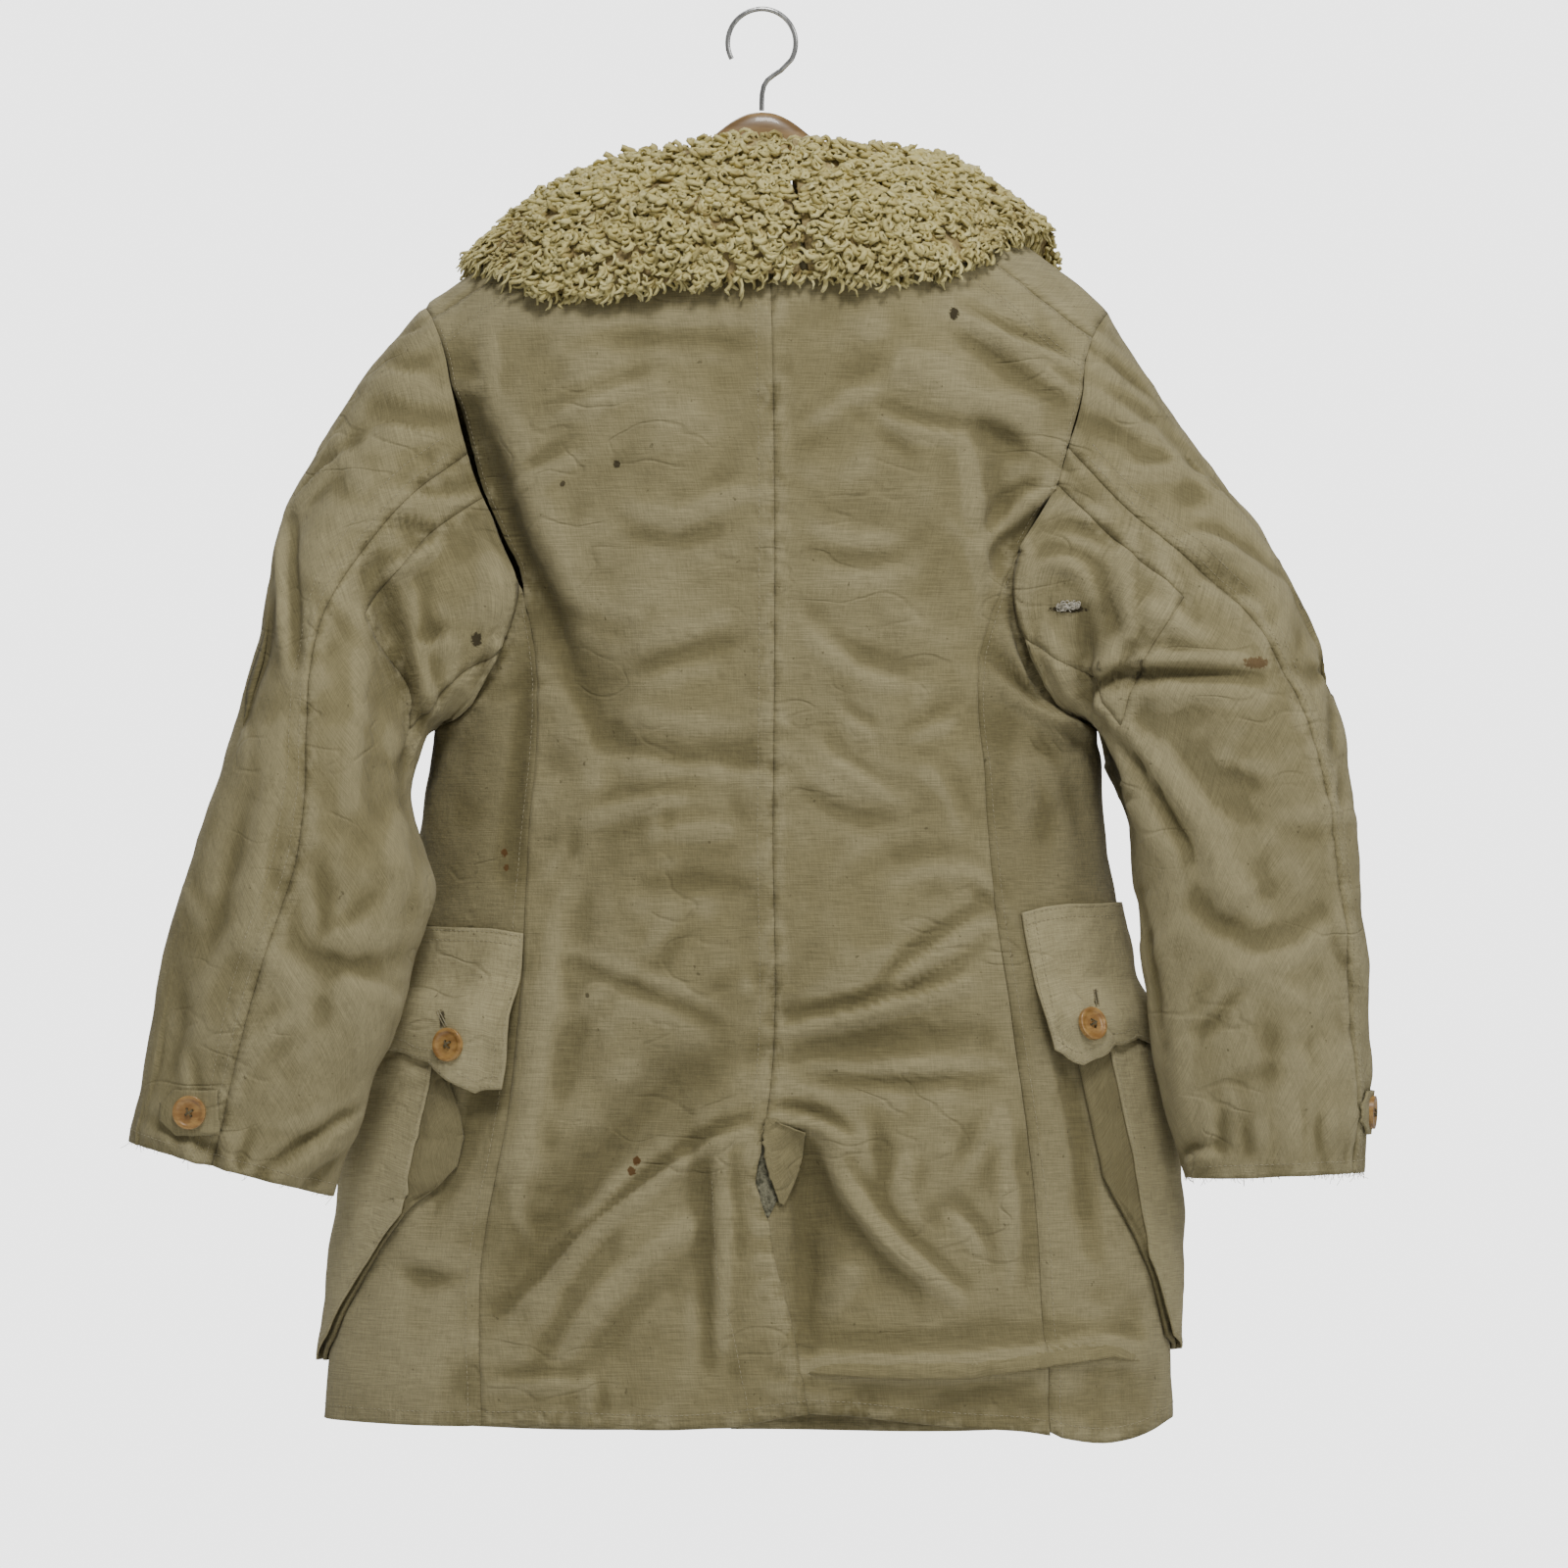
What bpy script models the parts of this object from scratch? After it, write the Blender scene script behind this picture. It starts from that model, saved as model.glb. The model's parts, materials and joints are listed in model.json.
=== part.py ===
"""A canvas field coat with a shearling collar, hanging on a contoured wooden hanger.

Tables and functions are in millimetres; MM turns their points into metres when a mesh is made.
The origin is the hook's inside top. A "drop" is a depth below it. The coat's back faces -Y, and
a "reach" is the distance from the shoulder ridge, below zero on the back and above zero in front.
The cloth is worked out as one shell of shared points, then cut into its panels along the seams.
"""

import math

import bmesh
import bpy
import numpy as np
from mathutils import Vector
from mathutils.bvhtree import BVHTree

MM = 0.001

# Driving dimensions
CLOTH = 1.6
SEAM_GAP = 0.5
SECTION_POWER = 2.3
SHOULDER_ROUND = 20.0
SHOULDER_SPREAD = 70.0
FRONT_LAP = 22.0
LAP_LIFT = 4.2
VENT_TOP_DROP = 771.0
VENT_LAP = 9.0
VENT_LIFT = 4.0
SLEEVE_CLEARANCE = 3.5
BUTTON_DIAMETER = 23.0
BUTTON_THICKNESS = 3.4
HOOK_INSIDE_RADIUS = 22.0
HOOK_WIRE_RADIUS = 1.8

# Rows of cells along each stretch of the panels
ARM_BACK_ROWS = 6
ARM_FRONT_ROWS = 7
TIP_ROWS = 2
UNDER_COLUMNS = 10
BODY_ROWS = 20
NECK_ROWS = 6
NECK_COLUMNS = 2
SHOULDER_COLUMNS = 6
SLEEVE_ROWS = 16
BACK_SEAM_COLUMN = 3
FRONT_SEAM_COLUMN = 17
GUSSET_COLUMNS = (4, 8)
GUSSET_ROWS = 3
EASED_ROWS = 6
EASED_COLUMNS = (10, 17)
EASING_ROUNDS = 2

# Body sections: drop, left half-width, right half-width, back depth, front depth
BODY = np.array([
    (100, 300, 300, 98, 92),
    (210, 300, 300, 102, 94),
    (300, 270, 270, 103, 95),
    (380, 250, 249, 103, 95),
    (500, 229, 234, 100, 94),
    (560, 238, 240, 99, 93),
    (640, 254, 252, 98, 92),
    (720, 270, 267, 98, 92),
    (800, 285, 281, 99, 93),
    (860, 293, 287, 100, 94),
    (930, 301, 286, 102, 95),
    (1010, 310, 288, 104, 96),
], float)

# Shoulder ridge: x, drop
RIDGE = np.array([
    (-262, 227), (-237, 205), (-211, 187), (-188, 172), (-148, 150), (-107, 130), (-66, 114),
    (0, 106), (63, 112), (104, 127), (152, 148), (205, 178), (243, 211), (262, 230),
], float)

# Armhole from the shoulder tip down the back to its lowest point: x, drop
ARMHOLE = {
    "left": np.array([
        (-236.6, 205.3), (-229.8, 215.6), (-222.4, 241.0), (-217.0, 268.0), (-209.0, 302.0),
        (-199.0, 336.0), (-186.0, 366.0), (-171.5, 402.0), (-179.0, 440.0), (-194.0, 474.0),
        (-212.0, 495.0), (-229.5, 502.0),
    ], float),
    "right": np.array([
        (242.8, 210.8), (230.5, 229.8), (225.0, 249.0), (223.0, 266.0), (214.0, 302.0),
        (204.0, 334.0), (195.0, 351.0), (180.0, 379.0), (181.0, 443.0), (202.6, 482.0),
        (220.3, 495.0), (234.5, 500.0),
    ], float),
}
SHOULDER_SEAM_END = 1
SIDE_SEAM_START = 7

# Set-back shoulder seam from the neckline to the armhole: x, drop
SHOULDER_SEAM = {
    "left": np.array([(-52, 121), (-100, 141), (-173.4, 178.8), (-203, 197), (-229.8, 215.6)], float),
    "right": np.array([(55, 122), (100, 143), (159, 177), (195, 203), (230.5, 229.8)], float),
}

# Side-back seam from the armhole to the hem: x, drop
SIDE_SEAM = {
    "left": np.array([
        (-171.5, 402.0), (-158.4, 468.0), (-157.4, 518.0), (-162.5, 583.0), (-165.0, 661.0),
        (-178.0, 783.0), (-193.8, 864.0), (-194.0, 984.0),
    ], float),
    "right": np.array([
        (180.0, 379.0), (151.0, 456.0), (155.0, 538.0), (166.0, 658.0), (173.4, 703.0),
        (189.0, 824.0), (195.8, 940.0), (199.0, 989.0),
    ], float),
}

# Centre-back seam and, below the vent's top, the free edge: drop, x
CENTRE_LINE = np.array([
    (125, 5), (330, 9), (560, 8), (771, 3.5), (812, -4), (870, 0), (915, 12), (945, 18), (990, 27),
], float)

# Hem seen from the back and from the front: x, drop
HEM_BACK = np.array([
    (-311, 983), (-229, 985), (-147, 984), (-52, 986), (-13, 983), (28, 975), (48, 976), (138, 985),
    (179, 988), (246, 997), (270, 992), (290, 981),
], float)
HEM_FRONT = np.array([(-311, 983), (-200, 995), (0, 998), (200, 995), (290, 981)], float)

# Neckline of one front from the shoulder seam to the front edge, for the right hand: x, reach
NECKLINE = np.array([(55, -30), (69, -14), (75, 0), (77, 22), (68, 52), (38, 84)], float)
NECKLINE_END_REACH = 99.0

# Sleeve rings, each seen from the back: outer x, outer drop, inner x, inner drop, centre y,
# half-depth, bow toward the armhole's own shape, twist in degrees
SLEEVE = {
    "left": np.array([
        (-236.6, 205.3, -229.5, 502.0, 0, 50, 1.00, 0),
        (-275.4, 251.6, -246.0, 511.0, -6, 58, 0.80, 0),
        (-309.4, 306.0, -252.0, 529.0, -17, 62, 0.56, 2),
        (-332.5, 357.0, -251.0, 550.0, -32, 62, 0.32, 4),
        (-346.1, 408.0, -243.0, 569.0, -50, 59, 0.12, 8),
        (-357.0, 459.0, -232.0, 589.0, -68, 55, 0.00, 12),
        (-368.6, 513.4, -226.0, 614.0, -80, 52, 0.00, 16),
        (-382.8, 561.0, -231.9, 643.0, -85, 50, 0.00, 20),
        (-399.2, 612.0, -242.8, 680.0, -87, 49, 0.00, 20),
        (-414.1, 659.6, -256.4, 721.0, -84, 48, 0.00, 20),
        (-422.3, 710.6, -272.7, 755.0, -80, 47, 0.00, 20),
        (-429.8, 754.8, -285.6, 792.0, -77, 46, 0.00, 20),
        (-435.9, 788.8, -297.2, 825.5, -75, 44, 0.00, 20),
    ], float),
    "right": np.array([
        (242.8, 210.8, 234.5, 500.0, 0, 50, 1.00, 0),
        (280.8, 272.0, 254.0, 511.0, -8, 56, 0.78, 0),
        (314.8, 319.6, 260.0, 535.0, -20, 59, 0.50, -2),
        (348.8, 363.8, 259.0, 565.0, -34, 57, 0.26, -5),
        (374.0, 408.0, 256.4, 598.0, -50, 53, 0.08, -9),
        (391.0, 452.0, 259.1, 629.0, -56, 52, 0.00, -12),
        (403.2, 503.0, 262.5, 660.0, -60, 51, 0.00, -15),
        (410.7, 557.6, 265.9, 685.0, -61, 50, 0.00, -18),
        (416.8, 612.0, 270.6, 714.0, -61, 49, 0.00, -20),
        (421.6, 666.0, 275.4, 745.0, -60, 48, 0.00, -22),
        (422.3, 717.0, 280.8, 772.0, -58, 47, 0.00, -24),
        (420.9, 765.0, 286.5, 794.0, -56, 46, 0.00, -25),
        (418.2, 810.0, 293.0, 814.0, -55, 44, 0.00, -25),
    ], float),
}

# Largest folds of the back: start x, drop; bend x, drop; end x, drop; half-width, push outward
BACK_FOLDS = np.array([
    (-219, 250, -178, 350, -150, 515, 24, -9),
    (-128, 440, -100, 480, -105, 530, 20, -5),
    (-60, 300, -70, 520, -40, 700, 34, 4),
    (85, 228, 150, 300, 215, 280, 18, 5),
    (152, 310, 178, 372, 160, 446, 20, -8),
    (60, 560, 70, 700, 95, 850, 32, 5),
    (-150, 894, -60, 800, 3, 774, 20, 6),
    (5, 776, 40, 800, 55, 860, 18, -6),
    (50, 785, 100, 840, 130, 900, 20, 6),
    (30, 955, 130, 953, 262, 945, 16, 6),
    (-150, 600, -110, 700, -130, 850, 26, -5),
], float)

# Largest folds of a sleeve: first ring, column, last ring, column, half-width in cells, push
SLEEVE_FOLDS = {
    "left": np.array([
        (1.0, 5.0, 6.5, 6.5, 1.1, -8), (2.0, 2.0, 5.0, 3.0, 1.0, 6), (7.0, 2.0, 9.0, 7.0, 0.9, -4),
        (11.5, 6.0, 14.0, 9.0, 0.8, 5), (14.0, 1.0, 15.5, 6.0, 0.7, -4),
    ], float),
    "right": np.array([
        (4.0, 7.0, 10.0, 6.0, 1.0, -7), (6.0, 1.0, 6.5, 6.0, 0.7, -5), (2.0, 5.0, 5.0, 7.5, 0.9, 5),
        (11.0, 5.0, 14.0, 2.0, 0.8, -4), (14.0, 2.0, 15.5, 6.0, 0.7, 4),
    ], float),
}

# Collar stations of the right half: neckline x, reach; outer edge x, reach; fleece thickness, stand
COLLAR_RIGHT = np.array([
    (21, -34, 33, -104, 27, 39), (38, -33, 64, -101, 29, 38), (53, -31, 98, -88, 30, 34),
    (63, -22, 130, -68, 30, 27), (70, -13, 152, -48, 29, 25), (75, -2, 168, -26, 28, 24),
    (77, 10, 184, -4, 36, 26), (78, 24, 194, 20, 44, 27), (72, 46, 194, 58, 42, 27),
    (58, 70, 168, 104, 34, 26), (40, 86, 124, 146, 28, 25), (25, 96, 78, 178, 24, 23),
], float)
COLLAR_LEFT = np.array([
    (17, -34, 27, -104, 27, 39), (-8, -34, -14, -106, 28, 39), (-32, -33, -60, -104, 30, 38),
    (-52, -30, -104, -94, 30, 33), (-63, -21, -140, -76, 30, 27), (-70, -13, -164, -56, 29, 24),
    (-74, -2, -184, -30, 27, 22), (-76, 10, -196, -8, 28, 22), (-77, 24, -198, 18, 30, 23),
    (-71, 46, -186, 58, 31, 24), (-58, 70, -154, 100, 30, 24), (-40, 86, -114, 142, 28, 23),
    (-25, 96, -74, 174, 24, 22),
], float)
# Gap under the collar at its neckline and over the rest, by the neckline's reach
COLLAR_SEAT = ((-25, -10, 50, 70), (1.2, 4.5, 4.5, 9.0))
COLLAR_LIFT = ((-25, -10, 50, 70), (3.2, 7.0, 7.0, 11.0))
COLLAR_RISE = ((-25, 40, 60), (1.5, 2.0, 11.0))

# Pocket, column by column of the body's grid from the back edge: column, bellows top, bottom
POCKETS = {
    "left": np.array([(9, 786, 806), (10, 712, 838), (11, 706, 880), (12, 706, 926), (13, 706, 944),
                      (14, 706, 944), (15, 706, 944), (16, 706, 944), (17, 706, 944),
                      (18, 706, 944)], float),
    "right": np.array([(10, 730, 812), (11, 706, 870), (12, 706, 925), (13, 706, 936),
                       (14, 706, 938), (15, 706, 938), (16, 706, 938), (17, 706, 938),
                       (18, 706, 938)], float),
}
# Flap over the pocket: column, top drop, bottom drop
FLAPS = {
    "left": np.array([(8, 644, 752), (9, 641, 752), (10, 640, 736), (11, 640, 728), (12, 640, 726),
                      (13, 640, 734), (14, 640, 744), (15, 640, 734), (16, 640, 728),
                      (17, 640, 728), (18, 640, 728)], float),
    "right": np.array([(9, 630, 726), (10, 626, 736), (11, 624, 724), (12, 624, 720),
                       (13, 624, 730), (14, 624, 742), (15, 624, 730), (16, 624, 724),
                       (17, 624, 724), (18, 624, 724)], float),
}
BELLOWS_LIFT = 1.2
BELLOWS_DEPTH = 6.0
FLAP_CLOTH = 2.2

# Buttons on the body: hand, column, drop, lift from the panel
POCKET_BUTTONS = {"left": (9.6, 722.0), "right": (10.4, 708.0)}
FRONT_BUTTON_DROPS = (235.0, 350.0, 470.0, 590.0, 710.0)

# Cuff tab: distance along it and half its height there
TAB_OUTLINE = ((-19.0, 15.0), (-9.0, 15.0), (0.0, 15.0), (9.0, 14.0), (19.0, 5.0))
TAB_SEAT = 1.6
TAB_CLOTH = 1.8

# Hanger arm: distance from the centre, top drop, height, thickness
HANGER = np.array([
    (0, 70, 34, 13), (32, 85, 31, 13), (52, 103, 28, 13), (68, 119, 26, 13), (82, 123, 25, 13),
    (120, 138, 24, 13),
    (160, 157, 22, 14), (195, 178, 20, 15), (208, 188, 14, 12),
], float)

# Colours of each material, with its roughness
MATERIALS = {
    "canvas": ((0.24, 0.21, 0.105), 0.95),
    "canvas_dark": ((0.16, 0.14, 0.07), 0.95),
    "shearling": ((0.55, 0.47, 0.25), 1.0),
    "lining": ((0.20, 0.19, 0.14), 1.0),
    "horn": ((0.26, 0.15, 0.055), 0.4),
    "wood": ((0.22, 0.13, 0.05), 0.5),
    "steel": ((0.55, 0.55, 0.54), 0.3),
}


def clear_objects():
    """Remove every object of the scene."""
    for item in list(bpy.data.objects):
        bpy.data.objects.remove(item, do_unlink=True)


def material(name):
    """Return the named material, made once."""
    found = bpy.data.materials.get(name)
    if found:
        return found
    colour, roughness = MATERIALS[name]
    made = bpy.data.materials.new(name)
    made.use_nodes = True
    shader = made.node_tree.nodes["Principled BSDF"]
    shader.inputs["Base Color"].default_value = (*colour, 1.0)
    shader.inputs["Roughness"].default_value = roughness
    shader.inputs["Metallic"].default_value = 1.0 if name == "steel" else 0.0
    made.diffuse_color = (*colour, 1.0)
    return made


def smooth(table, column, at):
    """Read a table's column at a key of its first column, along a smooth cubic."""
    keys = table[:, 0]
    values = table[:, column]
    slopes = np.gradient(values, keys)
    at = np.clip(np.asarray(at, float), keys[0], keys[-1])
    i = np.clip(np.searchsorted(keys, at, side="right") - 1, 0, len(keys) - 2)
    span = keys[i + 1] - keys[i]
    t = (at - keys[i]) / span
    return (values[i] * (1 + 2 * t) * (1 - t) ** 2 + values[i + 1] * t * t * (3 - 2 * t)
            + span * slopes[i] * t * (1 - t) ** 2 - span * slopes[i + 1] * t * t * (1 - t))


def lengths(points):
    """Distance along a path to each of its points, as fractions of the whole."""
    steps = np.linalg.norm(np.diff(points, axis=0), axis=1)
    total = np.concatenate([[0.0], np.cumsum(steps)])
    return total / total[-1]


def along(points, fractions):
    """Points at fractions of a path's length, on a smooth curve through its points."""
    keyed = np.column_stack([lengths(points), points])
    return np.column_stack([smooth(keyed, k, fractions) for k in range(1, keyed.shape[1])])


def ridge(x):
    """Drop of the shoulder ridge."""
    return smooth(RIDGE, 1, x)


def half_width(x, drop):
    """Half-width of the body on the side that x lies on."""
    return np.where(np.asarray(x) < 0, smooth(BODY, 1, drop), smooth(BODY, 2, drop))


def half_depth(side, drop):
    """Half-depth of the body, for the back below zero and the front above zero."""
    return np.where(np.asarray(side) < 0, smooth(BODY, 3, drop), smooth(BODY, 4, drop))


def reach_at(x, drop, side):
    """Signed distance from the ridge of the point at x and drop on one side."""
    below = np.maximum(np.asarray(drop, float) - ridge(x), 0.0) + SHOULDER_ROUND
    return side * np.sqrt(below ** 2 - SHOULDER_ROUND ** 2)


def drop_at(x, reach):
    """Drop of the point that lies at a signed distance from the ridge."""
    return ridge(x) + np.hypot(reach, SHOULDER_ROUND) - SHOULDER_ROUND


def body_point(x, drop, reach):
    """Body points, with the section's roundness at x and the shoulder's at the reach."""
    q = np.clip(np.abs(x) / half_width(x, drop), 0.0, 1.0)
    full = (1.0 - q ** SECTION_POWER) ** (1.0 / SECTION_POWER)
    y = half_depth(reach, drop) * full * reach / np.hypot(reach, SHOULDER_SPREAD)
    return np.stack([x, y, -drop], axis=-1)


def fold_push(x, drop):
    """Outward push of the back's large folds."""
    push = np.zeros_like(x)
    t = np.linspace(0.0, 1.0, 17)[:, None]
    for x0, d0, x1, d1, x2, d2, half, depth in BACK_FOLDS:
        line = ((1 - t) ** 2 * (x0, d0) + 2 * t * (1 - t) * np.array((x1, d1))
                + t * t * np.array((x2, d2)))
        away = np.hypot(x[..., None] - line[:, 0], drop[..., None] - line[:, 1])
        near = np.argmin(away, axis=-1)
        where = near / 16.0
        taper = 0.35 + 0.65 * np.sin(math.pi * np.clip(where, 0.04, 0.96))
        push += depth * taper * np.exp(-(np.min(away, axis=-1) / half) ** 2)
    return push


def body_normal(points):
    """Outward directions of the body's sections, level with the floor."""
    x, y, drop = points[..., 0], points[..., 1], -points[..., 2]
    power = SECTION_POWER - 1.0
    nx = np.sign(x) * np.abs(x / half_width(x, drop)) ** power / half_width(x, drop)
    ny = np.sign(y) * np.abs(y / half_depth(y, drop)) ** power / half_depth(y, drop)
    size = np.maximum(np.hypot(nx, ny), 1e-9)
    return np.stack([nx / size, ny / size, np.zeros_like(x)], axis=-1)


def folded(points, reach):
    """Body points with the large folds pressed into the back."""
    drop = -points[..., 2]
    fade = np.clip((drop - ridge(points[..., 0]) - 6.0) / 30.0, 0.0, 1.0)
    back = np.clip(-reach / 40.0, 0.0, 1.0) * np.clip(-points[..., 1] / 30.0, 0.0, 1.0)
    push = fold_push(points[..., 0], drop) * fade * back
    return points + body_normal(points) * push[..., None]


def patch(left, right, top, bottom):
    """Fill four edges with a grid of points: rows run from top to bottom."""
    rows, columns = len(left), len(top)
    v = lengths(0.5 * (left + right))[:, None, None]
    u = (0.5 * (lengths(top) + lengths(bottom)))[None, :, None]
    sides = (1 - u) * left[:, None] + u * right[:, None]
    ends = (1 - v) * top[None] + v * bottom[None]
    corners = ((1 - u) * (1 - v) * left[0] + u * (1 - v) * right[0]
               + (1 - u) * v * left[-1] + u * v * right[-1])
    return (sides + ends - corners).reshape(rows, columns, 2)


def armhole_fractions(hand):
    """Fractions along the armhole at the shoulder seam's end and the side seam's start."""
    marks = lengths(ARMHOLE[hand])
    return marks[SHOULDER_SEAM_END], marks[SIDE_SEAM_START]


def arm_back_edge(hand):
    """Back part of the armhole as x and reach, from the shoulder seam to the side seam."""
    first, last = armhole_fractions(hand)
    edge = along(ARMHOLE[hand], np.linspace(first, last, ARM_BACK_ROWS + 1))
    return np.column_stack([edge[:, 0], reach_at(edge[:, 0], edge[:, 1], -1.0)])


def arm_front_edge(hand):
    """Armhole from the shoulder seam's end over the tip and down the front, as x and reach."""
    first, last = armhole_fractions(hand)
    over = along(ARMHOLE[hand], np.linspace(first, 0.0, TIP_ROWS + 1))[:-1]
    down = along(ARMHOLE[hand], np.linspace(0.0, last, ARM_FRONT_ROWS + 1))
    return np.vstack([
        np.column_stack([over[:, 0], reach_at(over[:, 0], over[:, 1], -1.0)]),
        np.column_stack([down[:, 0], reach_at(down[:, 0], down[:, 1], 1.0)]),
    ])


def side_seam_edge(hand, side):
    """A side seam below the armhole as x and reach."""
    seam = along(SIDE_SEAM[hand], np.linspace(0.0, 1.0, BODY_ROWS + 1))
    if side > 0:
        hem_drop = smooth(HEM_FRONT, 1, seam[-1, 0])
        seam[:, 1] += np.linspace(0.0, 1.0, BODY_ROWS + 1) ** 3 * (hem_drop - seam[-1, 1])
    return np.column_stack([seam[:, 0], reach_at(seam[:, 0], seam[:, 1], side)])


def shoulder_edge(hand):
    """The set-back shoulder seam as x and reach."""
    seam = along(SHOULDER_SEAM[hand], np.linspace(0.0, 1.0, SHOULDER_COLUMNS + 1))
    return np.column_stack([seam[:, 0], reach_at(seam[:, 0], seam[:, 1], -1.0)])


def hem_edge(x_from, x_to, columns, table, side):
    """Part of the hem as x and reach."""
    x = np.linspace(x_from, x_to, columns + 1)
    return np.column_stack([x, reach_at(x, smooth(table, 1, x), side)])


def back_grid(hand):
    """Points of a back panel from the centre seam to the armhole and side seam."""
    outer = np.vstack([arm_back_edge(hand), side_seam_edge(hand, -1.0)[1:]])
    seam = shoulder_edge(hand)
    neck_x = np.linspace(CENTRE_LINE[0, 1], seam[0, 0], NECK_COLUMNS + 1)[:-1]
    neck = np.column_stack([neck_x, np.linspace(-36.0, seam[0, 1], NECK_COLUMNS + 1)[:-1]])
    top = np.vstack([neck, seam])
    rows = len(outer)
    neck_drop = drop_at(neck[0, 0], neck[0, 1])
    hem_x = CENTRE_LINE[-1, 1]
    drops = np.concatenate([
        np.linspace(neck_drop, 345.0, ARM_BACK_ROWS + 1)[:-1],
        np.linspace(345.0, smooth(HEM_BACK, 1, hem_x), rows - ARM_BACK_ROWS),
    ])
    centre_x = smooth(CENTRE_LINE, 1, drops)
    centre_x[0] = neck[0, 0]
    inner = np.column_stack([centre_x, reach_at(centre_x, drops, -1.0)])
    bottom = hem_edge(inner[-1, 0], outer[-1, 0], len(top) - 1, HEM_BACK, -1.0)
    grid = patch(inner, outer, top, bottom)
    x, reach = grid[..., 0], grid[..., 1]
    return folded(body_point(x, drop_at(x, reach), reach), reach)


def front_grid(hand):
    """Points of a front panel from the front edge to the armhole and side seam."""
    sign = -1.0 if hand == "left" else 1.0
    outer = np.vstack([arm_front_edge(hand), side_seam_edge(hand, 1.0)[1:]])
    seam = shoulder_edge(hand)
    neck = np.vstack([NECKLINE * (sign, 1.0), [(-sign * FRONT_LAP, NECKLINE_END_REACH)]])
    neck[0] = seam[0]
    rows = len(outer)
    edge_x = neck[-1, 0]
    drops = np.linspace(drop_at(edge_x, neck[-1, 1]), smooth(HEM_FRONT, 1, edge_x),
                        rows - NECK_ROWS)[1:]
    edge = np.column_stack([np.full(len(drops), edge_x), reach_at(edge_x, drops, 1.0)])
    inner = np.vstack([neck, edge])
    bottom = hem_edge(edge_x, outer[-1, 0], SHOULDER_COLUMNS, HEM_FRONT, 1.0)
    grid = patch(inner, outer, seam, bottom)
    x, reach = grid[..., 0], grid[..., 1]
    return folded(body_point(x, drop_at(x, reach), reach), reach)


def side_grid(hand):
    """Points of a side panel, as angles round the body's sections."""
    sign = -1.0 if hand == "left" else 1.0

    def turned(x, drop, side):
        q = np.clip(np.abs(x) / half_width(x, drop), 0.0, 1.0)
        return np.column_stack([side * np.arccos(q ** (SECTION_POWER / 2)), drop])

    _, start = armhole_fractions(hand)
    half = along(ARMHOLE[hand], np.linspace(start, 1.0, UNDER_COLUMNS // 2 + 1))
    top = np.vstack([turned(half[:, 0], half[:, 1], -1.0),
                     turned(half[::-1, 0], half[::-1, 1], 1.0)[1:]])
    top[UNDER_COLUMNS // 2, 0] = 0.0
    back, front = side_seam_edge(hand, -1.0), side_seam_edge(hand, 1.0)
    left = turned(back[:, 0], drop_at(back[:, 0], back[:, 1]), -1.0)
    right = turned(front[:, 0], drop_at(front[:, 0], front[:, 1]), 1.0)
    angles = np.linspace(left[-1, 0], right[-1, 0], UNDER_COLUMNS + 1)
    hem_x = sign * smooth(BODY, 1 if hand == "left" else 2, 985.0) * np.abs(
        np.cos(angles)) ** (2 / SECTION_POWER)
    hem = np.where(angles < 0, smooth(HEM_BACK, 1, hem_x), smooth(HEM_FRONT, 1, hem_x))
    hem[0], hem[-1] = left[-1, 1], right[-1, 1]
    grid = patch(left, right, top, np.column_stack([angles, hem]))
    angle, drop = grid[..., 0], grid[..., 1]
    x = sign * half_width(sign, drop) * np.abs(np.cos(angle)) ** (2 / SECTION_POWER)
    reach = np.where(angle < 0, -1.0, 1.0) * np.abs(reach_at(x, drop, 1.0))
    return folded(body_point(x, drop, reach), reach)


def armhole_loop(hand):
    """The armhole as one loop of points, with each point's angle round the sleeve's ring."""
    first, start = armhole_fractions(hand)
    back = np.linspace(first, start, ARM_BACK_ROWS + 1)
    under = np.linspace(start, 1.0, UNDER_COLUMNS // 2 + 1)[1:]
    front = np.linspace(start, 0.0, ARM_FRONT_ROWS + 1)[1:]
    tip = np.linspace(0.0, first, TIP_ROWS + 1)[1:-1]
    marks = np.concatenate([back, under, under[::-1][1:], [start], front, tip])
    side = np.concatenate([np.full(len(back) + len(under), -1.0),
                           np.full(len(under) + len(front), 1.0), np.full(len(tip), -1.0)])
    flat = along(ARMHOLE[hand], marks)
    reach = reach_at(flat[:, 0], flat[:, 1], side)
    points = folded(body_point(flat[:, 0], flat[:, 1], reach), reach)
    angles = np.where(side < 0, math.pi * marks, 2 * math.pi - math.pi * marks)
    angles[-len(tip):] += 2 * math.pi
    angles[angles > 2 * math.pi] -= 2 * math.pi
    return points, angles


def clear_of_body(points, clearance):
    """Move points that would press into the body out to its back or out from its middle."""
    x, y, drop = points[:, 0], points[:, 1], -points[:, 2]
    wide = half_width(x, drop) + clearance
    deep = half_depth(y, drop) + clearance
    q = np.clip(np.abs(x) / wide, 0.0, 1.0)
    limit = deep * (1.0 - q ** SECTION_POWER) ** (1.0 / SECTION_POWER)
    inside = (q < 1.0) & (drop > 440.0) & (np.abs(y) < limit)
    back_share = np.clip((-y - 10.0) / 40.0, 0.0, 1.0)
    moved = points.copy()
    moved[inside, 1] += (back_share * (-limit - y))[inside]
    size = (np.abs(moved[:, 0] / wide) ** SECTION_POWER
            + np.abs(moved[:, 1] / deep) ** SECTION_POWER) ** (1.0 / SECTION_POWER)
    moved[inside, :2] /= np.minimum(size, 1.0)[inside, None]
    return moved


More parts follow.
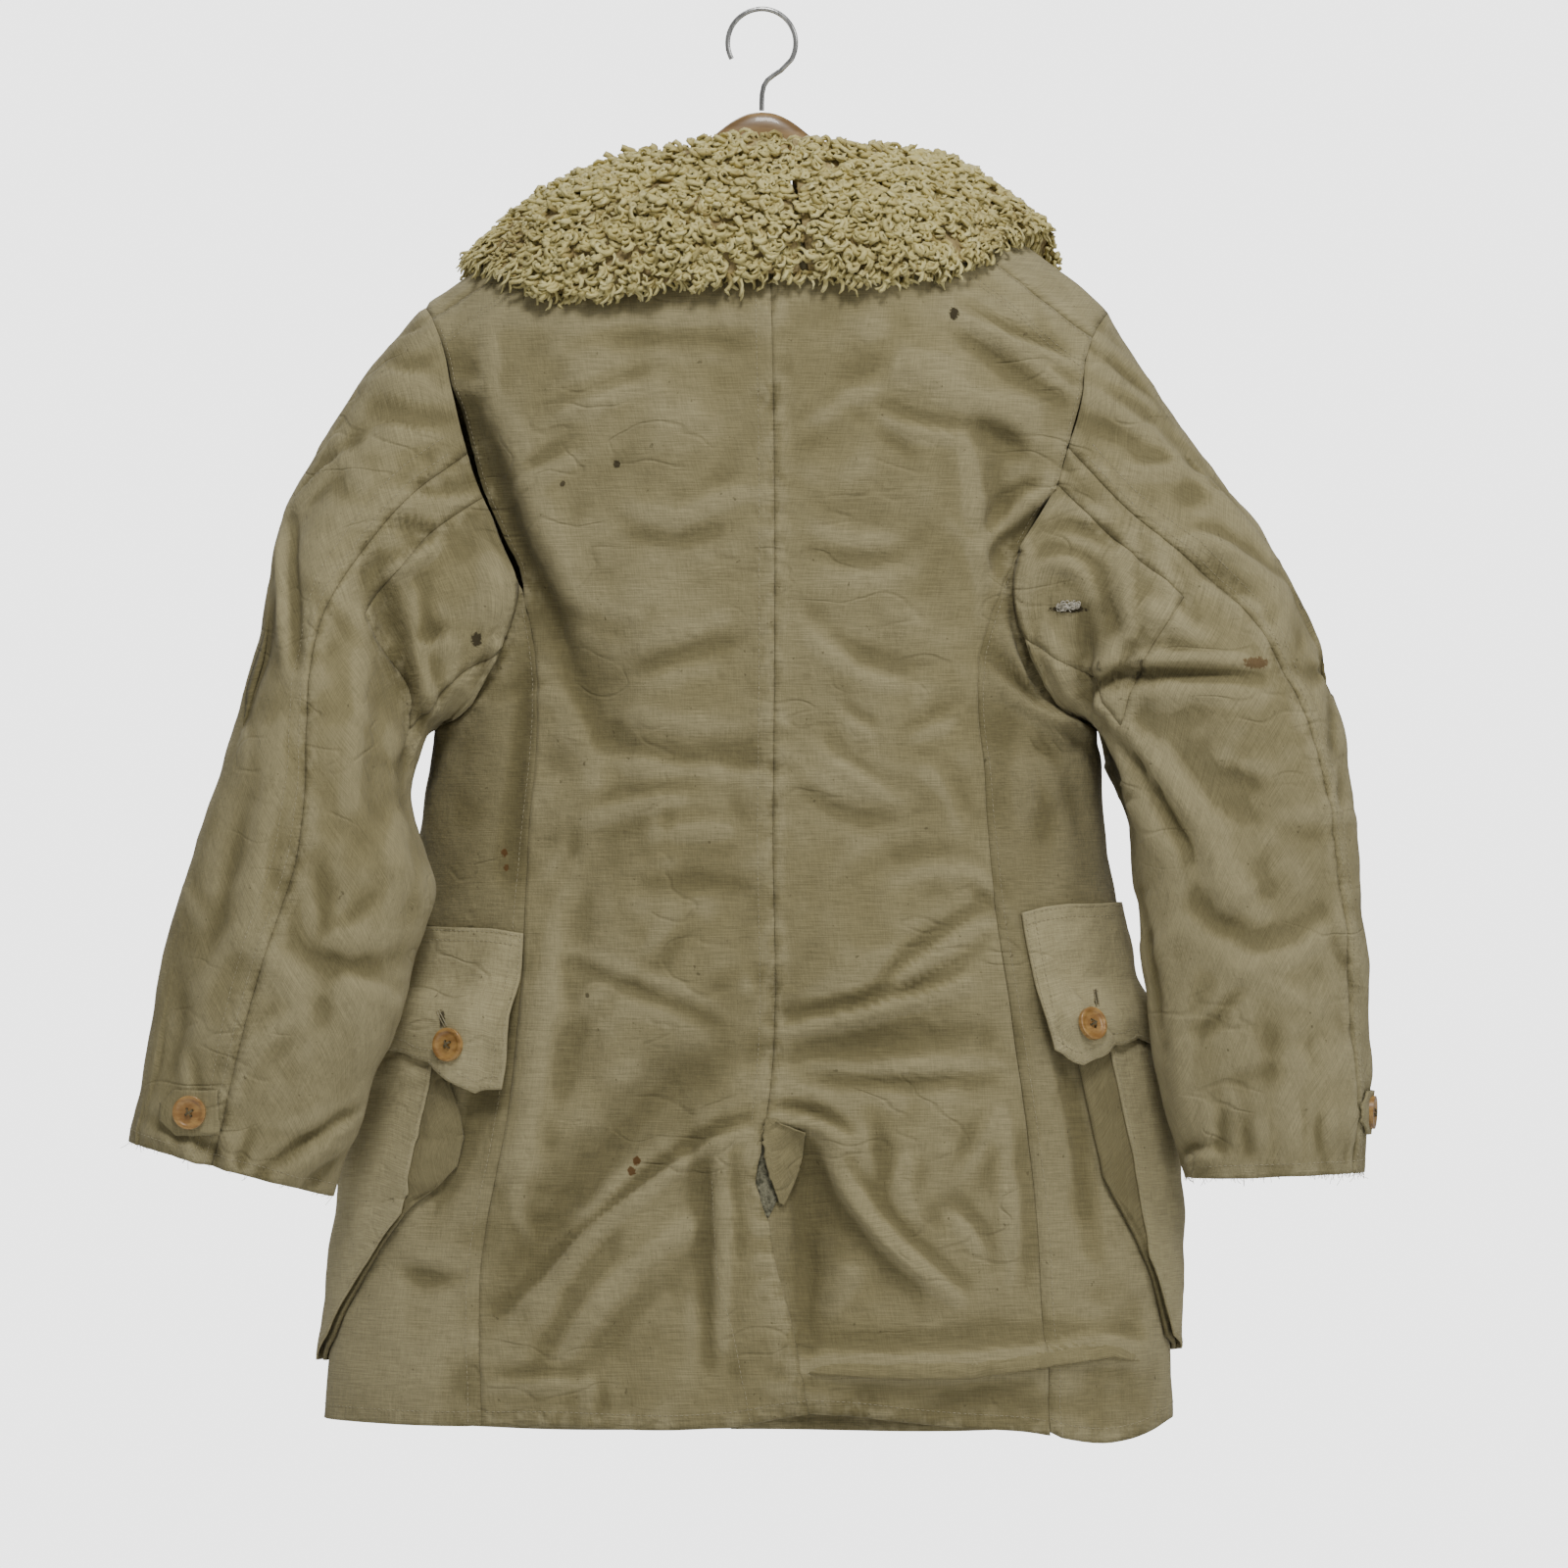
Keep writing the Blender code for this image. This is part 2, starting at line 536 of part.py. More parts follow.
def sleeve_grid(hand):
    """Sleeve points: a row for each ring, from the armhole to the cuff."""
    rings = SLEEVE[hand]
    loop, angles = armhole_loop(hand)
    keyed = np.column_stack([np.arange(len(rings)), rings])

    def ellipse(at, turn):
        ox, od, ix, idrop, cy, half = (smooth(keyed, k, at) for k in range(1, 7))
        centre = np.array([(ox + ix) / 2, cy, -(od + idrop) / 2])
        arm = np.array([(ox - ix) / 2, 0.0, -(od - idrop) / 2])
        a = angles + turn
        return centre + np.cos(a)[:, None] * arm - np.sin(a)[:, None] * np.array([0, half, 0])

    first = ellipse(0.0, 0.0)
    rows = []
    for i, at in enumerate(np.linspace(0.0, len(rings) - 1.0, SLEEVE_ROWS + 1)):
        bow = smooth(keyed, 7, at)
        ring = ellipse(at, math.radians(smooth(keyed, 8, at))) + bow * (loop - first)
        if i > 0:
            ring = sleeve_folded(hand, ring, i)
            ring = clear_of_body(ring, SLEEVE_CLEARANCE)
        rows.append(ring)
    rows[0] = loop
    return eased(np.array(rows))


def eased(grid):
    """Even out the cells under the arm, where the sleeve is pressed against the body."""
    columns = slice(*EASED_COLUMNS)
    for _ in range(EASING_ROUNDS):
        around = np.roll(grid, 1, axis=1) + np.roll(grid, -1, axis=1)
        mean = (grid[:-2] + grid[2:] + around[1:-1]) / 4.0
        grid[1:EASED_ROWS, columns] += 0.5 * (mean[:EASED_ROWS - 1] - grid[1:EASED_ROWS])[:, columns]
    return grid


def sleeve_folded(hand, ring, row):
    """Press the sleeve's large folds into one ring."""
    centre = ring.mean(axis=0)
    away = ring - centre
    away /= np.linalg.norm(away, axis=1)[:, None]
    columns = np.arange(len(ring), dtype=float)
    push = np.zeros(len(ring))
    for r0, c0, r1, c1, half, depth in SLEEVE_FOLDS[hand]:
        t = np.clip((row - r0) / (r1 - r0), 0.0, 1.0)
        beyond = max(r0 - row, row - r1, 0.0)
        push += depth * np.exp(-((columns - (c0 + t * (c1 - c0))) / half) ** 2 - beyond ** 2)
    return ring + away * push[:, None]


class Shell:
    """The whole cloth as one set of shared points, with each face's piece named."""

    def __init__(self):
        self.points = []
        self.index = {}
        self.faces = []
        self.owners = []

    def add(self, grid, owner, flip):
        """Add a grid of points; owner gives each cell's piece."""
        rows, columns = grid.shape[:2]
        ids = np.array([[self.point(grid[r, c]) for c in range(columns)] for r in range(rows)])
        for r in range(rows - 1):
            for c in range(columns - 1):
                face = [ids[r, c], ids[r + 1, c], ids[r + 1, c + 1], ids[r, c + 1]]
                self.faces.append(face[::-1] if flip else face)
                self.owners.append(owner(r, c))
        return ids

    def point(self, xyz):
        """Number of a point, shared where another lies within a hundredth of a millimetre."""
        key = tuple(np.round(xyz, 2))
        if key not in self.index:
            self.index[key] = len(self.points)
            self.points.append(np.array(xyz, float))
        return self.index[key]

    def finish(self):
        """Work out the shared directions once all the grids are in."""
        self.xyz = np.array(self.points)
        self.normals = np.zeros_like(self.xyz)
        for face in self.faces:
            a, b, c, d = (self.xyz[k] for k in face)
            self.normals[face] += np.cross(c - a, d - b)
        self.normals /= np.linalg.norm(self.normals, axis=1)[:, None]
        self.tree = BVHTree.FromPolygons([Vector(p) for p in self.xyz],
                                         [[int(k) for k in f] for f in self.faces])

    def piece(self, name):
        """Closed wall of one piece, parted from its neighbours along the seams."""
        faces = [f for f, owner in zip(self.faces, self.owners) if owner == name]
        used = sorted({k for f in faces for k in f})
        number = {k: i for i, k in enumerate(used)}
        outer = self.xyz[used].copy()
        normals = self.normals[used]
        edges = {}
        for f in faces:
            for a, b in zip(f, f[1:] + f[:1]):
                edges[(a, b)] = True
        rim = [(a, b) for (a, b) in edges if (b, a) not in edges]
        inset = np.zeros_like(outer)
        for a, b in rim:
            i, j = number[a], number[b]
            run = outer[j] - outer[i]
            for k in (i, j):
                inward = np.cross(normals[k], run)
                inset[k] += inward / np.linalg.norm(inward)
        size = np.linalg.norm(inset, axis=1)
        marked = size > 1e-6
        outer[marked] += inset[marked] / size[marked, None] * SEAM_GAP * 0.5 / np.maximum(
            size[marked, None] / 2.0, 0.5)
        outer, normals = lap(name, outer, normals)
        inner = outer - normals * CLOTH
        count = len(used)
        walls = [[number[k] for k in f] for f in faces]
        walls += [[number[k] + count for k in reversed(f)] for f in faces]
        walls += [[number[b], number[a], number[a] + count, number[b] + count] for a, b in rim]
        return np.vstack([outer, inner]), walls


def lap(name, outer, normals):
    """Lift the parts of a panel that lap over its neighbour: the left front and the vent."""
    drop = -outer[:, 2]
    if name == "front_left":
        near = np.clip((outer[:, 0] + 62.0) / 30.0, 0.0, 1.0) * (outer[:, 1] > 0)
        outer = outer + normals * (LAP_LIFT * near * near * (3 - 2 * near))[:, None]
    if name == "back_left":
        below = np.clip((drop - VENT_TOP_DROP - 45.0) / 30.0, 0.0, 1.0)
        near = np.clip((outer[:, 0] - smooth(CENTRE_LINE, 1, drop) + 44.0) / 44.0, 0.0, 1.0)
        lift = np.clip((drop - VENT_TOP_DROP) / 30.0, 0.0, 1.0) * near * near
        outer = outer + normals * (VENT_LIFT * lift)[:, None]
        outer[:, 0] += VENT_LAP * below * near * near
    return outer, normals


def add_object(name, points, faces, surface, smooth_angle=0.7):
    """Make one object from points in millimetres."""
    mesh = bpy.data.meshes.new(name)
    mesh.from_pydata([tuple(p * MM) for p in np.asarray(points)], [], faces)
    built = bmesh.new()
    built.from_mesh(mesh)
    bmesh.ops.triangulate(built, faces=[f for f in built.faces if len(f.verts) == 4])
    bmesh.ops.recalc_face_normals(built, faces=built.faces)
    built.to_mesh(mesh)
    built.free()
    mesh.shade_smooth()
    mesh.set_sharp_from_angle(angle=smooth_angle)
    item = bpy.data.objects.new(name, mesh)
    item.data.materials.append(material(surface))
    bpy.context.scene.collection.objects.link(item)
    return item


def loft(name, rings, surface):
    """Join closed rings of points into one solid with flat ends."""
    rings = np.asarray(rings)
    count, size = rings.shape[:2]
    faces = []
    for i in range(count - 1):
        for j in range(size):
            k = (j + 1) % size
            faces.append([i * size + j, i * size + k, (i + 1) * size + k, (i + 1) * size + j])
    faces.append(list(range(size))[::-1])
    faces.append([(count - 1) * size + j for j in range(size)])
    return add_object(name, rings.reshape(-1, 3), faces, surface)


def slab(name, lower, upper, surface):
    """Join a lower and an upper grid of points into one closed solid."""
    rows, columns = lower.shape[:2]
    count = rows * columns
    ids = np.arange(count).reshape(rows, columns)
    faces = []
    for r in range(rows - 1):
        for c in range(columns - 1):
            face = [ids[r, c], ids[r, c + 1], ids[r + 1, c + 1], ids[r + 1, c]]
            faces.append([int(k) for k in face])
            faces.append([int(k) + count for k in face[::-1]])
    edge = np.concatenate([ids[0, :-1], ids[:-1, -1], ids[-1, :0:-1], ids[:0:-1, 0]])
    for a, b in zip(edge, np.roll(edge, -1)):
        faces.append([int(b), int(a), int(a) + count, int(b) + count])
    points = np.vstack([lower.reshape(-1, 3), upper.reshape(-1, 3)])
    return add_object(name, points, faces, surface)


def build_shell():
    """Grids of both hands joined in one shell, and each hand's body grid below the armholes."""
    shell = Shell()
    lower = {}
    for hand in ("left", "right"):
        flip = hand == "left"
        back, side, front = back_grid(hand), side_grid(hand), front_grid(hand)
        back_ids = shell.add(back, lambda r, c: "back_" + hand, flip)
        side_ids = shell.add(side, lambda r, c: "side_" + hand, flip)
        front_ids = shell.add(front, lambda r, c: "front_" + hand, not flip)
        sleeve = sleeve_grid(hand)
        ring = np.concatenate([sleeve, sleeve[:, :1]], axis=1)

        def sleeve_piece(r, c):
            if r < GUSSET_ROWS and GUSSET_COLUMNS[0] <= c < GUSSET_COLUMNS[1]:
                return "underarm_gusset_" + hand
            if BACK_SEAM_COLUMN <= c < FRONT_SEAM_COLUMN:
                return "sleeve_under_" + hand
            return "sleeve_upper_" + hand

        shell.add(ring, sleeve_piece, not flip)
        lower[hand] = np.concatenate([
            back_ids[ARM_BACK_ROWS:], side_ids[:, 1:],
            front_ids[TIP_ROWS + ARM_FRONT_ROWS:, ::-1][:, 1:],
        ], axis=1)
    shell.finish()
    return shell, lower


class BodyGrid:
    """One hand's body below the armhole, read by column and drop."""

    def __init__(self, shell, ids):
        self.xyz = shell.xyz[ids]
        self.normals = shell.normals[ids]

    def column(self, number, drop):
        """Point and direction on one column of the grid at a drop."""
        keys = -self.xyz[:, number, 2]
        point = np.array([np.interp(drop, keys, self.xyz[:, number, k]) for k in range(3)])
        normal = np.array([np.interp(drop, keys, self.normals[:, number, k]) for k in range(3)])
        return point, normal / np.linalg.norm(normal)

    def at(self, column, drop):
        """Point and direction between two columns."""
        low = int(math.floor(column))
        share = column - low
        p, n = self.column(low, drop)
        if share > 1e-6:
            q, m = self.column(low + 1, drop)
            p, n = p * (1 - share) + q * share, n * (1 - share) + m * share
        return p, n / np.linalg.norm(n)


def sheet_on_body(name, grid, table, rows, lift, thickness, surface):
    """A slab over the body's columns between two drops, lifted by a function of the drop."""
    lower, upper = [], []
    for r in range(rows + 1):
        low_row, up_row = [], []
        for number, top, bottom in table:
            drop = top + (bottom - top) * r / rows
            p, n = grid.column(int(number), drop)
            base = lift(drop)
            low_row.append(p + n * base)
            up_row.append(p + n * (base + thickness(r, number)))
        lower.append(low_row)
        upper.append(up_row)
    return slab(name, np.array(lower), np.array(upper), surface)


def button(name, centre, normal, up):
    """A turned button with a raised rim, lying on a surface."""
    sides = 14
    radius = BUTTON_DIAMETER / 2
    profile = [(radius * 0.86, 0.0), (radius, BUTTON_THICKNESS * 0.45),
               (radius * 0.94, BUTTON_THICKNESS), (radius * 0.72, BUTTON_THICKNESS),
               (radius * 0.6, BUTTON_THICKNESS * 0.72)]
    across = np.cross(up, normal)
    across /= np.linalg.norm(across)
    other = np.cross(normal, across)
    rings = []
    for r, h in profile:
        rings.append([centre + normal * h + across * r * math.cos(a) + other * r * math.sin(a)
                      for a in np.arange(sides) * 2 * math.pi / sides])
    loft(name, rings, "horn")


def build_panels(shell):
    """Make each cloth piece of the shell."""
    for name in sorted(set(shell.owners)):
        points, faces = shell.piece(name)
        add_object(name, points, faces, "canvas")


def build_pockets(grids):
    """Bellows, face, flap and button of both pockets."""
    for hand, grid in grids.items():
        last = len(POCKETS[hand]) - 1
        first_column, last_column = POCKETS[hand][0, 0], POCKETS[hand][last, 0]

        def rounded(r, number):
            edge = r in (0, 6) or number in (first_column, last_column)
            return BELLOWS_DEPTH * (0.55 if edge else 1.0)

        def over_bag(drop):
            share = np.clip((drop - 672.0) / 34.0, 0.0, 1.0)
            bag_top = BELLOWS_LIFT + BELLOWS_DEPTH + CLOTH + 2.2
            return 1.2 + (bag_top - 1.2) * share * share * (3 - 2 * share)

        sheet_on_body("pocket_bellows_" + hand, grid, POCKETS[hand], 6, lambda d: BELLOWS_LIFT,
                      rounded, "canvas_dark")
        face = POCKETS[hand][1:]
        sheet_on_body("pocket_face_" + hand, grid, face, 6,
                      lambda d: BELLOWS_LIFT + BELLOWS_DEPTH + 0.4, lambda r, n: CLOTH, "canvas")
        sheet_on_body("pocket_flap_" + hand, grid, FLAPS[hand], 5, over_bag,
                      lambda r, n: FLAP_CLOTH, "canvas")
        column, drop = POCKET_BUTTONS[hand]
        p, n = grid.at(column, drop)
        button("button_pocket_" + hand, p + n * (over_bag(drop) + FLAP_CLOTH + 0.8), n,
               np.array([0.0, 0.0, 1.0]))


def build_vent(grids):
    """The strip behind the vent, and the fuzzy lining that shows beside it."""
    for name, hand, columns, tops, depth, surface in (
            ("vent_underlap", "left", (0, 1), (790.0, 790.0), 0.7, "canvas_dark"),
            ("vent_lining", "right", (0, 1), (800.0, 812.0), 2.8, "lining")):
        table = np.array([(columns[0], tops[0], 966.0), (columns[1], tops[1], 966.0)])
        sheet_on_body(name, grids[hand], table, 6, lambda d: -(CLOTH * 2 + depth),
                      lambda r, n: CLOTH, surface)


def collar_half(name, table):
    """One half of the collar: the body's own points from neckline to outer edge, moved out."""
    rings = []
    shares = np.array([0.0, 0.3, 0.65, 1.0])
    for neck_x, neck_reach, edge_x, edge_reach, fleece, stand in table:
        x = neck_x + (edge_x - neck_x) * shares
        reach = neck_reach + (edge_reach - neck_reach) * shares
        base = body_point(x, drop_at(x, reach), reach)
        step = 1.0
        ahead = body_point(x + step, drop_at(x + step, reach), reach) - base
        aside = body_point(x, drop_at(x, reach + step), reach + step) - base
        normal = np.cross(ahead, aside)
        normal /= np.linalg.norm(normal, axis=1)[:, None]
        normal *= np.sign(normal[:, 2:3] + 1e-9)
        out = base[3] - base[0]
        out /= np.linalg.norm(out)
        inward = -out * (1.0, 1.0, 0.0)
        up = np.array([0.0, 0.0, 1.0])
        thick = np.array([1.12, 1.08, 1.0, 0.8]) * fleece
        seat = float(np.interp(neck_reach, *COLLAR_SEAT))
        lift = float(np.interp(neck_reach, *COLLAR_LIFT))
        rise = float(np.interp(neck_reach, *COLLAR_RISE))
        rings.append([
            base[0] + up * rise + inward * 3.0,
            base[0] + up * stand * 0.5 + inward * 7.0,
            base[0] + up * (stand - 6.0) + inward * 5.0,
            base[0] + up * stand - inward * 5.0,
            base[1] + normal[1] * thick[0],
            0.5 * (base[1] + base[2]) + 0.5 * (normal[1] + normal[2]) * thick[1],
            base[2] + normal[2] * thick[2],
            base[3] + normal[3] * thick[3],
            base[3] + normal[3] * fleece * 0.4 + out * fleece * 0.22,
            base[3] + normal[3] * lift,
            base[2] + normal[2] * lift,
            base[1] + normal[1] * lift,
            base[0] + normal[0] * seat,
        ])
    return loft(name, rings, "shearling")


def build_cuff_parts(shell, hand):
    """A pointed tab and its button near the outer edge of one cuff, laid on the sleeve."""
    outer_x, outer_drop, centre_y = SLEEVE[hand][-1, [0, 1, 4]]
    up = Vector((0.0, 0.0, 1.0))
    far = 200.0
    if hand == "left":
        start = Vector((outer_x + 44.0, -far, -outer_drop + 22.0))
        way, across = Vector((0.0, 1.0, 0.0)), Vector((1.0, 0.0, 0.0))
    else:
        start = Vector((outer_x + far, centre_y - 6.0, -outer_drop + 42.0))
        way, across = Vector((-1.0, 0.0, 0.0)), Vector((0.0, 1.0, 0.0))

    def on_sleeve(a, b):
        hit, normal, _, _ = shell.tree.ray_cast(start + across * a + up * b, way)
        normal = np.array(normal if normal.dot(way) < 0 else -normal)
        return np.array(hit) + normal * TAB_SEAT, normal

    lower, upper = [], []
    for a, half in TAB_OUTLINE:
        row = [on_sleeve(a, b) for b in (-half, 0.0, half)]
        lower.append([p for p, _ in row])
        upper.append([p + n * TAB_CLOTH for p, n in row])
    slab("cuff_tab_" + hand, np.array(lower), np.array(upper), "canvas")
    centre, normal = on_sleeve(0.0, 0.0)
    button("button_cuff_" + hand, centre + normal * (TAB_CLOTH + 0.8), normal, np.array(up))


def build_front_buttons(shell):
    """Five buttons down the lapped front edge."""
    for number, drop in enumerate(FRONT_BUTTON_DROPS, start=1):
        reach = reach_at(0.0, drop, 1.0)
        base = body_point(np.array(0.0), np.array(drop), reach)
        start = Vector(base + (0.0, 60.0, 0.0))
        hit, normal, _, _ = shell.tree.ray_cast(start, Vector((0, -1, 0)))
        normal = np.array(normal) * (1.0 if normal[1] > 0 else -1.0)
        button("button_front_%d" % number, np.array(hit) + normal * (LAP_LIFT + 0.7), normal,
               np.array([0.0, 0.0, 1.0]))


def cloth_drop(shell, x, y):
    """Drop of the shell's top at x and y, found straight down from above."""
    hit, _, _, _ = shell.tree.ray_cast(Vector((x, y, 0.0)), Vector((0, 0, -1)))
    return None if hit is None else -hit[2]


def hanger_top(shell, x):
    """Drop of the hanger's top at x, as high as the cloth over it allows."""
    own = smooth(HANGER, 1, abs(x))
    half = smooth(HANGER, 3, abs(x)) / 2
    for share in (-1.0, -0.6, 0.0, 0.6, 1.0):
        over = cloth_drop(shell, x, share * half)
        if over is not None:
            profile = half * 0.7 * (1.0 - math.sqrt(max(0.0, 1.0 - share * share)))
            own = max(own, over + CLOTH * 1.25 + 0.3 - profile)
    return own


def build_hanger(shell):
    """The contoured wooden arm and its wire hook."""
    rings = []
    for x in np.linspace(-208.0, 208.0, 27):
        top = hanger_top(shell, float(x))
        high = smooth(HANGER, 2, abs(x))
        half = smooth(HANGER, 3, abs(x)) / 2
        corner = half * 0.7
        rings.append([(x, y, -(top + drop)) for y, drop in (
            (0.0, 0.0), (half * 0.6, corner * 0.2), (half, corner), (half, high - corner),
            (half * 0.6, high - corner * 0.2), (0.0, high), (-half * 0.6, high - corner * 0.2),
            (-half, high - corner), (-half, corner), (-half * 0.6, corner * 0.2))])
    loft("hanger_wood", np.array(rings), "wood")
    centre_radius = HOOK_INSIDE_RADIUS + HOOK_WIRE_RADIUS
    middle = -HOOK_INSIDE_RADIUS
    bow = [(centre_radius * math.cos(a), 0.0, middle + centre_radius * math.sin(a))
           for a in np.radians(np.linspace(-38.0, 208.0, 18))]
    stem = [(0.0, 0.0, -69.7), (0.0, 0.0, -60.0), (1.5, 0.0, -52.0), (8.0, 0.0, -45.0)]
    centres = np.array(stem + bow)
    steps = np.gradient(centres, axis=0)
    steps /= np.linalg.norm(steps, axis=1)[:, None]
    side = np.array([0.0, 1.0, 0.0])
    rings = []
    for p, t in zip(centres, steps):
        across = np.cross(t, side)
        rings.append([p + (across * math.cos(a) + side * math.sin(a)) * HOOK_WIRE_RADIUS
                      for a in np.arange(8) * math.pi / 4])
    loft("hanger_hook", rings, "steel")


def main():
    """Build the whole coat on its hanger."""
    clear_objects()
    shell, lower = build_shell()
    grids = {hand: BodyGrid(shell, ids) for hand, ids in lower.items()}
    build_panels(shell)
    build_pockets(grids)
    build_vent(grids)
    collar_half("collar_left", COLLAR_LEFT)
    collar_half("collar_right", COLLAR_RIGHT)
    for hand in ("left", "right"):
        build_cuff_parts(shell, hand)
    build_front_buttons(shell)
    build_hanger(shell)


main()
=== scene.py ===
"""A canvas field coat with a shearling collar on a wooden hanger, dressed for the picture.

The cloth's tables are in millimetres and MM turns them into metres. The origin is the hook's
inside top, a "drop" is a depth below it, and a "reach" is a distance from the shoulder ridge,
below zero on the back and above zero in front. The coat's back faces -Y.
"""

import json
import logging
import math
from dataclasses import dataclass, field
from enum import Enum

import bpy
import numpy as np
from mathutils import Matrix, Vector, noise
from mathutils.bvhtree import BVHTree
from mathutils.kdtree import KDTree

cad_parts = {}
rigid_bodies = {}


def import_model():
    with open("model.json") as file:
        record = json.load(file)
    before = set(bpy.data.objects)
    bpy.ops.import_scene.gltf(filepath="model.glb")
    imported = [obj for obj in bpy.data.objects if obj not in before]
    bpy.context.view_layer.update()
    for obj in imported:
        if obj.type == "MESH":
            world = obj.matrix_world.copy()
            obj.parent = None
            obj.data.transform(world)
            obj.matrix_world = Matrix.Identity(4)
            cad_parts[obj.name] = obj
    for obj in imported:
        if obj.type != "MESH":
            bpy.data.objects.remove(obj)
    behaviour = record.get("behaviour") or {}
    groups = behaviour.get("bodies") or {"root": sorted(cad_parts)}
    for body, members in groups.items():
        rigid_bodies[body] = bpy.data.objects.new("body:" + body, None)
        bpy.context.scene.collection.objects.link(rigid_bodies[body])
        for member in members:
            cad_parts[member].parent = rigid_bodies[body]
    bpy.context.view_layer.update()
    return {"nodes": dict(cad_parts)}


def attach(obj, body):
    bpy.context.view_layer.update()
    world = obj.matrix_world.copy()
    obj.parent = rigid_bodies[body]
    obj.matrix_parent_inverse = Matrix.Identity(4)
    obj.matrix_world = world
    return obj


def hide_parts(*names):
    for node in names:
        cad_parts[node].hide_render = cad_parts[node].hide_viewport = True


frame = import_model()
LOG = logging.getLogger("coat")

MM = 0.001
BODY_NAME = "root"
SEED = 20

# Thickness of the canvas and half the gap that parts two panels along a seam
CLOTH = 1.3
SEAM_HALF_GAP = 0.22
WALL_ALLOWANCE = 0.42
# How much deeper a crease is pressed than its table says, and its least half-width
CREASE_GAIN = 2.0
CREASE_LEAST = 5.0
SECTION_POWER = 2.3
SHOULDER_ROUND = 20.0
SHOULDER_SPREAD = 70.0
FRONT_LAP = 22.0
LAP_LIFT = 4.2
VENT_TOP_DROP = 771.0
VENT_LAP = 9.0
VENT_LIFT = 4.0
SLEEVE_CLEARANCE = 3.5
SEEN_STEP = 0.68
SEEN_CENTRE = 777.0
SEEN_TOP = 3.44

# Body sections: drop, left half-width, right half-width, back depth, front depth
BODY = np.array([(100, 300, 300, 98, 92), (210, 300, 300, 102, 94), (300, 270, 270, 103, 95),
    (380, 250, 249, 103, 95), (500, 229, 234, 100, 94), (560, 238, 240, 99, 93), (640, 254, 252, 98, 92),
    (720, 270, 267, 98, 92), (800, 285, 281, 99, 93), (860, 293, 287, 100, 94), (930, 301, 286, 102, 95),
    (1010, 310, 288, 104, 96),], float)

# Shoulder ridge: x, drop
RIDGE = np.array([(-262, 227), (-237, 205), (-211, 187), (-188, 172), (-148, 150), (-107, 130),
    (-66, 114), (0, 106), (63, 112), (104, 127), (152, 148), (205, 178), (243, 211), (262, 230),], float)

# Armhole from the shoulder tip down the back to its lowest point: x, drop
ARMHOLE = {"left": np.array([(-236.6, 205.3), (-229.8, 215.6), (-222.4, 241.0), (-217.0, 268.0),
    (-209.0, 302.0), (-199.0, 336.0), (-186.0, 366.0), (-171.5, 402.0), (-179.0, 440.0), (-194.0, 474.0),
    (-212.0, 495.0), (-229.5, 502.0),], float), "right": np.array([(242.8, 210.8), (230.5, 229.8),
    (225.0, 249.0), (223.0, 266.0), (214.0, 302.0), (204.0, 334.0), (195.0, 351.0), (180.0, 379.0),
    (181.0, 443.0), (202.6, 482.0), (220.3, 495.0), (234.5, 500.0),], float),}
SHOULDER_SEAM_END = 1
SIDE_SEAM_START = 7

# Set-back shoulder seam from the neckline to the armhole: x, drop
SHOULDER_SEAM = {"left": np.array([(-52, 121), (-100, 141), (-173.4, 178.8), (-203, 197),
    (-229.8, 215.6)], float), "right": np.array([(55, 122), (100, 143), (159, 177), (195, 203),
    (230.5, 229.8)], float),}

# Side-back seam from the armhole to the hem: x, drop
SIDE_SEAM = {"left": np.array([(-171.5, 402.0), (-158.4, 468.0), (-157.4, 518.0), (-162.5, 583.0),
    (-165.0, 661.0), (-178.0, 783.0), (-193.8, 864.0), (-194.0, 984.0),], float),
    "right": np.array([(180.0, 379.0), (151.0, 456.0), (155.0, 538.0), (166.0, 658.0), (173.4, 703.0),
    (189.0, 824.0), (195.8, 940.0), (199.0, 989.0),], float),}

# Centre-back seam and, below the vent's top, the free edge: drop, x
CENTRE_LINE = np.array([(125, 5), (330, 9), (560, 8), (771, 3.5), (812, -4), (870, 0), (915, 12),
    (945, 18), (990, 27),], float)

# Hem seen from the back and from the front: x, drop
HEM_BACK = np.array([(-311, 983), (-229, 985), (-147, 984), (-52, 986), (-13, 983), (28, 975), (48, 976),
    (138, 985), (179, 988), (246, 997), (270, 992), (290, 981),], float)
HEM_FRONT = np.array([(-311, 983), (-200, 995), (0, 998), (200, 995), (290, 981)], float)

# Neckline of one front from the shoulder seam to the front edge, for the right hand: x, reach
NECKLINE = np.array([(55, -30), (69, -14), (75, 0), (77, 22), (68, 52), (38, 84)], float)
NECKLINE_END_REACH = 99.0

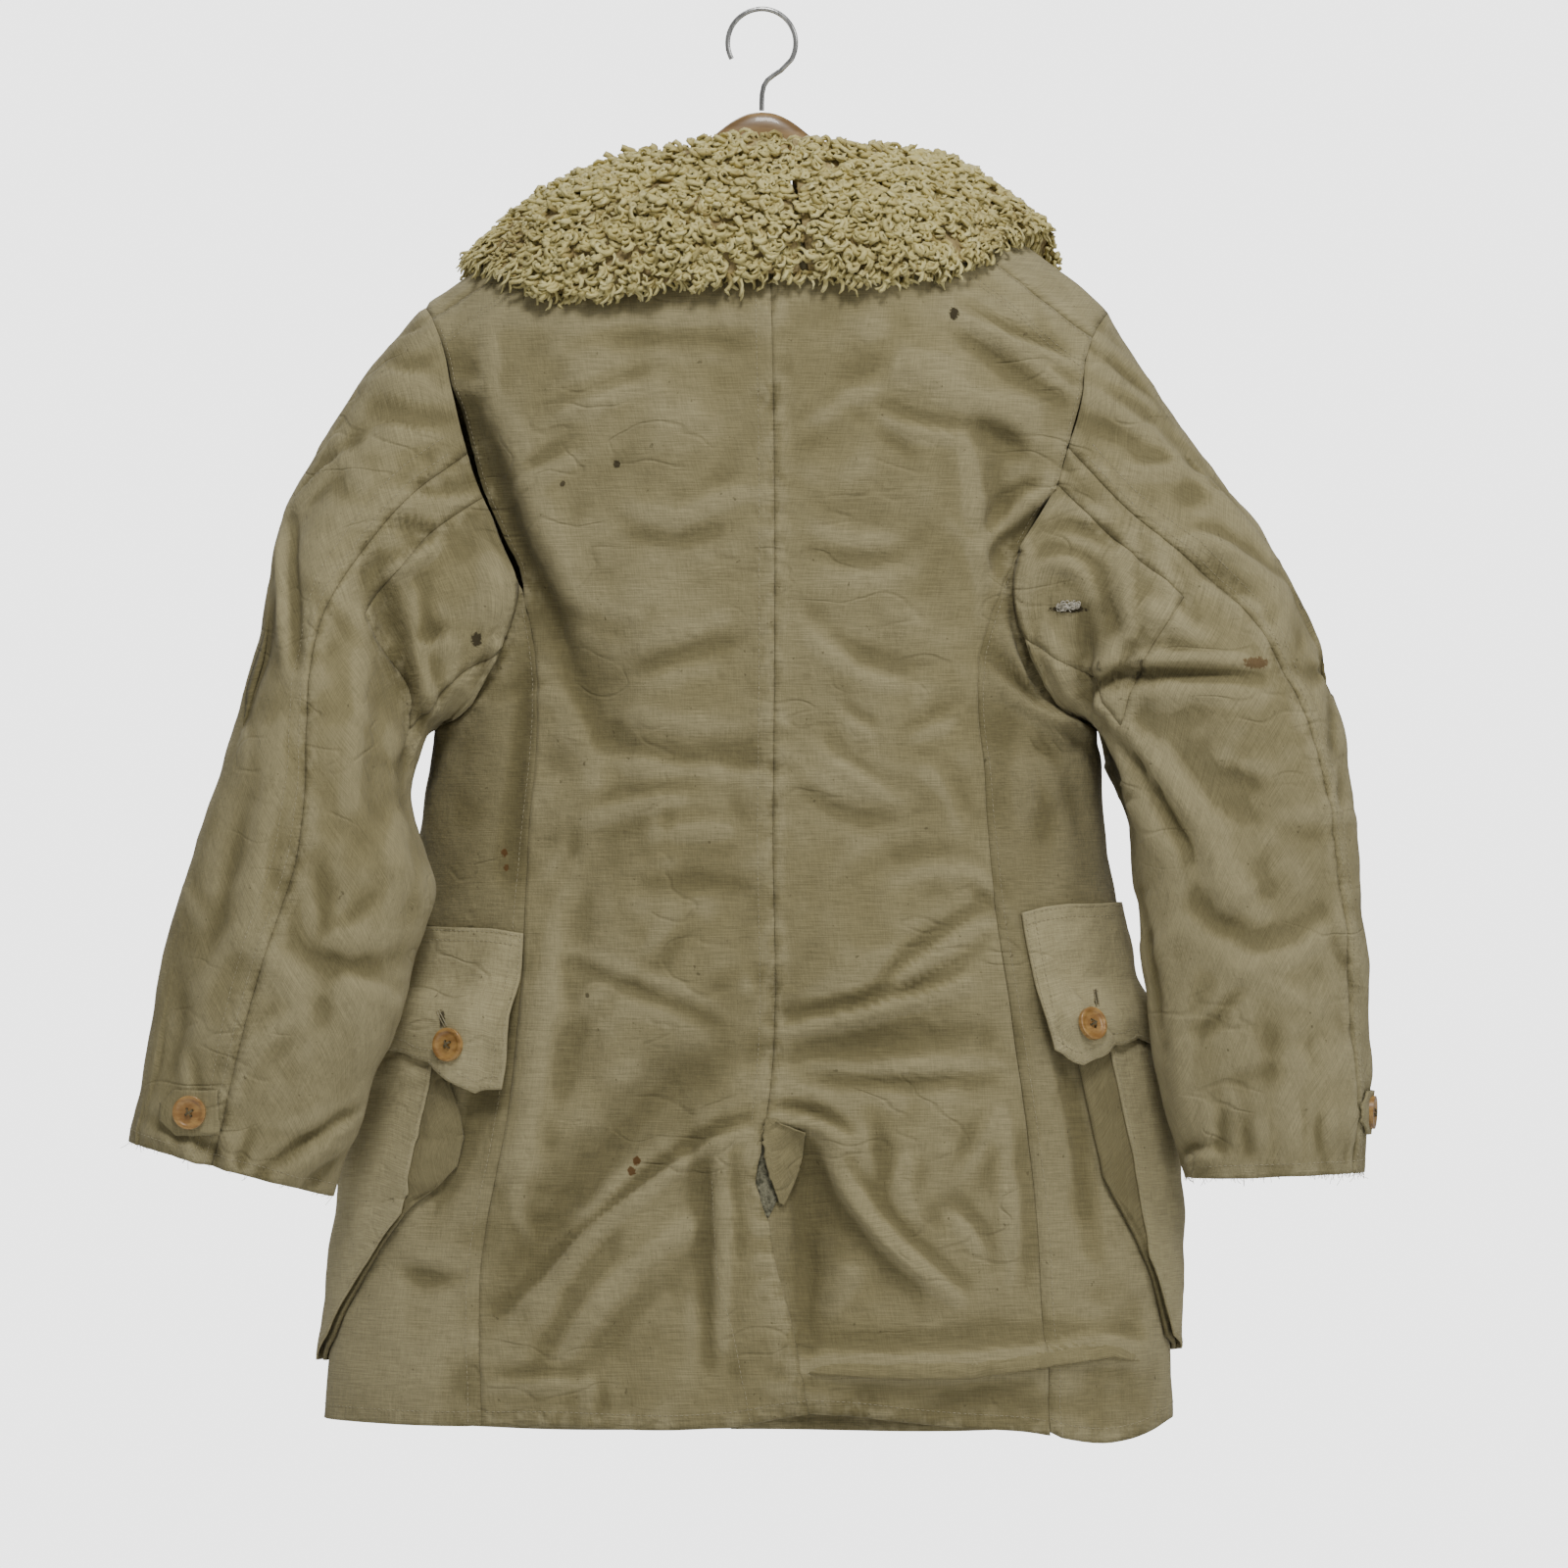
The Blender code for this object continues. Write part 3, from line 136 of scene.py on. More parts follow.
# Sleeve rings, each seen from the back: outer x, outer drop, inner x, inner drop, centre y,
# half-depth, bow toward the armhole's own shape, twist in degrees
SLEEVE = {"left": np.array([(-236.6, 205.3, -229.5, 502.0, 0, 50, 1.00, 0),
    (-275.4, 251.6, -246.0, 511.0, -6, 58, 0.80, 0), (-309.4, 306.0, -252.0, 529.0, -17, 62, 0.56, 2),
    (-332.5, 357.0, -251.0, 550.0, -32, 62, 0.32, 4), (-346.1, 408.0, -243.0, 569.0, -50, 59, 0.12, 8),
    (-357.0, 459.0, -232.0, 589.0, -68, 55, 0.00, 12), (-368.6, 513.4, -226.0, 614.0, -80, 52, 0.00, 16),
    (-382.8, 561.0, -231.9, 643.0, -85, 50, 0.00, 20), (-399.2, 612.0, -242.8, 680.0, -87, 49, 0.00, 20),
    (-414.1, 659.6, -256.4, 721.0, -84, 48, 0.00, 20), (-422.3, 710.6, -272.7, 755.0, -80, 47, 0.00, 20),
    (-429.8, 754.8, -285.6, 792.0, -77, 46, 0.00, 20), (-435.9, 788.8, -297.2, 825.5, -75, 44, 0.00,
    20),], float), "right": np.array([(242.8, 210.8, 234.5, 500.0, 0, 50, 1.00, 0),
    (280.8, 272.0, 254.0, 511.0, -8, 56, 0.78, 0), (314.8, 319.6, 260.0, 535.0, -20, 59, 0.50, -2),
    (348.8, 363.8, 259.0, 565.0, -34, 57, 0.26, -5), (374.0, 408.0, 256.4, 598.0, -50, 53, 0.08, -9),
    (391.0, 452.0, 259.1, 629.0, -56, 52, 0.00, -12), (403.2, 503.0, 262.5, 660.0, -60, 51, 0.00, -15),
    (410.7, 557.6, 265.9, 685.0, -61, 50, 0.00, -18), (416.8, 612.0, 270.6, 714.0, -61, 49, 0.00, -20),
    (421.6, 666.0, 275.4, 745.0, -60, 48, 0.00, -22), (422.3, 717.0, 280.8, 772.0, -58, 47, 0.00, -24),
    (420.9, 765.0, 286.5, 794.0, -56, 46, 0.00, -25), (418.2, 810.0, 293.0, 814.0, -55, 44, 0.00, -25),],
    float),}

# Largest folds of the back: start x, drop; bend x, drop; end x, drop; half-width, push outward
BACK_FOLDS = np.array([(-219, 250, -178, 350, -150, 515, 24, -9),
    (-128, 440, -100, 480, -105, 530, 20, -5), (-60, 300, -70, 520, -40, 700, 34, 4),
    (85, 228, 150, 300, 215, 280, 18, 5), (152, 310, 178, 372, 160, 446, 20, -8),
    (60, 560, 70, 700, 95, 850, 32, 5), (-150, 894, -60, 800, 3, 774, 20, 6),
    (5, 776, 40, 800, 55, 860, 18, -6), (50, 785, 100, 840, 130, 900, 20, 6),
    (30, 955, 130, 953, 262, 945, 16, 6), (-150, 600, -110, 700, -130, 850, 26, -5),], float)

# Largest folds of a sleeve: first ring, column, last ring, column, half-width in cells, push
SLEEVE_FOLDS = {"left": np.array([(1.0, 5.0, 6.5, 6.5, 1.1, -8), (2.0, 2.0, 5.0, 3.0, 1.0, 6),
    (7.0, 2.0, 9.0, 7.0, 0.9, -4), (11.5, 6.0, 14.0, 9.0, 0.8, 5), (14.0, 1.0, 15.5, 6.0, 0.7, -4),],
    float), "right": np.array([(4.0, 7.0, 10.0, 6.0, 1.0, -7), (6.0, 1.0, 6.5, 6.0, 0.7, -5),
    (2.0, 5.0, 5.0, 7.5, 0.9, 5), (11.0, 5.0, 14.0, 2.0, 0.8, -4), (14.0, 2.0, 15.5, 6.0, 0.7, 4),],
    float),}
SLEEVE_SOLID_ROWS = 16.0

# Collar stations of the right half: neckline x, reach; outer edge x, reach; fleece thickness, stand
COLLAR_TABLES = {"right": np.array([(21, -34, 33, -104, 27, 39), (38, -33, 64, -101, 29, 38),
    (53, -31, 98, -88, 30, 34), (63, -22, 130, -68, 30, 27), (70, -13, 152, -48, 29, 25),
    (75, -2, 168, -26, 28, 24), (77, 10, 184, -4, 36, 26), (78, 24, 194, 20, 44, 27),
    (72, 46, 194, 58, 42, 27), (58, 70, 168, 104, 34, 26), (40, 86, 124, 146, 28, 25),
    (25, 96, 78, 178, 24, 23),], float), "left": np.array([(17, -34, 27, -104, 27, 39),
    (-8, -34, -14, -106, 28, 39), (-32, -33, -60, -104, 30, 38), (-52, -30, -104, -94, 30, 33),
    (-63, -21, -140, -76, 30, 27), (-70, -13, -164, -56, 29, 24), (-74, -2, -184, -30, 27, 22),
    (-76, 10, -196, -8, 28, 22), (-77, 24, -198, 18, 30, 23), (-71, 46, -186, 58, 31, 24),
    (-58, 70, -154, 100, 30, 24), (-40, 86, -114, 142, 28, 23), (-25, 96, -74, 174, 24, 22),], float),}
COLLAR_SEAT = ((-25, -10, 50, 70), (1.2, 4.5, 4.5, 9.0))
COLLAR_LIFT = ((-25, -10, 50, 70), (3.2, 7.0, 7.0, 11.0))
COLLAR_RISE = ((-25, 40, 60), (1.5, 2.0, 11.0))

# Pocket, by column of the body's grid from the back edge: column, bellows top, bottom
POCKETS = {"left": np.array([(9, 786, 806), (10, 712, 838), (11, 706, 880), (12, 706, 926),
    (13, 706, 944), (14, 706, 944), (18, 706, 944)], float),
    "right": np.array([(10, 730, 812), (11, 706, 870), (12, 706, 925), (13, 706, 936), (14, 706, 938),
    (18, 706, 938)], float),}
# Flap over the pocket: column, top drop, bottom drop
FLAPS = {"left": np.array([(8, 644, 752), (9, 641, 752), (10, 640, 736), (11, 640, 728), (12, 640, 726),
    (13, 640, 734), (14, 640, 744), (15, 640, 734), (16, 640, 728), (18, 640, 728)], float),
    "right": np.array([(9, 630, 726), (10, 626, 736), (11, 624, 724), (12, 624, 720), (13, 624, 730),
    (14, 624, 742), (15, 624, 730), (16, 624, 724), (18, 624, 724)], float),}
BELLOWS_LIFT = 1.2
BELLOWS_DEPTH = 6.0
FLAP_CLOTH = 2.2
# How far a flap lies off the cloth above the bag and over it, and where the bag begins
FLAP_REST = 1.4
FLAP_RISEN = 11.0
BAG_TOP_DROP = 672.0
BAG_SLOPE = 34.0

VENT_STRIP_END = 966.0
# Points round the collar's profile, the first of those under the fleece, and the last
COLLAR_POINTS = 13.0
FLEECE_FIRST = 0.6
FLEECE_LAST = 9.0


class Region(Enum):
    """Parts of the cloth that a crease may press."""

    BODY = 1
    LEFT_SLEEVE = 2
    RIGHT_SLEEVE = 4


def smooth(table: np.ndarray, column: int, at: np.ndarray | float) -> np.ndarray:
    """Read a table's column at a key of its first column, along a smooth cubic.

    Args:
        table: rows with the keys in the first column.
        column: the column to read.
        at: the keys wanted.

    Returns:
        The values at those keys.
    """
    keys = table[:, 0]
    values = table[:, column]
    slopes = np.gradient(values, keys)
    at = np.clip(np.asarray(at, float), keys[0], keys[-1])
    i = np.clip(np.searchsorted(keys, at, side="right") - 1, 0, len(keys) - 2)
    span = keys[i + 1] - keys[i]
    t = (at - keys[i]) / span
    return (values[i] * (1 + 2 * t) * (1 - t) ** 2 + values[i + 1] * t * t * (3 - 2 * t) + span *
        slopes[i] * t * (1 - t) ** 2 - span * slopes[i + 1] * t * t * (1 - t))


def ease(share: np.ndarray) -> np.ndarray:
    """Return shares from 0 to 1 with soft ends."""
    share = np.clip(share, 0.0, 1.0)
    return share * share * (3.0 - 2.0 * share)


def lengths(points: np.ndarray) -> np.ndarray:
    """Return the distance along a path to each of its points, as fractions of the whole."""
    steps = np.linalg.norm(np.diff(points, axis=0), axis=1)
    total = np.concatenate([[0.0], np.cumsum(steps)])
    return total / total[-1]


def along(points: np.ndarray, fractions: np.ndarray) -> np.ndarray:
    """Return points at fractions of a path's length, on a smooth curve through its points."""
    keyed = np.column_stack([lengths(points), points])
    return np.column_stack([smooth(keyed, k, fractions) for k in range(1, keyed.shape[1])])


def unit(vectors: np.ndarray) -> np.ndarray:
    """Return vectors brought to length one."""
    return vectors / np.maximum(np.linalg.norm(vectors, axis=-1, keepdims=True), 1e-9)


def seen(px: float, py: float) -> tuple[float, float]:
    """Return x and drop of a place that the picture shows, in its own 0.68 mm steps."""
    return (px - SEEN_CENTRE) * SEEN_STEP, py * SEEN_STEP - SEEN_TOP


def bezier(row: np.ndarray, count: int) -> np.ndarray:
    """Return points on the curve from a start past a bend to an end, given as six numbers."""
    t = np.linspace(0.0, 1.0, count)[:, None]
    start, bend, end = row[0:2], row[2:4], row[4:6]
    return (1 - t) ** 2 * start + 2 * t * (1 - t) * bend + t * t * end


class BodyForm:
    """The body's round: sections, shoulder ridge and large folds, as the solids have them."""

    @staticmethod
    def ridge(x: np.ndarray) -> np.ndarray:
        """Return the drop of the shoulder ridge at x."""
        return smooth(RIDGE, 1, x)

    @staticmethod
    def half_width(x: np.ndarray, drop: np.ndarray) -> np.ndarray:
        """Return the half-width of the body on the side that x lies on."""
        return np.where(np.asarray(x) < 0, smooth(BODY, 1, drop), smooth(BODY, 2, drop))

    @staticmethod
    def half_depth(side: np.ndarray, drop: np.ndarray) -> np.ndarray:
        """Return the half-depth of the back, for a side below zero, or of the front."""
        return np.where(np.asarray(side) < 0, smooth(BODY, 3, drop), smooth(BODY, 4, drop))

    @classmethod
    def reach_at(cls, x: np.ndarray, drop: np.ndarray, side: np.ndarray | float) -> np.ndarray:
        """Return the signed distance from the ridge of the point at x and drop on one side."""
        below = np.maximum(np.asarray(drop, float) - cls.ridge(x), 0.0) + SHOULDER_ROUND
        return side * np.sqrt(below ** 2 - SHOULDER_ROUND ** 2)

    @classmethod
    def drop_at(cls, x: np.ndarray, reach: np.ndarray) -> np.ndarray:
        """Return the drop of the point that lies at a signed distance from the ridge."""
        return cls.ridge(x) + np.hypot(reach, SHOULDER_ROUND) - SHOULDER_ROUND

    @classmethod
    def point(cls, x: np.ndarray, drop: np.ndarray, reach: np.ndarray) -> np.ndarray:
        """Return body points with the section's roundness at x and the shoulder's at the reach."""
        q = np.clip(np.abs(x) / cls.half_width(x, drop), 0.0, 1.0)
        full = (1.0 - q ** SECTION_POWER) ** (1.0 / SECTION_POWER)
        y = cls.half_depth(reach, drop) * full * reach / np.hypot(reach, SHOULDER_SPREAD)
        return np.stack([x, y, -drop], axis=-1)

    @classmethod
    def normal(cls, points: np.ndarray) -> np.ndarray:
        """Return outward directions of the body's sections, level with the floor."""
        x, y, drop = points[..., 0], points[..., 1], -points[..., 2]
        power = SECTION_POWER - 1.0
        wide, deep = cls.half_width(x, drop), cls.half_depth(y, drop)
        nx = np.sign(x) * np.abs(x / wide) ** power / wide
        ny = np.sign(y) * np.abs(y / deep) ** power / deep
        return unit(np.stack([nx, ny, np.zeros_like(x)], axis=-1))

    @staticmethod
    def fold_push(x: np.ndarray, drop: np.ndarray) -> np.ndarray:
        """Return the outward push of the back's large folds."""
        push = np.zeros_like(x)
        for row in BACK_FOLDS:
            line = bezier(row, 97)
            away = np.hypot(x[..., None] - line[:, 0], drop[..., None] - line[:, 1])
            where = np.argmin(away, axis=-1) / 96.0
            taper = 0.35 + 0.65 * np.sin(math.pi * np.clip(where, 0.04, 0.96))
            push += row[7] * taper * np.exp(-(np.min(away, axis=-1) / row[6]) ** 2)
        return push

    @classmethod
    def folded(cls, points: np.ndarray, reach: np.ndarray) -> np.ndarray:
        """Return body points with the large folds pressed into the back."""
        drop = -points[..., 2]
        fade = np.clip((drop - cls.ridge(points[..., 0]) - 6.0) / 30.0, 0.0, 1.0)
        back = np.clip(-reach / 40.0, 0.0, 1.0) * np.clip(-points[..., 1] / 30.0, 0.0, 1.0)
        push = cls.fold_push(points[..., 0], drop) * fade * back
        return points + cls.normal(points) * push[..., None]

    @classmethod
    def clear(cls, points: np.ndarray, clearance: float) -> np.ndarray:
        """Return points moved out to the body's back or from its middle where they press in."""
        x, y, drop = points[:, 0], points[:, 1], -points[:, 2]
        wide = cls.half_width(x, drop) + clearance
        deep = cls.half_depth(y, drop) + clearance
        q = np.clip(np.abs(x) / wide, 0.0, 1.0)
        limit = deep * (1.0 - q ** SECTION_POWER) ** (1.0 / SECTION_POWER)
        inside = (q < 1.0) & (drop > 440.0) & (np.abs(y) < limit)
        back_share = np.clip((-y - 10.0) / 40.0, 0.0, 1.0)
        moved = points.copy()
        moved[inside, 1] += (back_share * (-limit - y))[inside]
        size = (np.abs(moved[:, 0] / wide) ** SECTION_POWER + np.abs(
            moved[:, 1] / deep) ** SECTION_POWER) ** (1.0 / SECTION_POWER)
        moved[inside, :2] /= np.minimum(size, 1.0)[inside, None]
        return moved


@dataclass(frozen=True)
class CellCounts:
    """Rows and columns of cells along each stretch of the panels."""

    arm_back: int = 48
    arm_front: int = 49
    tip: int = 12
    under: int = 40
    body: int = 150
    neck: int = 42
    neck_columns: int = 14
    shoulder: int = 42
    sleeve: int = 132
    back_seam: int = 24
    front_seam: int = 95
    gusset_first: int = 32
    gusset_last: int = 56
    gusset_rows: int = 26


@dataclass
class PanelGrids:
    """Grids of points of the panels of one hand, worked out from the tables."""

    hand: str
    counts: CellCounts = field(default_factory=CellCounts)

    @property
    def sign(self) -> float:
        """Return -1 for the left hand and 1 for the right, as seen from behind."""
        return -1.0 if self.hand == "left" else 1.0

    @staticmethod
    def patch(left: np.ndarray, right: np.ndarray, top: np.ndarray, bottom: np.ndarray) -> np.ndarray:
        """Fill four edges with a grid of points.

        Args:
            left: the first column's points, from top to bottom.
            right: the last column's points.
            top: the first row's points, from left to right.
            bottom: the last row's points.

        Returns:
            The grid, rows from top to bottom.
        """
        rows, columns = len(left), len(top)
        v = lengths(0.5 * (left + right))[:, None, None]
        u = (0.5 * (lengths(top) + lengths(bottom)))[None, :, None]
        sides = (1 - u) * left[:, None] + u * right[:, None]
        ends = (1 - v) * top[None] + v * bottom[None]
        corners = ((1 - u) * (1 - v) * left[0] + u * (1 - v) * right[0] + (1 - u) * v * left[-1] + u * v
            * right[-1])
        return (sides + ends - corners).reshape(rows, columns, 2)

    def armhole_marks(self) -> tuple[float, float]:
        """Return fractions along the armhole at the shoulder seam's end and side seam's start."""
        marks = lengths(ARMHOLE[self.hand])
        return marks[SHOULDER_SEAM_END], marks[SIDE_SEAM_START]

    def arm_back_edge(self) -> np.ndarray:
        """Return the back part of the armhole as x and reach."""
        first, last = self.armhole_marks()
        edge = along(ARMHOLE[self.hand], np.linspace(first, last, self.counts.arm_back + 1))
        return np.column_stack([edge[:, 0], BodyForm.reach_at(edge[:, 0], edge[:, 1], -1.0)])

    def arm_front_edge(self) -> np.ndarray:
        """Return the armhole over the tip and down the front, as x and reach."""
        first, last = self.armhole_marks()
        over = along(ARMHOLE[self.hand], np.linspace(first, 0.0, self.counts.tip + 1))[:-1]
        down = along(ARMHOLE[self.hand], np.linspace(0.0, last, self.counts.arm_front + 1))
        return np.vstack([np.column_stack([over[:, 0], BodyForm.reach_at(over[:, 0], over[:, 1], -1.0)]),
            np.column_stack([down[:, 0], BodyForm.reach_at(down[:, 0], down[:, 1], 1.0)]),])

    def side_seam_edge(self, side: float) -> np.ndarray:
        """Return a side seam below the armhole as x and reach."""
        share = np.linspace(0.0, 1.0, self.counts.body + 1)
        seam = along(SIDE_SEAM[self.hand], share)
        if side > 0:
            seam[:, 1] += share ** 3 * (smooth(HEM_FRONT, 1, seam[-1, 0]) - seam[-1, 1])
        return np.column_stack([seam[:, 0], BodyForm.reach_at(seam[:, 0], seam[:, 1], side)])

    def shoulder_edge(self) -> np.ndarray:
        """Return the set-back shoulder seam as x and reach."""
        seam = along(SHOULDER_SEAM[self.hand], np.linspace(0.0, 1.0, self.counts.shoulder + 1))
        return np.column_stack([seam[:, 0], BodyForm.reach_at(seam[:, 0], seam[:, 1], -1.0)])

    @staticmethod
    def hem_edge(x_from: float, x_to: float, columns: int, table: np.ndarray, side: float) -> np.ndarray:
        """Return part of the hem as x and reach."""
        x = np.linspace(x_from, x_to, columns + 1)
        return np.column_stack([x, BodyForm.reach_at(x, smooth(table, 1, x), side)])

    def back(self) -> np.ndarray:
        """Return the back panel's points, from the centre seam to the armhole and side seam."""
        n = self.counts
        outer = np.vstack([self.arm_back_edge(), self.side_seam_edge(-1.0)[1:]])
        seam = self.shoulder_edge()
        neck = np.column_stack([np.linspace(CENTRE_LINE[0, 1], seam[0, 0], n.neck_columns + 1),
            np.linspace(-36.0, seam[0, 1], n.neck_columns + 1)])[:-1]
        top = np.vstack([neck, seam])
        hem_x = CENTRE_LINE[-1, 1]
        drops = np.concatenate([np.linspace(BodyForm.drop_at(neck[0, 0], neck[0, 1]), 345.0,
            n.arm_back + 1)[:-1], np.linspace(345.0, smooth(HEM_BACK, 1, hem_x), n.body + 1)])
        centre_x = smooth(CENTRE_LINE, 1, drops)
        centre_x[0] = neck[0, 0]
        inner = np.column_stack([centre_x, BodyForm.reach_at(centre_x, drops, -1.0)])
        bottom = self.hem_edge(inner[-1, 0], outer[-1, 0], len(top) - 1, HEM_BACK, -1.0)
        grid = self.patch(inner, outer, top, bottom)
        x, reach = grid[..., 0], grid[..., 1]
        return BodyForm.folded(BodyForm.point(x, BodyForm.drop_at(x, reach), reach), reach)

    def front(self) -> np.ndarray:
        """Return the front panel's points, from the front edge to the armhole and side seam."""
        n = self.counts
        outer = np.vstack([self.arm_front_edge(), self.side_seam_edge(1.0)[1:]])
        seam = self.shoulder_edge()
        marks = np.vstack([NECKLINE * (self.sign, 1.0), [(-self.sign * FRONT_LAP, NECKLINE_END_REACH)]])
        marks[0] = seam[0]
        neck = along(marks, np.linspace(0.0, 1.0, n.neck + 1))
        neck[0], edge_x = seam[0], neck[-1, 0]
        drops = np.linspace(BodyForm.drop_at(edge_x, neck[-1, 1]), smooth(HEM_FRONT, 1, edge_x),
            len(outer) - n.neck)[1:]
        edge = np.column_stack([np.full(len(drops), edge_x), BodyForm.reach_at(edge_x, drops, 1.0)])
        inner = np.vstack([neck, edge])
        bottom = self.hem_edge(edge_x, outer[-1, 0], n.shoulder, HEM_FRONT, 1.0)
        grid = self.patch(inner, outer, seam, bottom)
        x, reach = grid[..., 0], grid[..., 1]
        return BodyForm.folded(BodyForm.point(x, BodyForm.drop_at(x, reach), reach), reach)

    @staticmethod
    def turned(x: np.ndarray, drop: np.ndarray, side: float) -> np.ndarray:
        """Return body points as angles round the section, with their drops."""
        q = np.clip(np.abs(x) / BodyForm.half_width(x, drop), 0.0, 1.0)
        return np.column_stack([side * np.arccos(q ** (SECTION_POWER / 2)), drop])

    def side(self) -> np.ndarray:
        """Return the side panel's points, from the side-back seam to the side-front seam."""
        n = self.counts
        _, start = self.armhole_marks()
        half = along(ARMHOLE[self.hand], np.linspace(start, 1.0, n.under // 2 + 1))
        top = np.vstack([self.turned(half[:, 0], half[:, 1], -1.0),
            self.turned(half[::-1, 0], half[::-1, 1], 1.0)[1:]])
        top[n.under // 2, 0] = 0.0
        back, front = self.side_seam_edge(-1.0), self.side_seam_edge(1.0)
        left = self.turned(back[:, 0], BodyForm.drop_at(back[:, 0], back[:, 1]), -1.0)
        right = self.turned(front[:, 0], BodyForm.drop_at(front[:, 0], front[:, 1]), 1.0)
        angles = np.linspace(left[-1, 0], right[-1, 0], n.under + 1)
        hem_x = self.sign * smooth(BODY, 1 if self.hand == "left" else 2,
            985.0) * np.abs(np.cos(angles)) ** (2 / SECTION_POWER)
        hem = np.where(angles < 0, smooth(HEM_BACK, 1, hem_x), smooth(HEM_FRONT, 1, hem_x))
        hem[0], hem[-1] = left[-1, 1], right[-1, 1]
        grid = self.patch(left, right, top, np.column_stack([angles, hem]))
        angle, drop = grid[..., 0], grid[..., 1]
        x = self.sign * BodyForm.half_width(self.sign,
            drop) * np.abs(np.cos(angle)) ** (2 / SECTION_POWER)
        reach = np.where(angle < 0, -1.0, 1.0) * np.abs(BodyForm.reach_at(x, drop, 1.0))
        return BodyForm.folded(BodyForm.point(x, drop, reach), reach)

    def armhole_loop(self) -> tuple[np.ndarray, np.ndarray]:
        """Return the armhole as one loop of points, with each point's angle round the ring."""
        n = self.counts
        first, start = self.armhole_marks()
        back = np.linspace(first, start, n.arm_back + 1)
        under = np.linspace(start, 1.0, n.under // 2 + 1)[1:]
        front = np.linspace(start, 0.0, n.arm_front + 1)[1:]
        tip = np.linspace(0.0, first, n.tip + 1)[1:-1]
        marks = np.concatenate([back, under, under[::-1][1:], [start], front, tip])
        side = np.concatenate([np.full(len(back) + len(under), -1.0),
            np.full(len(under) + len(front), 1.0), np.full(len(tip), -1.0)])
        flat = along(ARMHOLE[self.hand], marks)
        reach = BodyForm.reach_at(flat[:, 0], flat[:, 1], side)
        points = BodyForm.folded(BodyForm.point(flat[:, 0], flat[:, 1], reach), reach)
        angles = np.where(side < 0, math.pi * marks, 2 * math.pi - math.pi * marks)
        angles[-len(tip):] += 2 * math.pi
        angles[angles > 2 * math.pi] -= 2 * math.pi
        return points, angles

    def solid_columns(self) -> np.ndarray:
        """Return each ring column's number in the solids' own coarser count."""
        n = self.counts
        ends = (0.0, 6.0, 16.0, 23.0, 25.0)
        cells = (n.arm_back, n.under, n.arm_front, n.tip)
        parts = [np.linspace(a, b, count, endpoint=False) for a, b, count in zip(ends, ends[1:], cells)]
        return np.concatenate(parts)

    def sleeve(self) -> np.ndarray:
        """Return the sleeve's points: a row for each ring, from the armhole to the cuff."""
        rings = SLEEVE[self.hand]
        loop, angles = self.armhole_loop()
        keyed = np.column_stack([np.arange(len(rings)), rings])
        columns = self.solid_columns()

        def ellipse(at: float, turn: float) -> np.ndarray:
            """Return one ring's ellipse, turned about its own middle."""
            ox, od, ix, idrop, cy, half = (smooth(keyed, k, at) for k in range(1, 7))
            centre = np.array([(ox + ix) / 2, cy, -(od + idrop) / 2])
            arm = np.array([(ox - ix) / 2, 0.0, -(od - idrop) / 2])
            a = angles + turn
            return (centre + np.cos(a)[:, None] * arm - np.sin(a)[:, None] * np.array([0, half, 0]))

        first = ellipse(0.0, 0.0)
        rows = [loop]
        for i in range(1, self.counts.sleeve + 1):
            share = i / self.counts.sleeve
            at = share * (len(rings) - 1.0)
            ring = ellipse(at, math.radians(float(smooth(keyed, 8, at))))
            ring = ring + smooth(keyed, 7, at) * (loop - first)
            ring = self.pressed(ring, share * SLEEVE_SOLID_ROWS, columns)
            rows.append(BodyForm.clear(ring, SLEEVE_CLEARANCE))
        return self.eased(np.array(rows))

    def eased(self, grid: np.ndarray) -> np.ndarray:
        """Return the sleeve with its cells under the arm evened out, clear of sharp turns."""
        n = self.counts
        last = round(n.sleeve * 0.36)
        first_column, last_column = n.arm_back + round(n.under * 0.3), n.arm_back + n.under + 6
        rows = ease(np.minimum(np.arange(last) / 6.0, (last - np.arange(last)) / 14.0))
        column = np.arange(first_column, last_column)
        columns = ease(np.minimum(column - first_column, last_column - column) / 8.0)
        share = (rows[:, None] * columns[None])[..., None]
        for _ in range(40):
            around = np.roll(grid, 1, axis=1) + np.roll(grid, -1, axis=1)
            mean = (grid[:-2] + grid[2:] + around[1:-1]) / 4.0
            area = grid[1:last, first_column:last_column]
            area += 0.6 * share[1:] * (mean[:last - 1, first_column:last_column] - area)
        return grid

    def pressed(self, ring: np.ndarray, row: float, columns: np.ndarray) -> np.ndarray:
        """Return one ring with the sleeve's large folds pressed into it."""
        away = unit(ring - ring.mean(axis=0))
        push = np.zeros(len(ring))
        for r0, c0, r1, c1, half, depth in SLEEVE_FOLDS[self.hand]:
            t = min(max((row - r0) / (r1 - r0), 0.0), 1.0)
            beyond = max(r0 - row, row - r1, 0.0)
            half = math.hypot(half, 0.75 * (c1 - c0) / (r1 - r0))
            push += depth * np.exp(-((columns - (c0 + t * (c1 - c0))) / half) ** 2 - beyond ** 2)
        return ring + away * push[:, None]


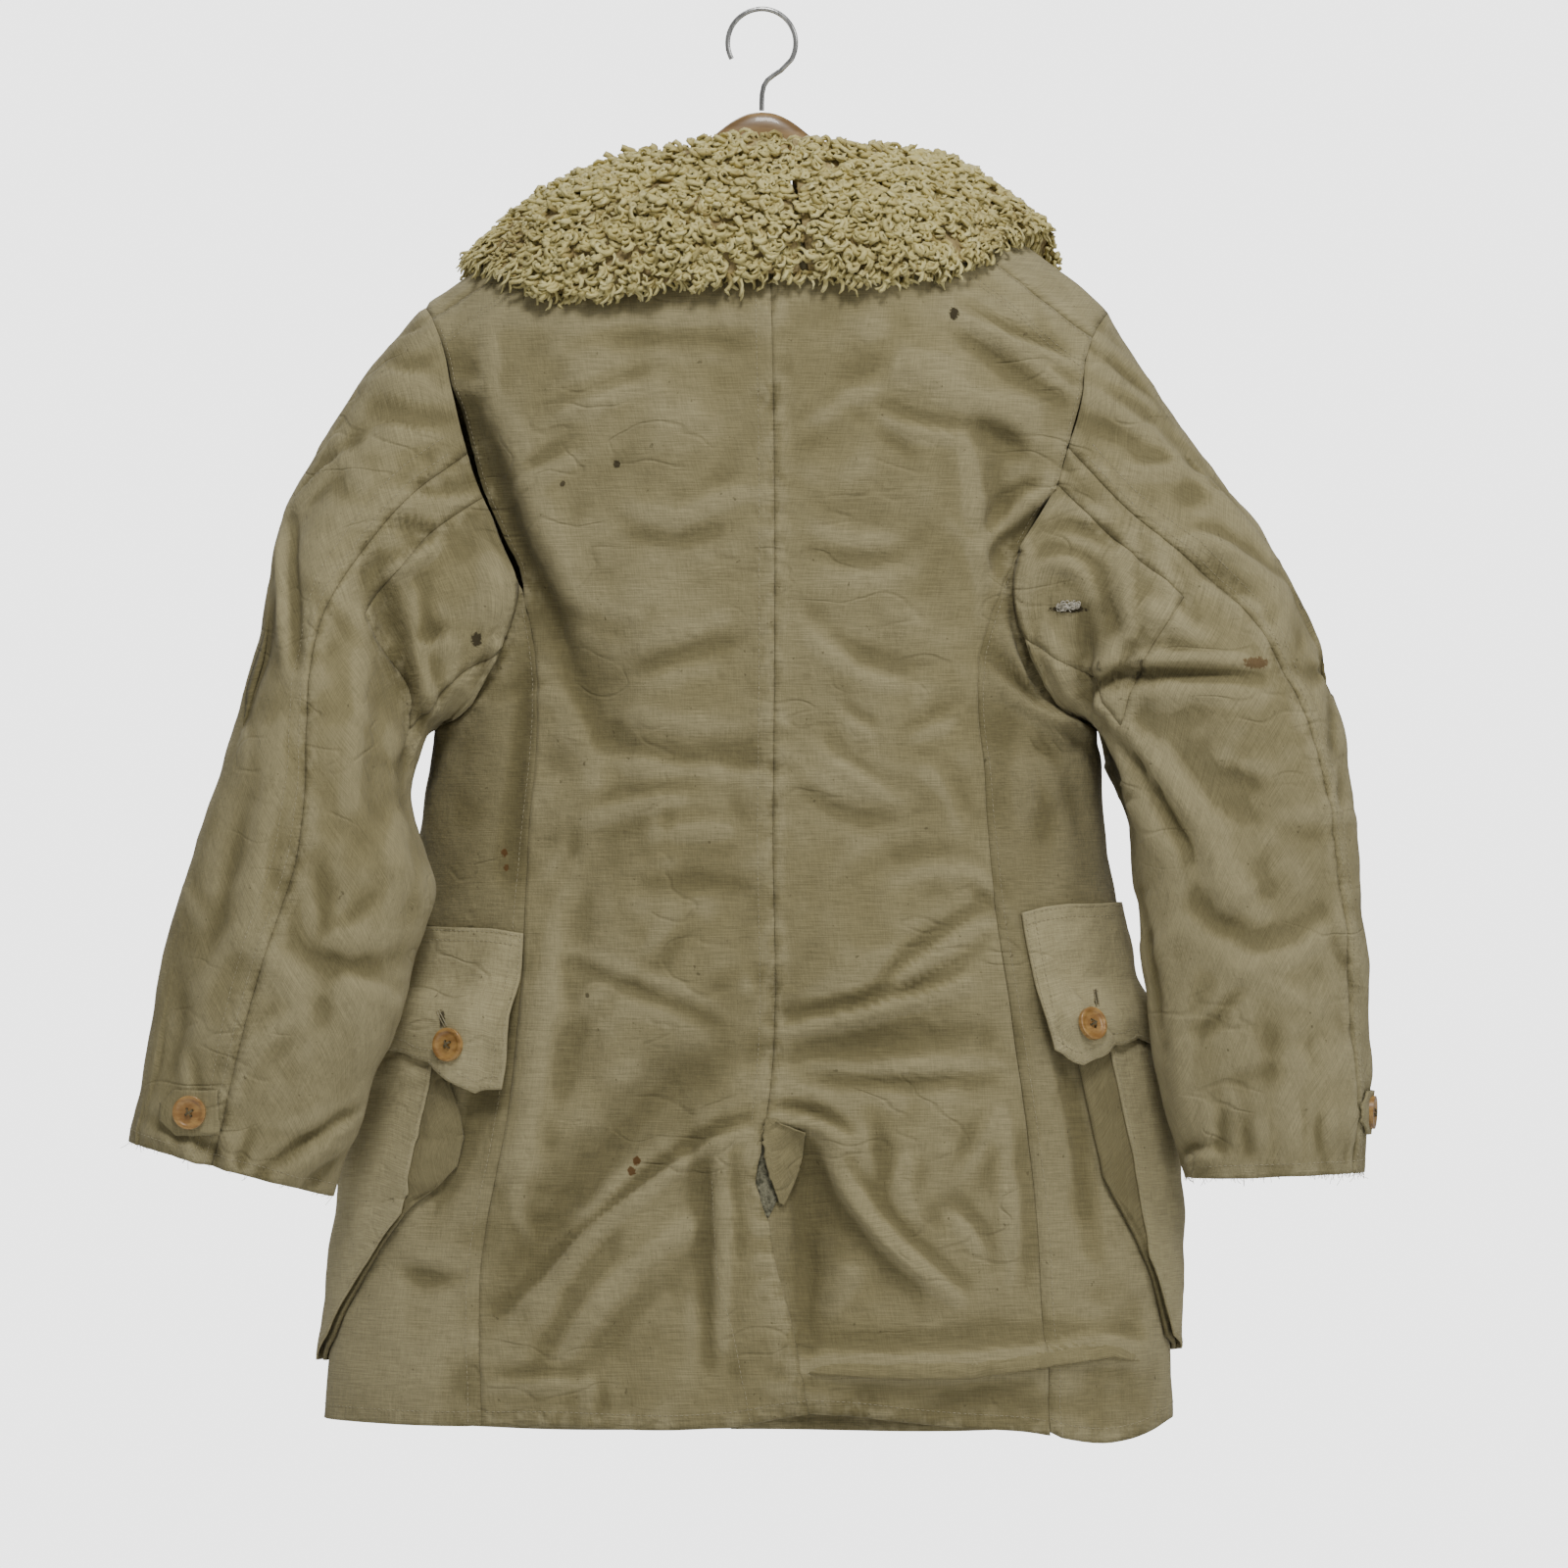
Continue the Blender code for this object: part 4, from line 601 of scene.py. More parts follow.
def mesh_piece(name: str, points: np.ndarray, faces: list[np.ndarray],
        uvs: list[np.ndarray] | None = None, tone: np.ndarray | None = None,
        slots: list[np.ndarray] | None = None) -> bpy.types.Object:
    """Make one object from arrays of points in millimetres and faces.

    Args:
        name: the piece's name.
        points: one row for each point.
        faces: arrays of corner numbers, one array for each count of corners.
        uvs: the corners' UV places in metres, shaped as faces with two values each.
        tone: four values for each point, kept as the attribute "tone".
        slots: material numbers of the faces, shaped as faces.

    Returns:
        The linked object, shaded smooth.
    """
    if name in bpy.data.objects:
        name += "_cloth"
    mesh = bpy.data.meshes.new(name)
    mesh.vertices.add(len(points))
    mesh.vertices.foreach_set("co", (np.asarray(points) * MM).astype(np.float32).ravel())
    corners = np.concatenate([f.ravel() for f in faces])
    totals = np.concatenate([np.full(len(f), f.shape[1]) for f in faces])
    mesh.loops.add(len(corners))
    mesh.loops.foreach_set("vertex_index", corners.astype(np.int32))
    mesh.polygons.add(len(totals))
    starts = np.concatenate([[0], np.cumsum(totals)[:-1]])
    mesh.polygons.foreach_set("loop_start", starts.astype(np.int32))
    if slots is not None:
        mesh.polygons.foreach_set("material_index", np.concatenate(slots).astype(np.int32))
    mesh.update(calc_edges=True)
    if uvs is not None:
        layer = mesh.uv_layers.new(name="cloth")
        layer.data.foreach_set("uv", np.concatenate([u.reshape(-1,
            2) for u in uvs]).astype(np.float32).ravel())
    if tone is not None:
        made = mesh.attributes.new("tone", "FLOAT_COLOR", "POINT")
        made.data.foreach_set("color", tone.astype(np.float32).ravel())
    mesh.validate()
    mesh.shade_smooth()
    item = bpy.data.objects.new(name, mesh)
    bpy.context.scene.collection.objects.link(item)
    return item


def register(piece: bpy.types.Object, slot: str, *nodes: str) -> bpy.types.Object:
    """Let a piece ride on the coat and stand for the nodes it replaces."""
    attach(piece, BODY_NAME)
    if nodes:
        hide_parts(*nodes)
    LOG.info("%s: %d faces", piece.name, len(piece.data.polygons))
    return piece


class Cloth:
    """The coat's canvas as one welded sheet of points, cut into its panels at the end."""

    def __init__(self) -> None:
        """Start with no grids."""
        self.grids: list[np.ndarray] = []
        self.uvs: list[np.ndarray] = []
        self.codes: list[np.ndarray] = []
        self.flips: list[bool] = []
        self.regions: list[int] = []
        self.names: list[str] = []

    def code(self, name: str) -> int:
        """Return the number of a panel's name, given on first use."""
        if name not in self.names:
            self.names.append(name)
        return self.names.index(name)

    def add(self, grid: np.ndarray, codes: np.ndarray, flip: bool, region: Region) -> int:
        """Take in one grid of points.

        Args:
            grid: rows of points in millimetres.
            codes: the panel's number for each cell.
            flip: whether the cells' order is turned to face outward.
            region: the part of the cloth that it belongs to.

        Returns:
            The grid's number.
        """
        across = np.linalg.norm(np.diff(grid, axis=1), axis=2)
        down = np.linalg.norm(np.diff(grid, axis=0), axis=2)
        u = np.concatenate([np.zeros((len(grid), 1)), np.cumsum(across, axis=1)], axis=1)
        v = np.concatenate([np.zeros((1, grid.shape[1])), np.cumsum(down, axis=0)], axis=0)
        u -= u.mean(axis=1, keepdims=True)
        if region is Region.BODY:
            v = -grid[..., 2]
        self.grids.append(grid)
        self.uvs.append(np.stack([u, v], axis=-1) * MM)
        self.codes.append(codes)
        self.flips.append(flip)
        self.regions.append(region.value)
        return len(self.grids) - 1

    def weld(self) -> None:
        """Join the grids at their shared points and make the faces."""
        flat = np.vstack([g.reshape(-1, 3) for g in self.grids])
        key = np.round(flat / 0.01).astype(np.int64)
        _, first, inverse = np.unique(key, axis=0, return_index=True, return_inverse=True)
        inverse = inverse.reshape(-1)
        self.xyz = flat[first]
        self.region = np.zeros(len(first), int)
        self.ids: list[np.ndarray] = []
        faces, corner_uvs, owners = [], [], []
        start = 0
        for grid, uv, codes, flip, region in zip(self.grids, self.uvs, self.codes, self.flips,
                self.regions):
            count = grid.shape[0] * grid.shape[1]
            ids = inverse[start:start + count].reshape(grid.shape[:2])
            start += count
            self.ids.append(ids)
            np.bitwise_or.at(self.region, ids.ravel(), region)
            quad = np.stack([ids[:-1, :-1], ids[1:, :-1], ids[1:, 1:], ids[:-1, 1:]], axis=-1)
            spot = np.stack([uv[:-1, :-1], uv[1:, :-1], uv[1:, 1:], uv[:-1, 1:]], axis=-2)
            order = slice(None, None, -1) if flip else slice(None)
            faces.append(quad.reshape(-1, 4)[:, order])
            corner_uvs.append(spot.reshape(-1, 4, 2)[:, order])
            owners.append(codes.ravel())
        self.faces = np.vstack(faces)
        self.face_uvs = np.vstack(corner_uvs)
        self.owners = np.concatenate(owners)
        self.push = np.zeros(len(self.xyz))
        self.shade = np.zeros(len(self.xyz))
        self.orient()

    def orient(self) -> None:
        """Work out the outward direction at each point."""
        p = self.xyz[self.faces]
        across = np.cross(p[:, 2] - p[:, 0], p[:, 3] - p[:, 1])
        total = np.zeros_like(self.xyz)
        for k in range(4):
            np.add.at(total, self.faces[:, k], across)
        self.normals = unit(total)

    def tree(self, region: Region | None = None) -> BVHTree:
        """Return a tree of the cloth, or of one region's faces, for casting rays."""
        faces = self.faces
        if region is not None:
            faces = faces[np.all(self.region[faces] & region.value > 0, axis=1)]
        return BVHTree.FromPolygons(self.xyz.tolist(), faces.tolist())

    def trace(self, line: np.ndarray, tree: BVHTree, side: float) -> tuple[np.ndarray, np.ndarray]:
        """Lay a line seen from behind or in front on the cloth.

        Args:
            line: x and drop of its points.
            tree: the cloth to lay it on.
            side: -1 where it is seen from behind and 1 where it is seen from the front.

        Returns:
            The line's points on the cloth and the directions there.
        """
        points, normals = [], []
        for x, drop in line:
            start = Vector((x, side * 400.0, -drop))
            hit, normal, _, _ = tree.ray_cast(start, Vector((0.0, -side, 0.0)))
            if hit is None:
                hit, normal, _, _ = tree.find_nearest(Vector((x, side * 90.0, -drop)))
            if normal[1] * side < 0:
                normal = -normal
            points.append(tuple(hit))
            normals.append(tuple(normal))
        return np.array(points), np.array(normals)

    def crease(self, table: np.ndarray, region: Region, side: float = -1.0) -> None:
        """Press creases into one region.

        Args:
            table: start, bend and end as x and drop, half-width, outward push, and lean, the
                share of an opposite fold that runs along the crease's left.
            region: the part of the cloth to press.
            side: -1 where the table is seen from behind and 1 where it is seen from the front.
        """
        tree = self.tree(region)
        mine = np.flatnonzero(self.region & region.value)
        xyz, normals = self.xyz[mine], self.normals[mine]
        for row in table:
            half, push, lean = max(row[6], CREASE_LEAST), row[7] * CREASE_GAIN, row[8]
            span = np.hypot(*(row[4:6] - row[0:2])) + 1.0
            count = int(np.clip(span / max(half * 0.6, 2.0), 6, 40))
            line, up = self.trace(bezier(row, count), tree, side)
            reach = half * (2.2 + 1.6 * abs(lean))
            low, high = line.min(axis=0) - reach, line.max(axis=0) + reach
            near = np.flatnonzero(np.all((xyz > low) & (xyz < high), axis=1))
            if not len(near):
                continue
            way = unit(np.gradient(line, axis=0))
            away = xyz[near][:, None] - line[None]
            closest = np.argmin(np.einsum("ijk,ijk->ij", away, away), axis=1)
            away = away[np.arange(len(near)), closest]
            t, n = way[closest], up[closest]
            ahead = np.einsum("ij,ij->i", away, t)
            across = away - ahead[:, None] * t
            side_way = np.cross(n, t)
            offset = np.einsum("ij,ij->i", across, side_way)
            distance = np.linalg.norm(across, axis=1) * np.where(offset < 0, -1.0, 1.0)
            ends = (closest == 0) & (ahead < 0) | (closest == count - 1) & (ahead > 0)
            beyond = np.where(ends, np.abs(ahead), 0.0)
            spacing = np.linalg.norm(np.diff(line, axis=0), axis=1).mean()
            place = np.clip((closest + np.clip(ahead / spacing, -0.5, 0.5)) / (count - 1.0), 0.0, 1.0)
            taper = 0.25 + 0.75 * np.sin(math.pi * np.clip(place, 0.02, 0.98)) ** 0.8
            taper *= np.exp(-(beyond / (half * 1.3)) ** 2)
            taper *= np.clip((np.abs(n[:, 1]) - 0.15) / 0.35, 0.0, 1.0)
            facing = np.clip(np.einsum("ij,ij->i", normals[near], n) * 1.6 + 0.2, 0.0, 1.0)
            shape = np.exp(-np.abs(distance / half) ** 1.55)
            shape -= lean * np.exp(-((distance - 1.55 * half) / (0.95 * half)) ** 2)
            self.push[mine[near]] += push * taper * facing * shape

    def crumple(self, rng: np.random.Generator, count: int, region: Region, side: float,
            box: tuple[float, float, float, float], slope: tuple[float, float]) -> None:
        """Scatter small shallow creases over a part of the cloth.

        Args:
            rng: the seeded generator.
            count: how many creases.
            region: the part of the cloth.
            side: -1 behind, 1 in front.
            box: lowest and highest x and drop of their middles.
            slope: the middle and the spread of their angle, in degrees.
        """
        x = rng.uniform(box[0], box[1], count)
        drop = rng.uniform(box[2], box[3], count)
        angle = np.radians(rng.normal(slope[0], slope[1], count))
        long = rng.uniform(22.0, 85.0, count)
        bend = rng.normal(0.0, 0.12, count) * long
        step = np.stack([np.cos(angle), np.sin(angle)], axis=1) * long[:, None] / 2
        side_step = np.stack([-np.sin(angle), np.cos(angle)], axis=1) * bend[:, None]
        middle = np.stack([x, drop], axis=1)
        half = rng.uniform(3.5, 8.0, count)
        push = rng.uniform(0.3, 1.1, count) * rng.choice([-1.0, 1.0], count)
        table = np.column_stack([middle - step, middle + side_step, middle + step, half, push,
            rng.uniform(0.2, 0.8, count)])
        self.crease(table, region, side)

    def soften(self, scale: float, height: float, seed: float) -> None:
        """Add low uneven swells of a size in millimetres all over the cloth."""
        offset = Vector((seed, seed * 0.7, -seed))
        values = [noise.noise(Vector(p) / scale + offset) for p in self.xyz]
        self.push += height * np.array(values)

    def seams(self) -> None:
        """Sink the cloth at its seams and pucker it beside them."""
        edges = np.vstack([self.faces[:, [k, (k + 1) % 4]] for k in range(4)])
        owner = np.tile(self.owners, 4)
        edges.sort(axis=1)
        order = np.lexsort((edges[:, 1], edges[:, 0]))
        edges, owner = edges[order], owner[order]
        same = np.all(edges[1:] == edges[:-1], axis=1)
        parted = same & (owner[1:] != owner[:-1])
        seam = np.unique(edges[1:][parted])
        found = KDTree(len(seam))
        for i, k in enumerate(seam):
            found.insert(Vector(self.xyz[k]), i)
        found.balance()
        self.seam_distance = np.full(len(self.xyz), 99.0)
        pucker = np.zeros(len(self.xyz))
        for k, p in enumerate(self.xyz):
            place, _, distance = found.find(Vector(p))
            self.seam_distance[k] = distance
            if distance < 34.0:
                wave = noise.noise(place / 7.5) + 0.6 * noise.noise(place / 3.6)
                pucker[k] = wave * math.exp(-(distance / 13.0) ** 2)
        d = self.seam_distance
        self.push += 1.15 * pucker + 0.5 * np.exp(-((d - 5.0) / 4.0) ** 2)
        self.push -= 1.1 * np.exp(-(d / 1.8) ** 2)

    def settle(self) -> None:
        """Move every point by its push and work out the directions again."""
        self.xyz = self.xyz + self.normals * self.push[:, None]
        self.orient()

    def panel_faces(self, name: str) -> np.ndarray:
        """Return the numbers of a panel's faces."""
        return np.flatnonzero(self.owners == self.names.index(name))

    def area(self, name: str) -> float:
        """Return a panel's area in square metres."""
        p = self.xyz[self.faces[self.panel_faces(name)]]
        across = np.cross(p[:, 2] - p[:, 0], p[:, 3] - p[:, 1])
        return float(np.linalg.norm(across, axis=1).sum() / 2 * MM * MM)

    def tone(self) -> np.ndarray:
        """Return each point's tone: bulge, nearness to a seam, fold's level, and brightness, which is
        one minus the painted shade.
        """
        values = np.zeros((len(self.xyz), 4))
        mean = np.zeros((len(self.xyz), 3))
        count = np.zeros(len(self.xyz))
        for k in range(4):
            np.add.at(mean, self.faces[:, k], self.xyz[self.faces].mean(axis=1))
            np.add.at(count, self.faces[:, k], 1.0)
        bulge = np.einsum("ij,ij->i", self.xyz - mean / count[:, None], self.normals)
        for _ in range(3):
            total = np.zeros(len(self.xyz))
            level = bulge[self.faces].mean(axis=1)
            for k in range(4):
                np.add.at(total, self.faces[:, k], level)
            bulge = total / count
        # The bulge drives painted highlight on ridges and painted shade in hollows
        values[:, 0] = np.clip(0.5 + bulge * 4.6, 0.0, 1.0)
        values[:, 1] = np.exp(-(self.seam_distance / 10.0) ** 2)
        values[:, 3] = 1.0 - self.shade
        for grid in self.ids:
            height = np.linalg.norm(self.xyz[grid] - self.xyz[grid[-1:]], axis=2)
            values[grid, 1] = np.maximum(values[grid, 1], np.exp(-(height / 13.0) ** 4) * 0.9)
            # A band along each grid's last row, the hem and the cuffs, gets painted shade
            values[grid, 3] -= 0.42 * np.exp(-(height / 24.0) ** 2)
        values[:, 3] = np.clip(values[:, 3], 0.0, 1.0)
        # The fold's level drives painted shade where creases press in
        values[:, 2] = np.clip(0.5 + self.push / 14.0, 0.0, 1.0)
        return values

    def wall(self, name: str, tone: np.ndarray) -> bpy.types.Object:
        """Make one panel as a closed wall, parted from its neighbours along the seams."""
        chosen = self.panel_faces(name)
        faces = self.faces[chosen]
        used, local = np.unique(faces, return_inverse=True)
        local = local.reshape(faces.shape)
        outer, normals = self.xyz[used].copy(), self.normals[used]
        edges = np.vstack([local[:, [k, (k + 1) % 4]] for k in range(4)])
        edge_uvs = np.vstack([self.face_uvs[chosen][:, [k, (k + 1) % 4]] for k in range(4)])
        code = edges[:, 0].astype(np.int64) * len(used) + edges[:, 1]
        back = edges[:, 1].astype(np.int64) * len(used) + edges[:, 0]
        rim = ~np.isin(code, back)
        a, b = edges[rim].T
        run = outer[b] - outer[a]
        inset = np.zeros_like(outer)
        np.add.at(inset, a, unit(np.cross(normals[a], run)))
        np.add.at(inset, b, unit(np.cross(normals[b], run)))
        size = np.linalg.norm(inset, axis=1)
        marked = size > 1e-6
        outer[marked] += inset[marked] / size[marked, None] * SEAM_HALF_GAP / np.maximum(
            size[marked, None] / 2.0, 0.5)
        outer = self.lapped(name, outer, normals)
        allowance = np.zeros_like(outer)
        allowance[marked] = inset[marked] / size[marked, None] * WALL_ALLOWANCE
        inner = outer - normals * CLOTH - allowance
        count = len(used)
        walls = np.vstack([local, local[:, ::-1] + count, np.stack([b, a, a + count, b + count],
            axis=1)])
        rim_uv = edge_uvs[rim]
        uvs = np.concatenate([self.face_uvs[chosen], self.face_uvs[chosen][:, ::-1],
            np.stack([rim_uv[:, 1], rim_uv[:, 0], rim_uv[:, 0], rim_uv[:, 1]], axis=1)])
        slots = np.concatenate([np.zeros(len(local)), np.ones(len(local)), np.zeros(len(a))])
        return mesh_piece(name + "_cloth", np.vstack([outer, inner]), [walls], [uvs],
            np.vstack([tone[used]] * 2), [slots])

    @staticmethod
    def lapped(name: str, outer: np.ndarray, normals: np.ndarray) -> np.ndarray:
        """Return a panel's points with the left front and the vent lifted over the neighbour."""
        drop = -outer[:, 2]
        if name == "front_left":
            near = ease((outer[:, 0] + 62.0) / 30.0) * (outer[:, 1] > 0)
            outer = outer + normals * (LAP_LIFT * near)[:, None]
        if name == "back_left":
            below = np.clip((drop - VENT_TOP_DROP - 45.0) / 30.0, 0.0, 1.0)
            near = np.clip((outer[:, 0] - smooth(CENTRE_LINE, 1, drop) + 44.0) / 44.0, 0.0, 1.0)
            lift = np.clip((drop - VENT_TOP_DROP) / 30.0, 0.0, 1.0) * near * near
            outer = outer + normals * (VENT_LIFT * lift)[:, None]
            outer[:, 0] += VENT_LAP * below * near * near
        return outer


class NodeSheet:
    """Short ways to add and join the nodes of one tree."""

    def __init__(self, tree: bpy.types.NodeTree) -> None:
        """Work on one tree."""
        self.tree = tree

    def add(self, kind: str, **settings: object) -> bpy.types.Node:
        """Add a node and set its properties."""
        node = self.tree.nodes.new("ShaderNode" + kind)
        for key, value in settings.items():
            setattr(node, key, value)
        return node

    def put(self, value: object, socket: bpy.types.NodeSocket) -> None:
        """Join an output to a socket, or set the socket's own value."""
        if isinstance(value, bpy.types.NodeSocket):
            self.tree.links.new(value, socket)
        else:
            socket.default_value = value

    def fill(self, node: bpy.types.Node, **values: object) -> bpy.types.Node:
        """Give inputs of a node their values, or join outputs to them, and return the node."""
        for key, value in values.items():
            self.put(value, node.inputs[key.replace("_", " ")])
        return node

    def math(self, operation: str, a: object, b: object = 0.0,
            clamp: bool = False) -> bpy.types.NodeSocket:
        """Return the result of one sum."""
        node = self.add("Math", operation=operation, use_clamp=clamp)
        self.put(a, node.inputs[0])
        self.put(b, node.inputs[1])
        return node.outputs[0]

    def mix(self, factor: object, a: object, b: object, blend: str = "MIX") -> bpy.types.NodeSocket:
        """Return two colours mixed."""
        node = self.add("Mix", data_type="RGBA", blend_type=blend)
        self.put(factor, node.inputs[0])
        self.put(a, node.inputs[6])
        self.put(b, node.inputs[7])
        return node.outputs[2]

    def noise(self, vector: object, scale: float, detail: float = 3.0,
            rough: float = 0.55) -> bpy.types.NodeSocket:
        """Return a noise around a half."""
        node = self.fill(self.add("TexNoise"), Vector=vector, Scale=scale, Detail=detail,
            Roughness=rough)
        return node.outputs["Fac"]

    def scaled(self, vector: object, scale: tuple[float, float, float],
            shift: tuple[float, float, float] = (0.0, 0.0, 0.0)) -> bpy.types.NodeSocket:
        """Return a vector stretched and moved."""
        return self.fill(self.add("Mapping"), Vector=vector, Scale=scale, Location=shift).outputs[0]

    def steps(self, value: object, low: float, high: float, to_low: float = 0.0,
            to_high: float = 1.0) -> bpy.types.NodeSocket:
        """Return a value's range stretched to another, with soft ends."""
        node = self.add("MapRange", interpolation_type="SMOOTHSTEP")
        self.fill(node, Value=value, From_Min=low, From_Max=high, To_Min=to_low, To_Max=to_high)
        return node.outputs[0]

    def bump(self, height: object, distance: float, strength: float) -> bpy.types.Node:
        """Return a bump node that a height drives."""
        return self.fill(self.add("Bump"), Height=height, Distance=distance, Strength=strength)

    def group(self, name: str, **values: object) -> bpy.types.Node:
        """Place a shader group with its own values."""
        node = self.add("Group")
        node.node_tree = bpy.data.node_groups[name]
        return self.fill(node, **values)


def new_group(name: str, inputs: tuple[tuple[str, str, object], ...],
        outputs: tuple[str, ...]) -> tuple[NodeSheet, bpy.types.Node, bpy.types.Node]:
    """Make an empty shader group.

    Args:
        name: the group's name.
        inputs: name, socket kind and value of each input.
        outputs: names of the outputs, all of them values.

    Returns:
        The group's sheet, its input node and its output node.
    """
    tree = bpy.data.node_groups.new(name, "ShaderNodeTree")
    for label, kind, value in inputs:
        made = tree.interface.new_socket(label, in_out="INPUT", socket_type="NodeSocket" + kind)
        if value is not None:
            made.default_value = value
    for label in outputs:
        tree.interface.new_socket(label, in_out="OUTPUT", socket_type="NodeSocketFloat")
    return (NodeSheet(tree), tree.nodes.new("NodeGroupInput"), tree.nodes.new("NodeGroupOutput"))


class SharedEffects:
    """Shader groups that several finishes use: weave, blotches and specks."""

    @staticmethod
    def weave() -> None:
        """Make the group of crossed threads with thick slubs along the width."""
        sheet, given, out = new_group("weave", (("Place", "Vector", None), ("Threads", "Float", 1500.0)),
            ("Height", "Shade"))
        place = given.outputs["Place"]
        split = sheet.add("SeparateXYZ")
        sheet.put(place, split.inputs[0])
        wobble = sheet.noise(sheet.scaled(place, (60.0, 60.0, 1.0)), 1.0, 2.0)
        turn = sheet.math("MULTIPLY", given.outputs["Threads"], math.pi)
        across = sheet.math("MULTIPLY", split.outputs[0], turn)
        down = sheet.math("MULTIPLY", split.outputs[1], turn)
        down = sheet.math("ADD", down, sheet.math("MULTIPLY", wobble, 6.0))
        warp = sheet.math("ABSOLUTE", sheet.math("SINE", across))
        weft = sheet.math("ABSOLUTE", sheet.math("SINE", down))
        threads = sheet.math("MULTIPLY", sheet.math("ADD", warp, weft), 0.5)
        slub = sheet.noise(sheet.scaled(place, (45.0, 1300.0, 1.0)), 1.0, 4.0, 0.62)
        ribs = sheet.noise(sheet.scaled(place, (1100.0, 70.0, 1.0)), 1.0, 3.0, 0.6)
        shade = sheet.math("ADD", sheet.math("MULTIPLY", slub, 0.68), sheet.math("MULTIPLY", ribs, 0.32))
        height = sheet.math("ADD", sheet.math("MULTIPLY", threads, 0.45), shade)
        sheet.put(height, out.inputs["Height"])
        sheet.put(shade, out.inputs["Shade"])

    @staticmethod
    def blotches() -> None:
        """Make the group of broad uneven patches, smaller stains and specks."""
        sheet, given, out = new_group("blotches", (("Place", "Vector", None),),
            ("Broad", "Stain", "Speck"))
        place = given.outputs["Place"]
        broad = sheet.noise(sheet.scaled(place, (5.0, 5.0, 4.0)), 1.0, 5.0, 0.6)
        sheet.put(sheet.steps(broad, 0.34, 0.68), out.inputs["Broad"])
        stain = sheet.noise(sheet.scaled(place, (21.0, 21.0, 17.0), (3.0, 1.0, 8.0)), 1.0, 5.0, 0.7)
        sheet.put(sheet.steps(stain, 0.56, 0.74), out.inputs["Stain"])
        speck = sheet.noise(sheet.scaled(place, (210.0, 210.0, 190.0)), 1.0, 2.0, 0.5)
        sheet.put(sheet.steps(speck, 0.71, 0.78), out.inputs["Speck"])

    @classmethod
    def make(cls) -> None:
        """Make every shared group."""
        cls.weave()
        cls.blotches()


def new_surface(name: str) -> tuple[NodeSheet, bpy.types.Node, bpy.types.Material]:
    """Make a material and return its sheet, its shader and itself."""
    made = bpy.data.materials.new(name)
    made.use_nodes = True
    sheet = NodeSheet(made.node_tree)
    return sheet, made.node_tree.nodes["Principled BSDF"], made


@dataclass(frozen=True)
class Mark:
    """A stain, hole or speck at a place seen from behind."""

    px: float
    py: float
    wide: float
    high: float
    colour: tuple[float, float, float]
    strength: float


RUST = (0.10, 0.045, 0.012)
DARK = (0.035, 0.026, 0.012)
MARKS = (Mark(615, 308, 3.4, 2.4, DARK, 0.95), Mark(973, 321, 3.4, 4.4, DARK, 0.95),
    Mark(630, 475, 2.6, 2.8, DARK, 0.9), Mark(575, 495, 2.0, 2.0, DARK, 0.8),
    Mark(515, 870, 2.2, 3.0, RUST, 0.9), Mark(517, 885, 1.8, 2.6, RUST, 0.85),
    Mark(650, 1183, 2.8, 3.2, RUST, 0.95), Mark(645, 1193, 3.0, 3.2, RUST, 0.9),
    Mark(1279, 677, 9.0, 4.0, RUST, 0.75), Mark(600, 1015, 1.6, 1.6, DARK, 0.7),
    Mark(1090, 622, 13.0, 2.6, DARK, 0.95), Mark(452, 1039, 2.2, 6.0, DARK, 0.85),
    Mark(1118, 1018, 1.4, 6.0, DARK, 0.85), Mark(487, 653, 4.0, 5.0, DARK, 0.9),)


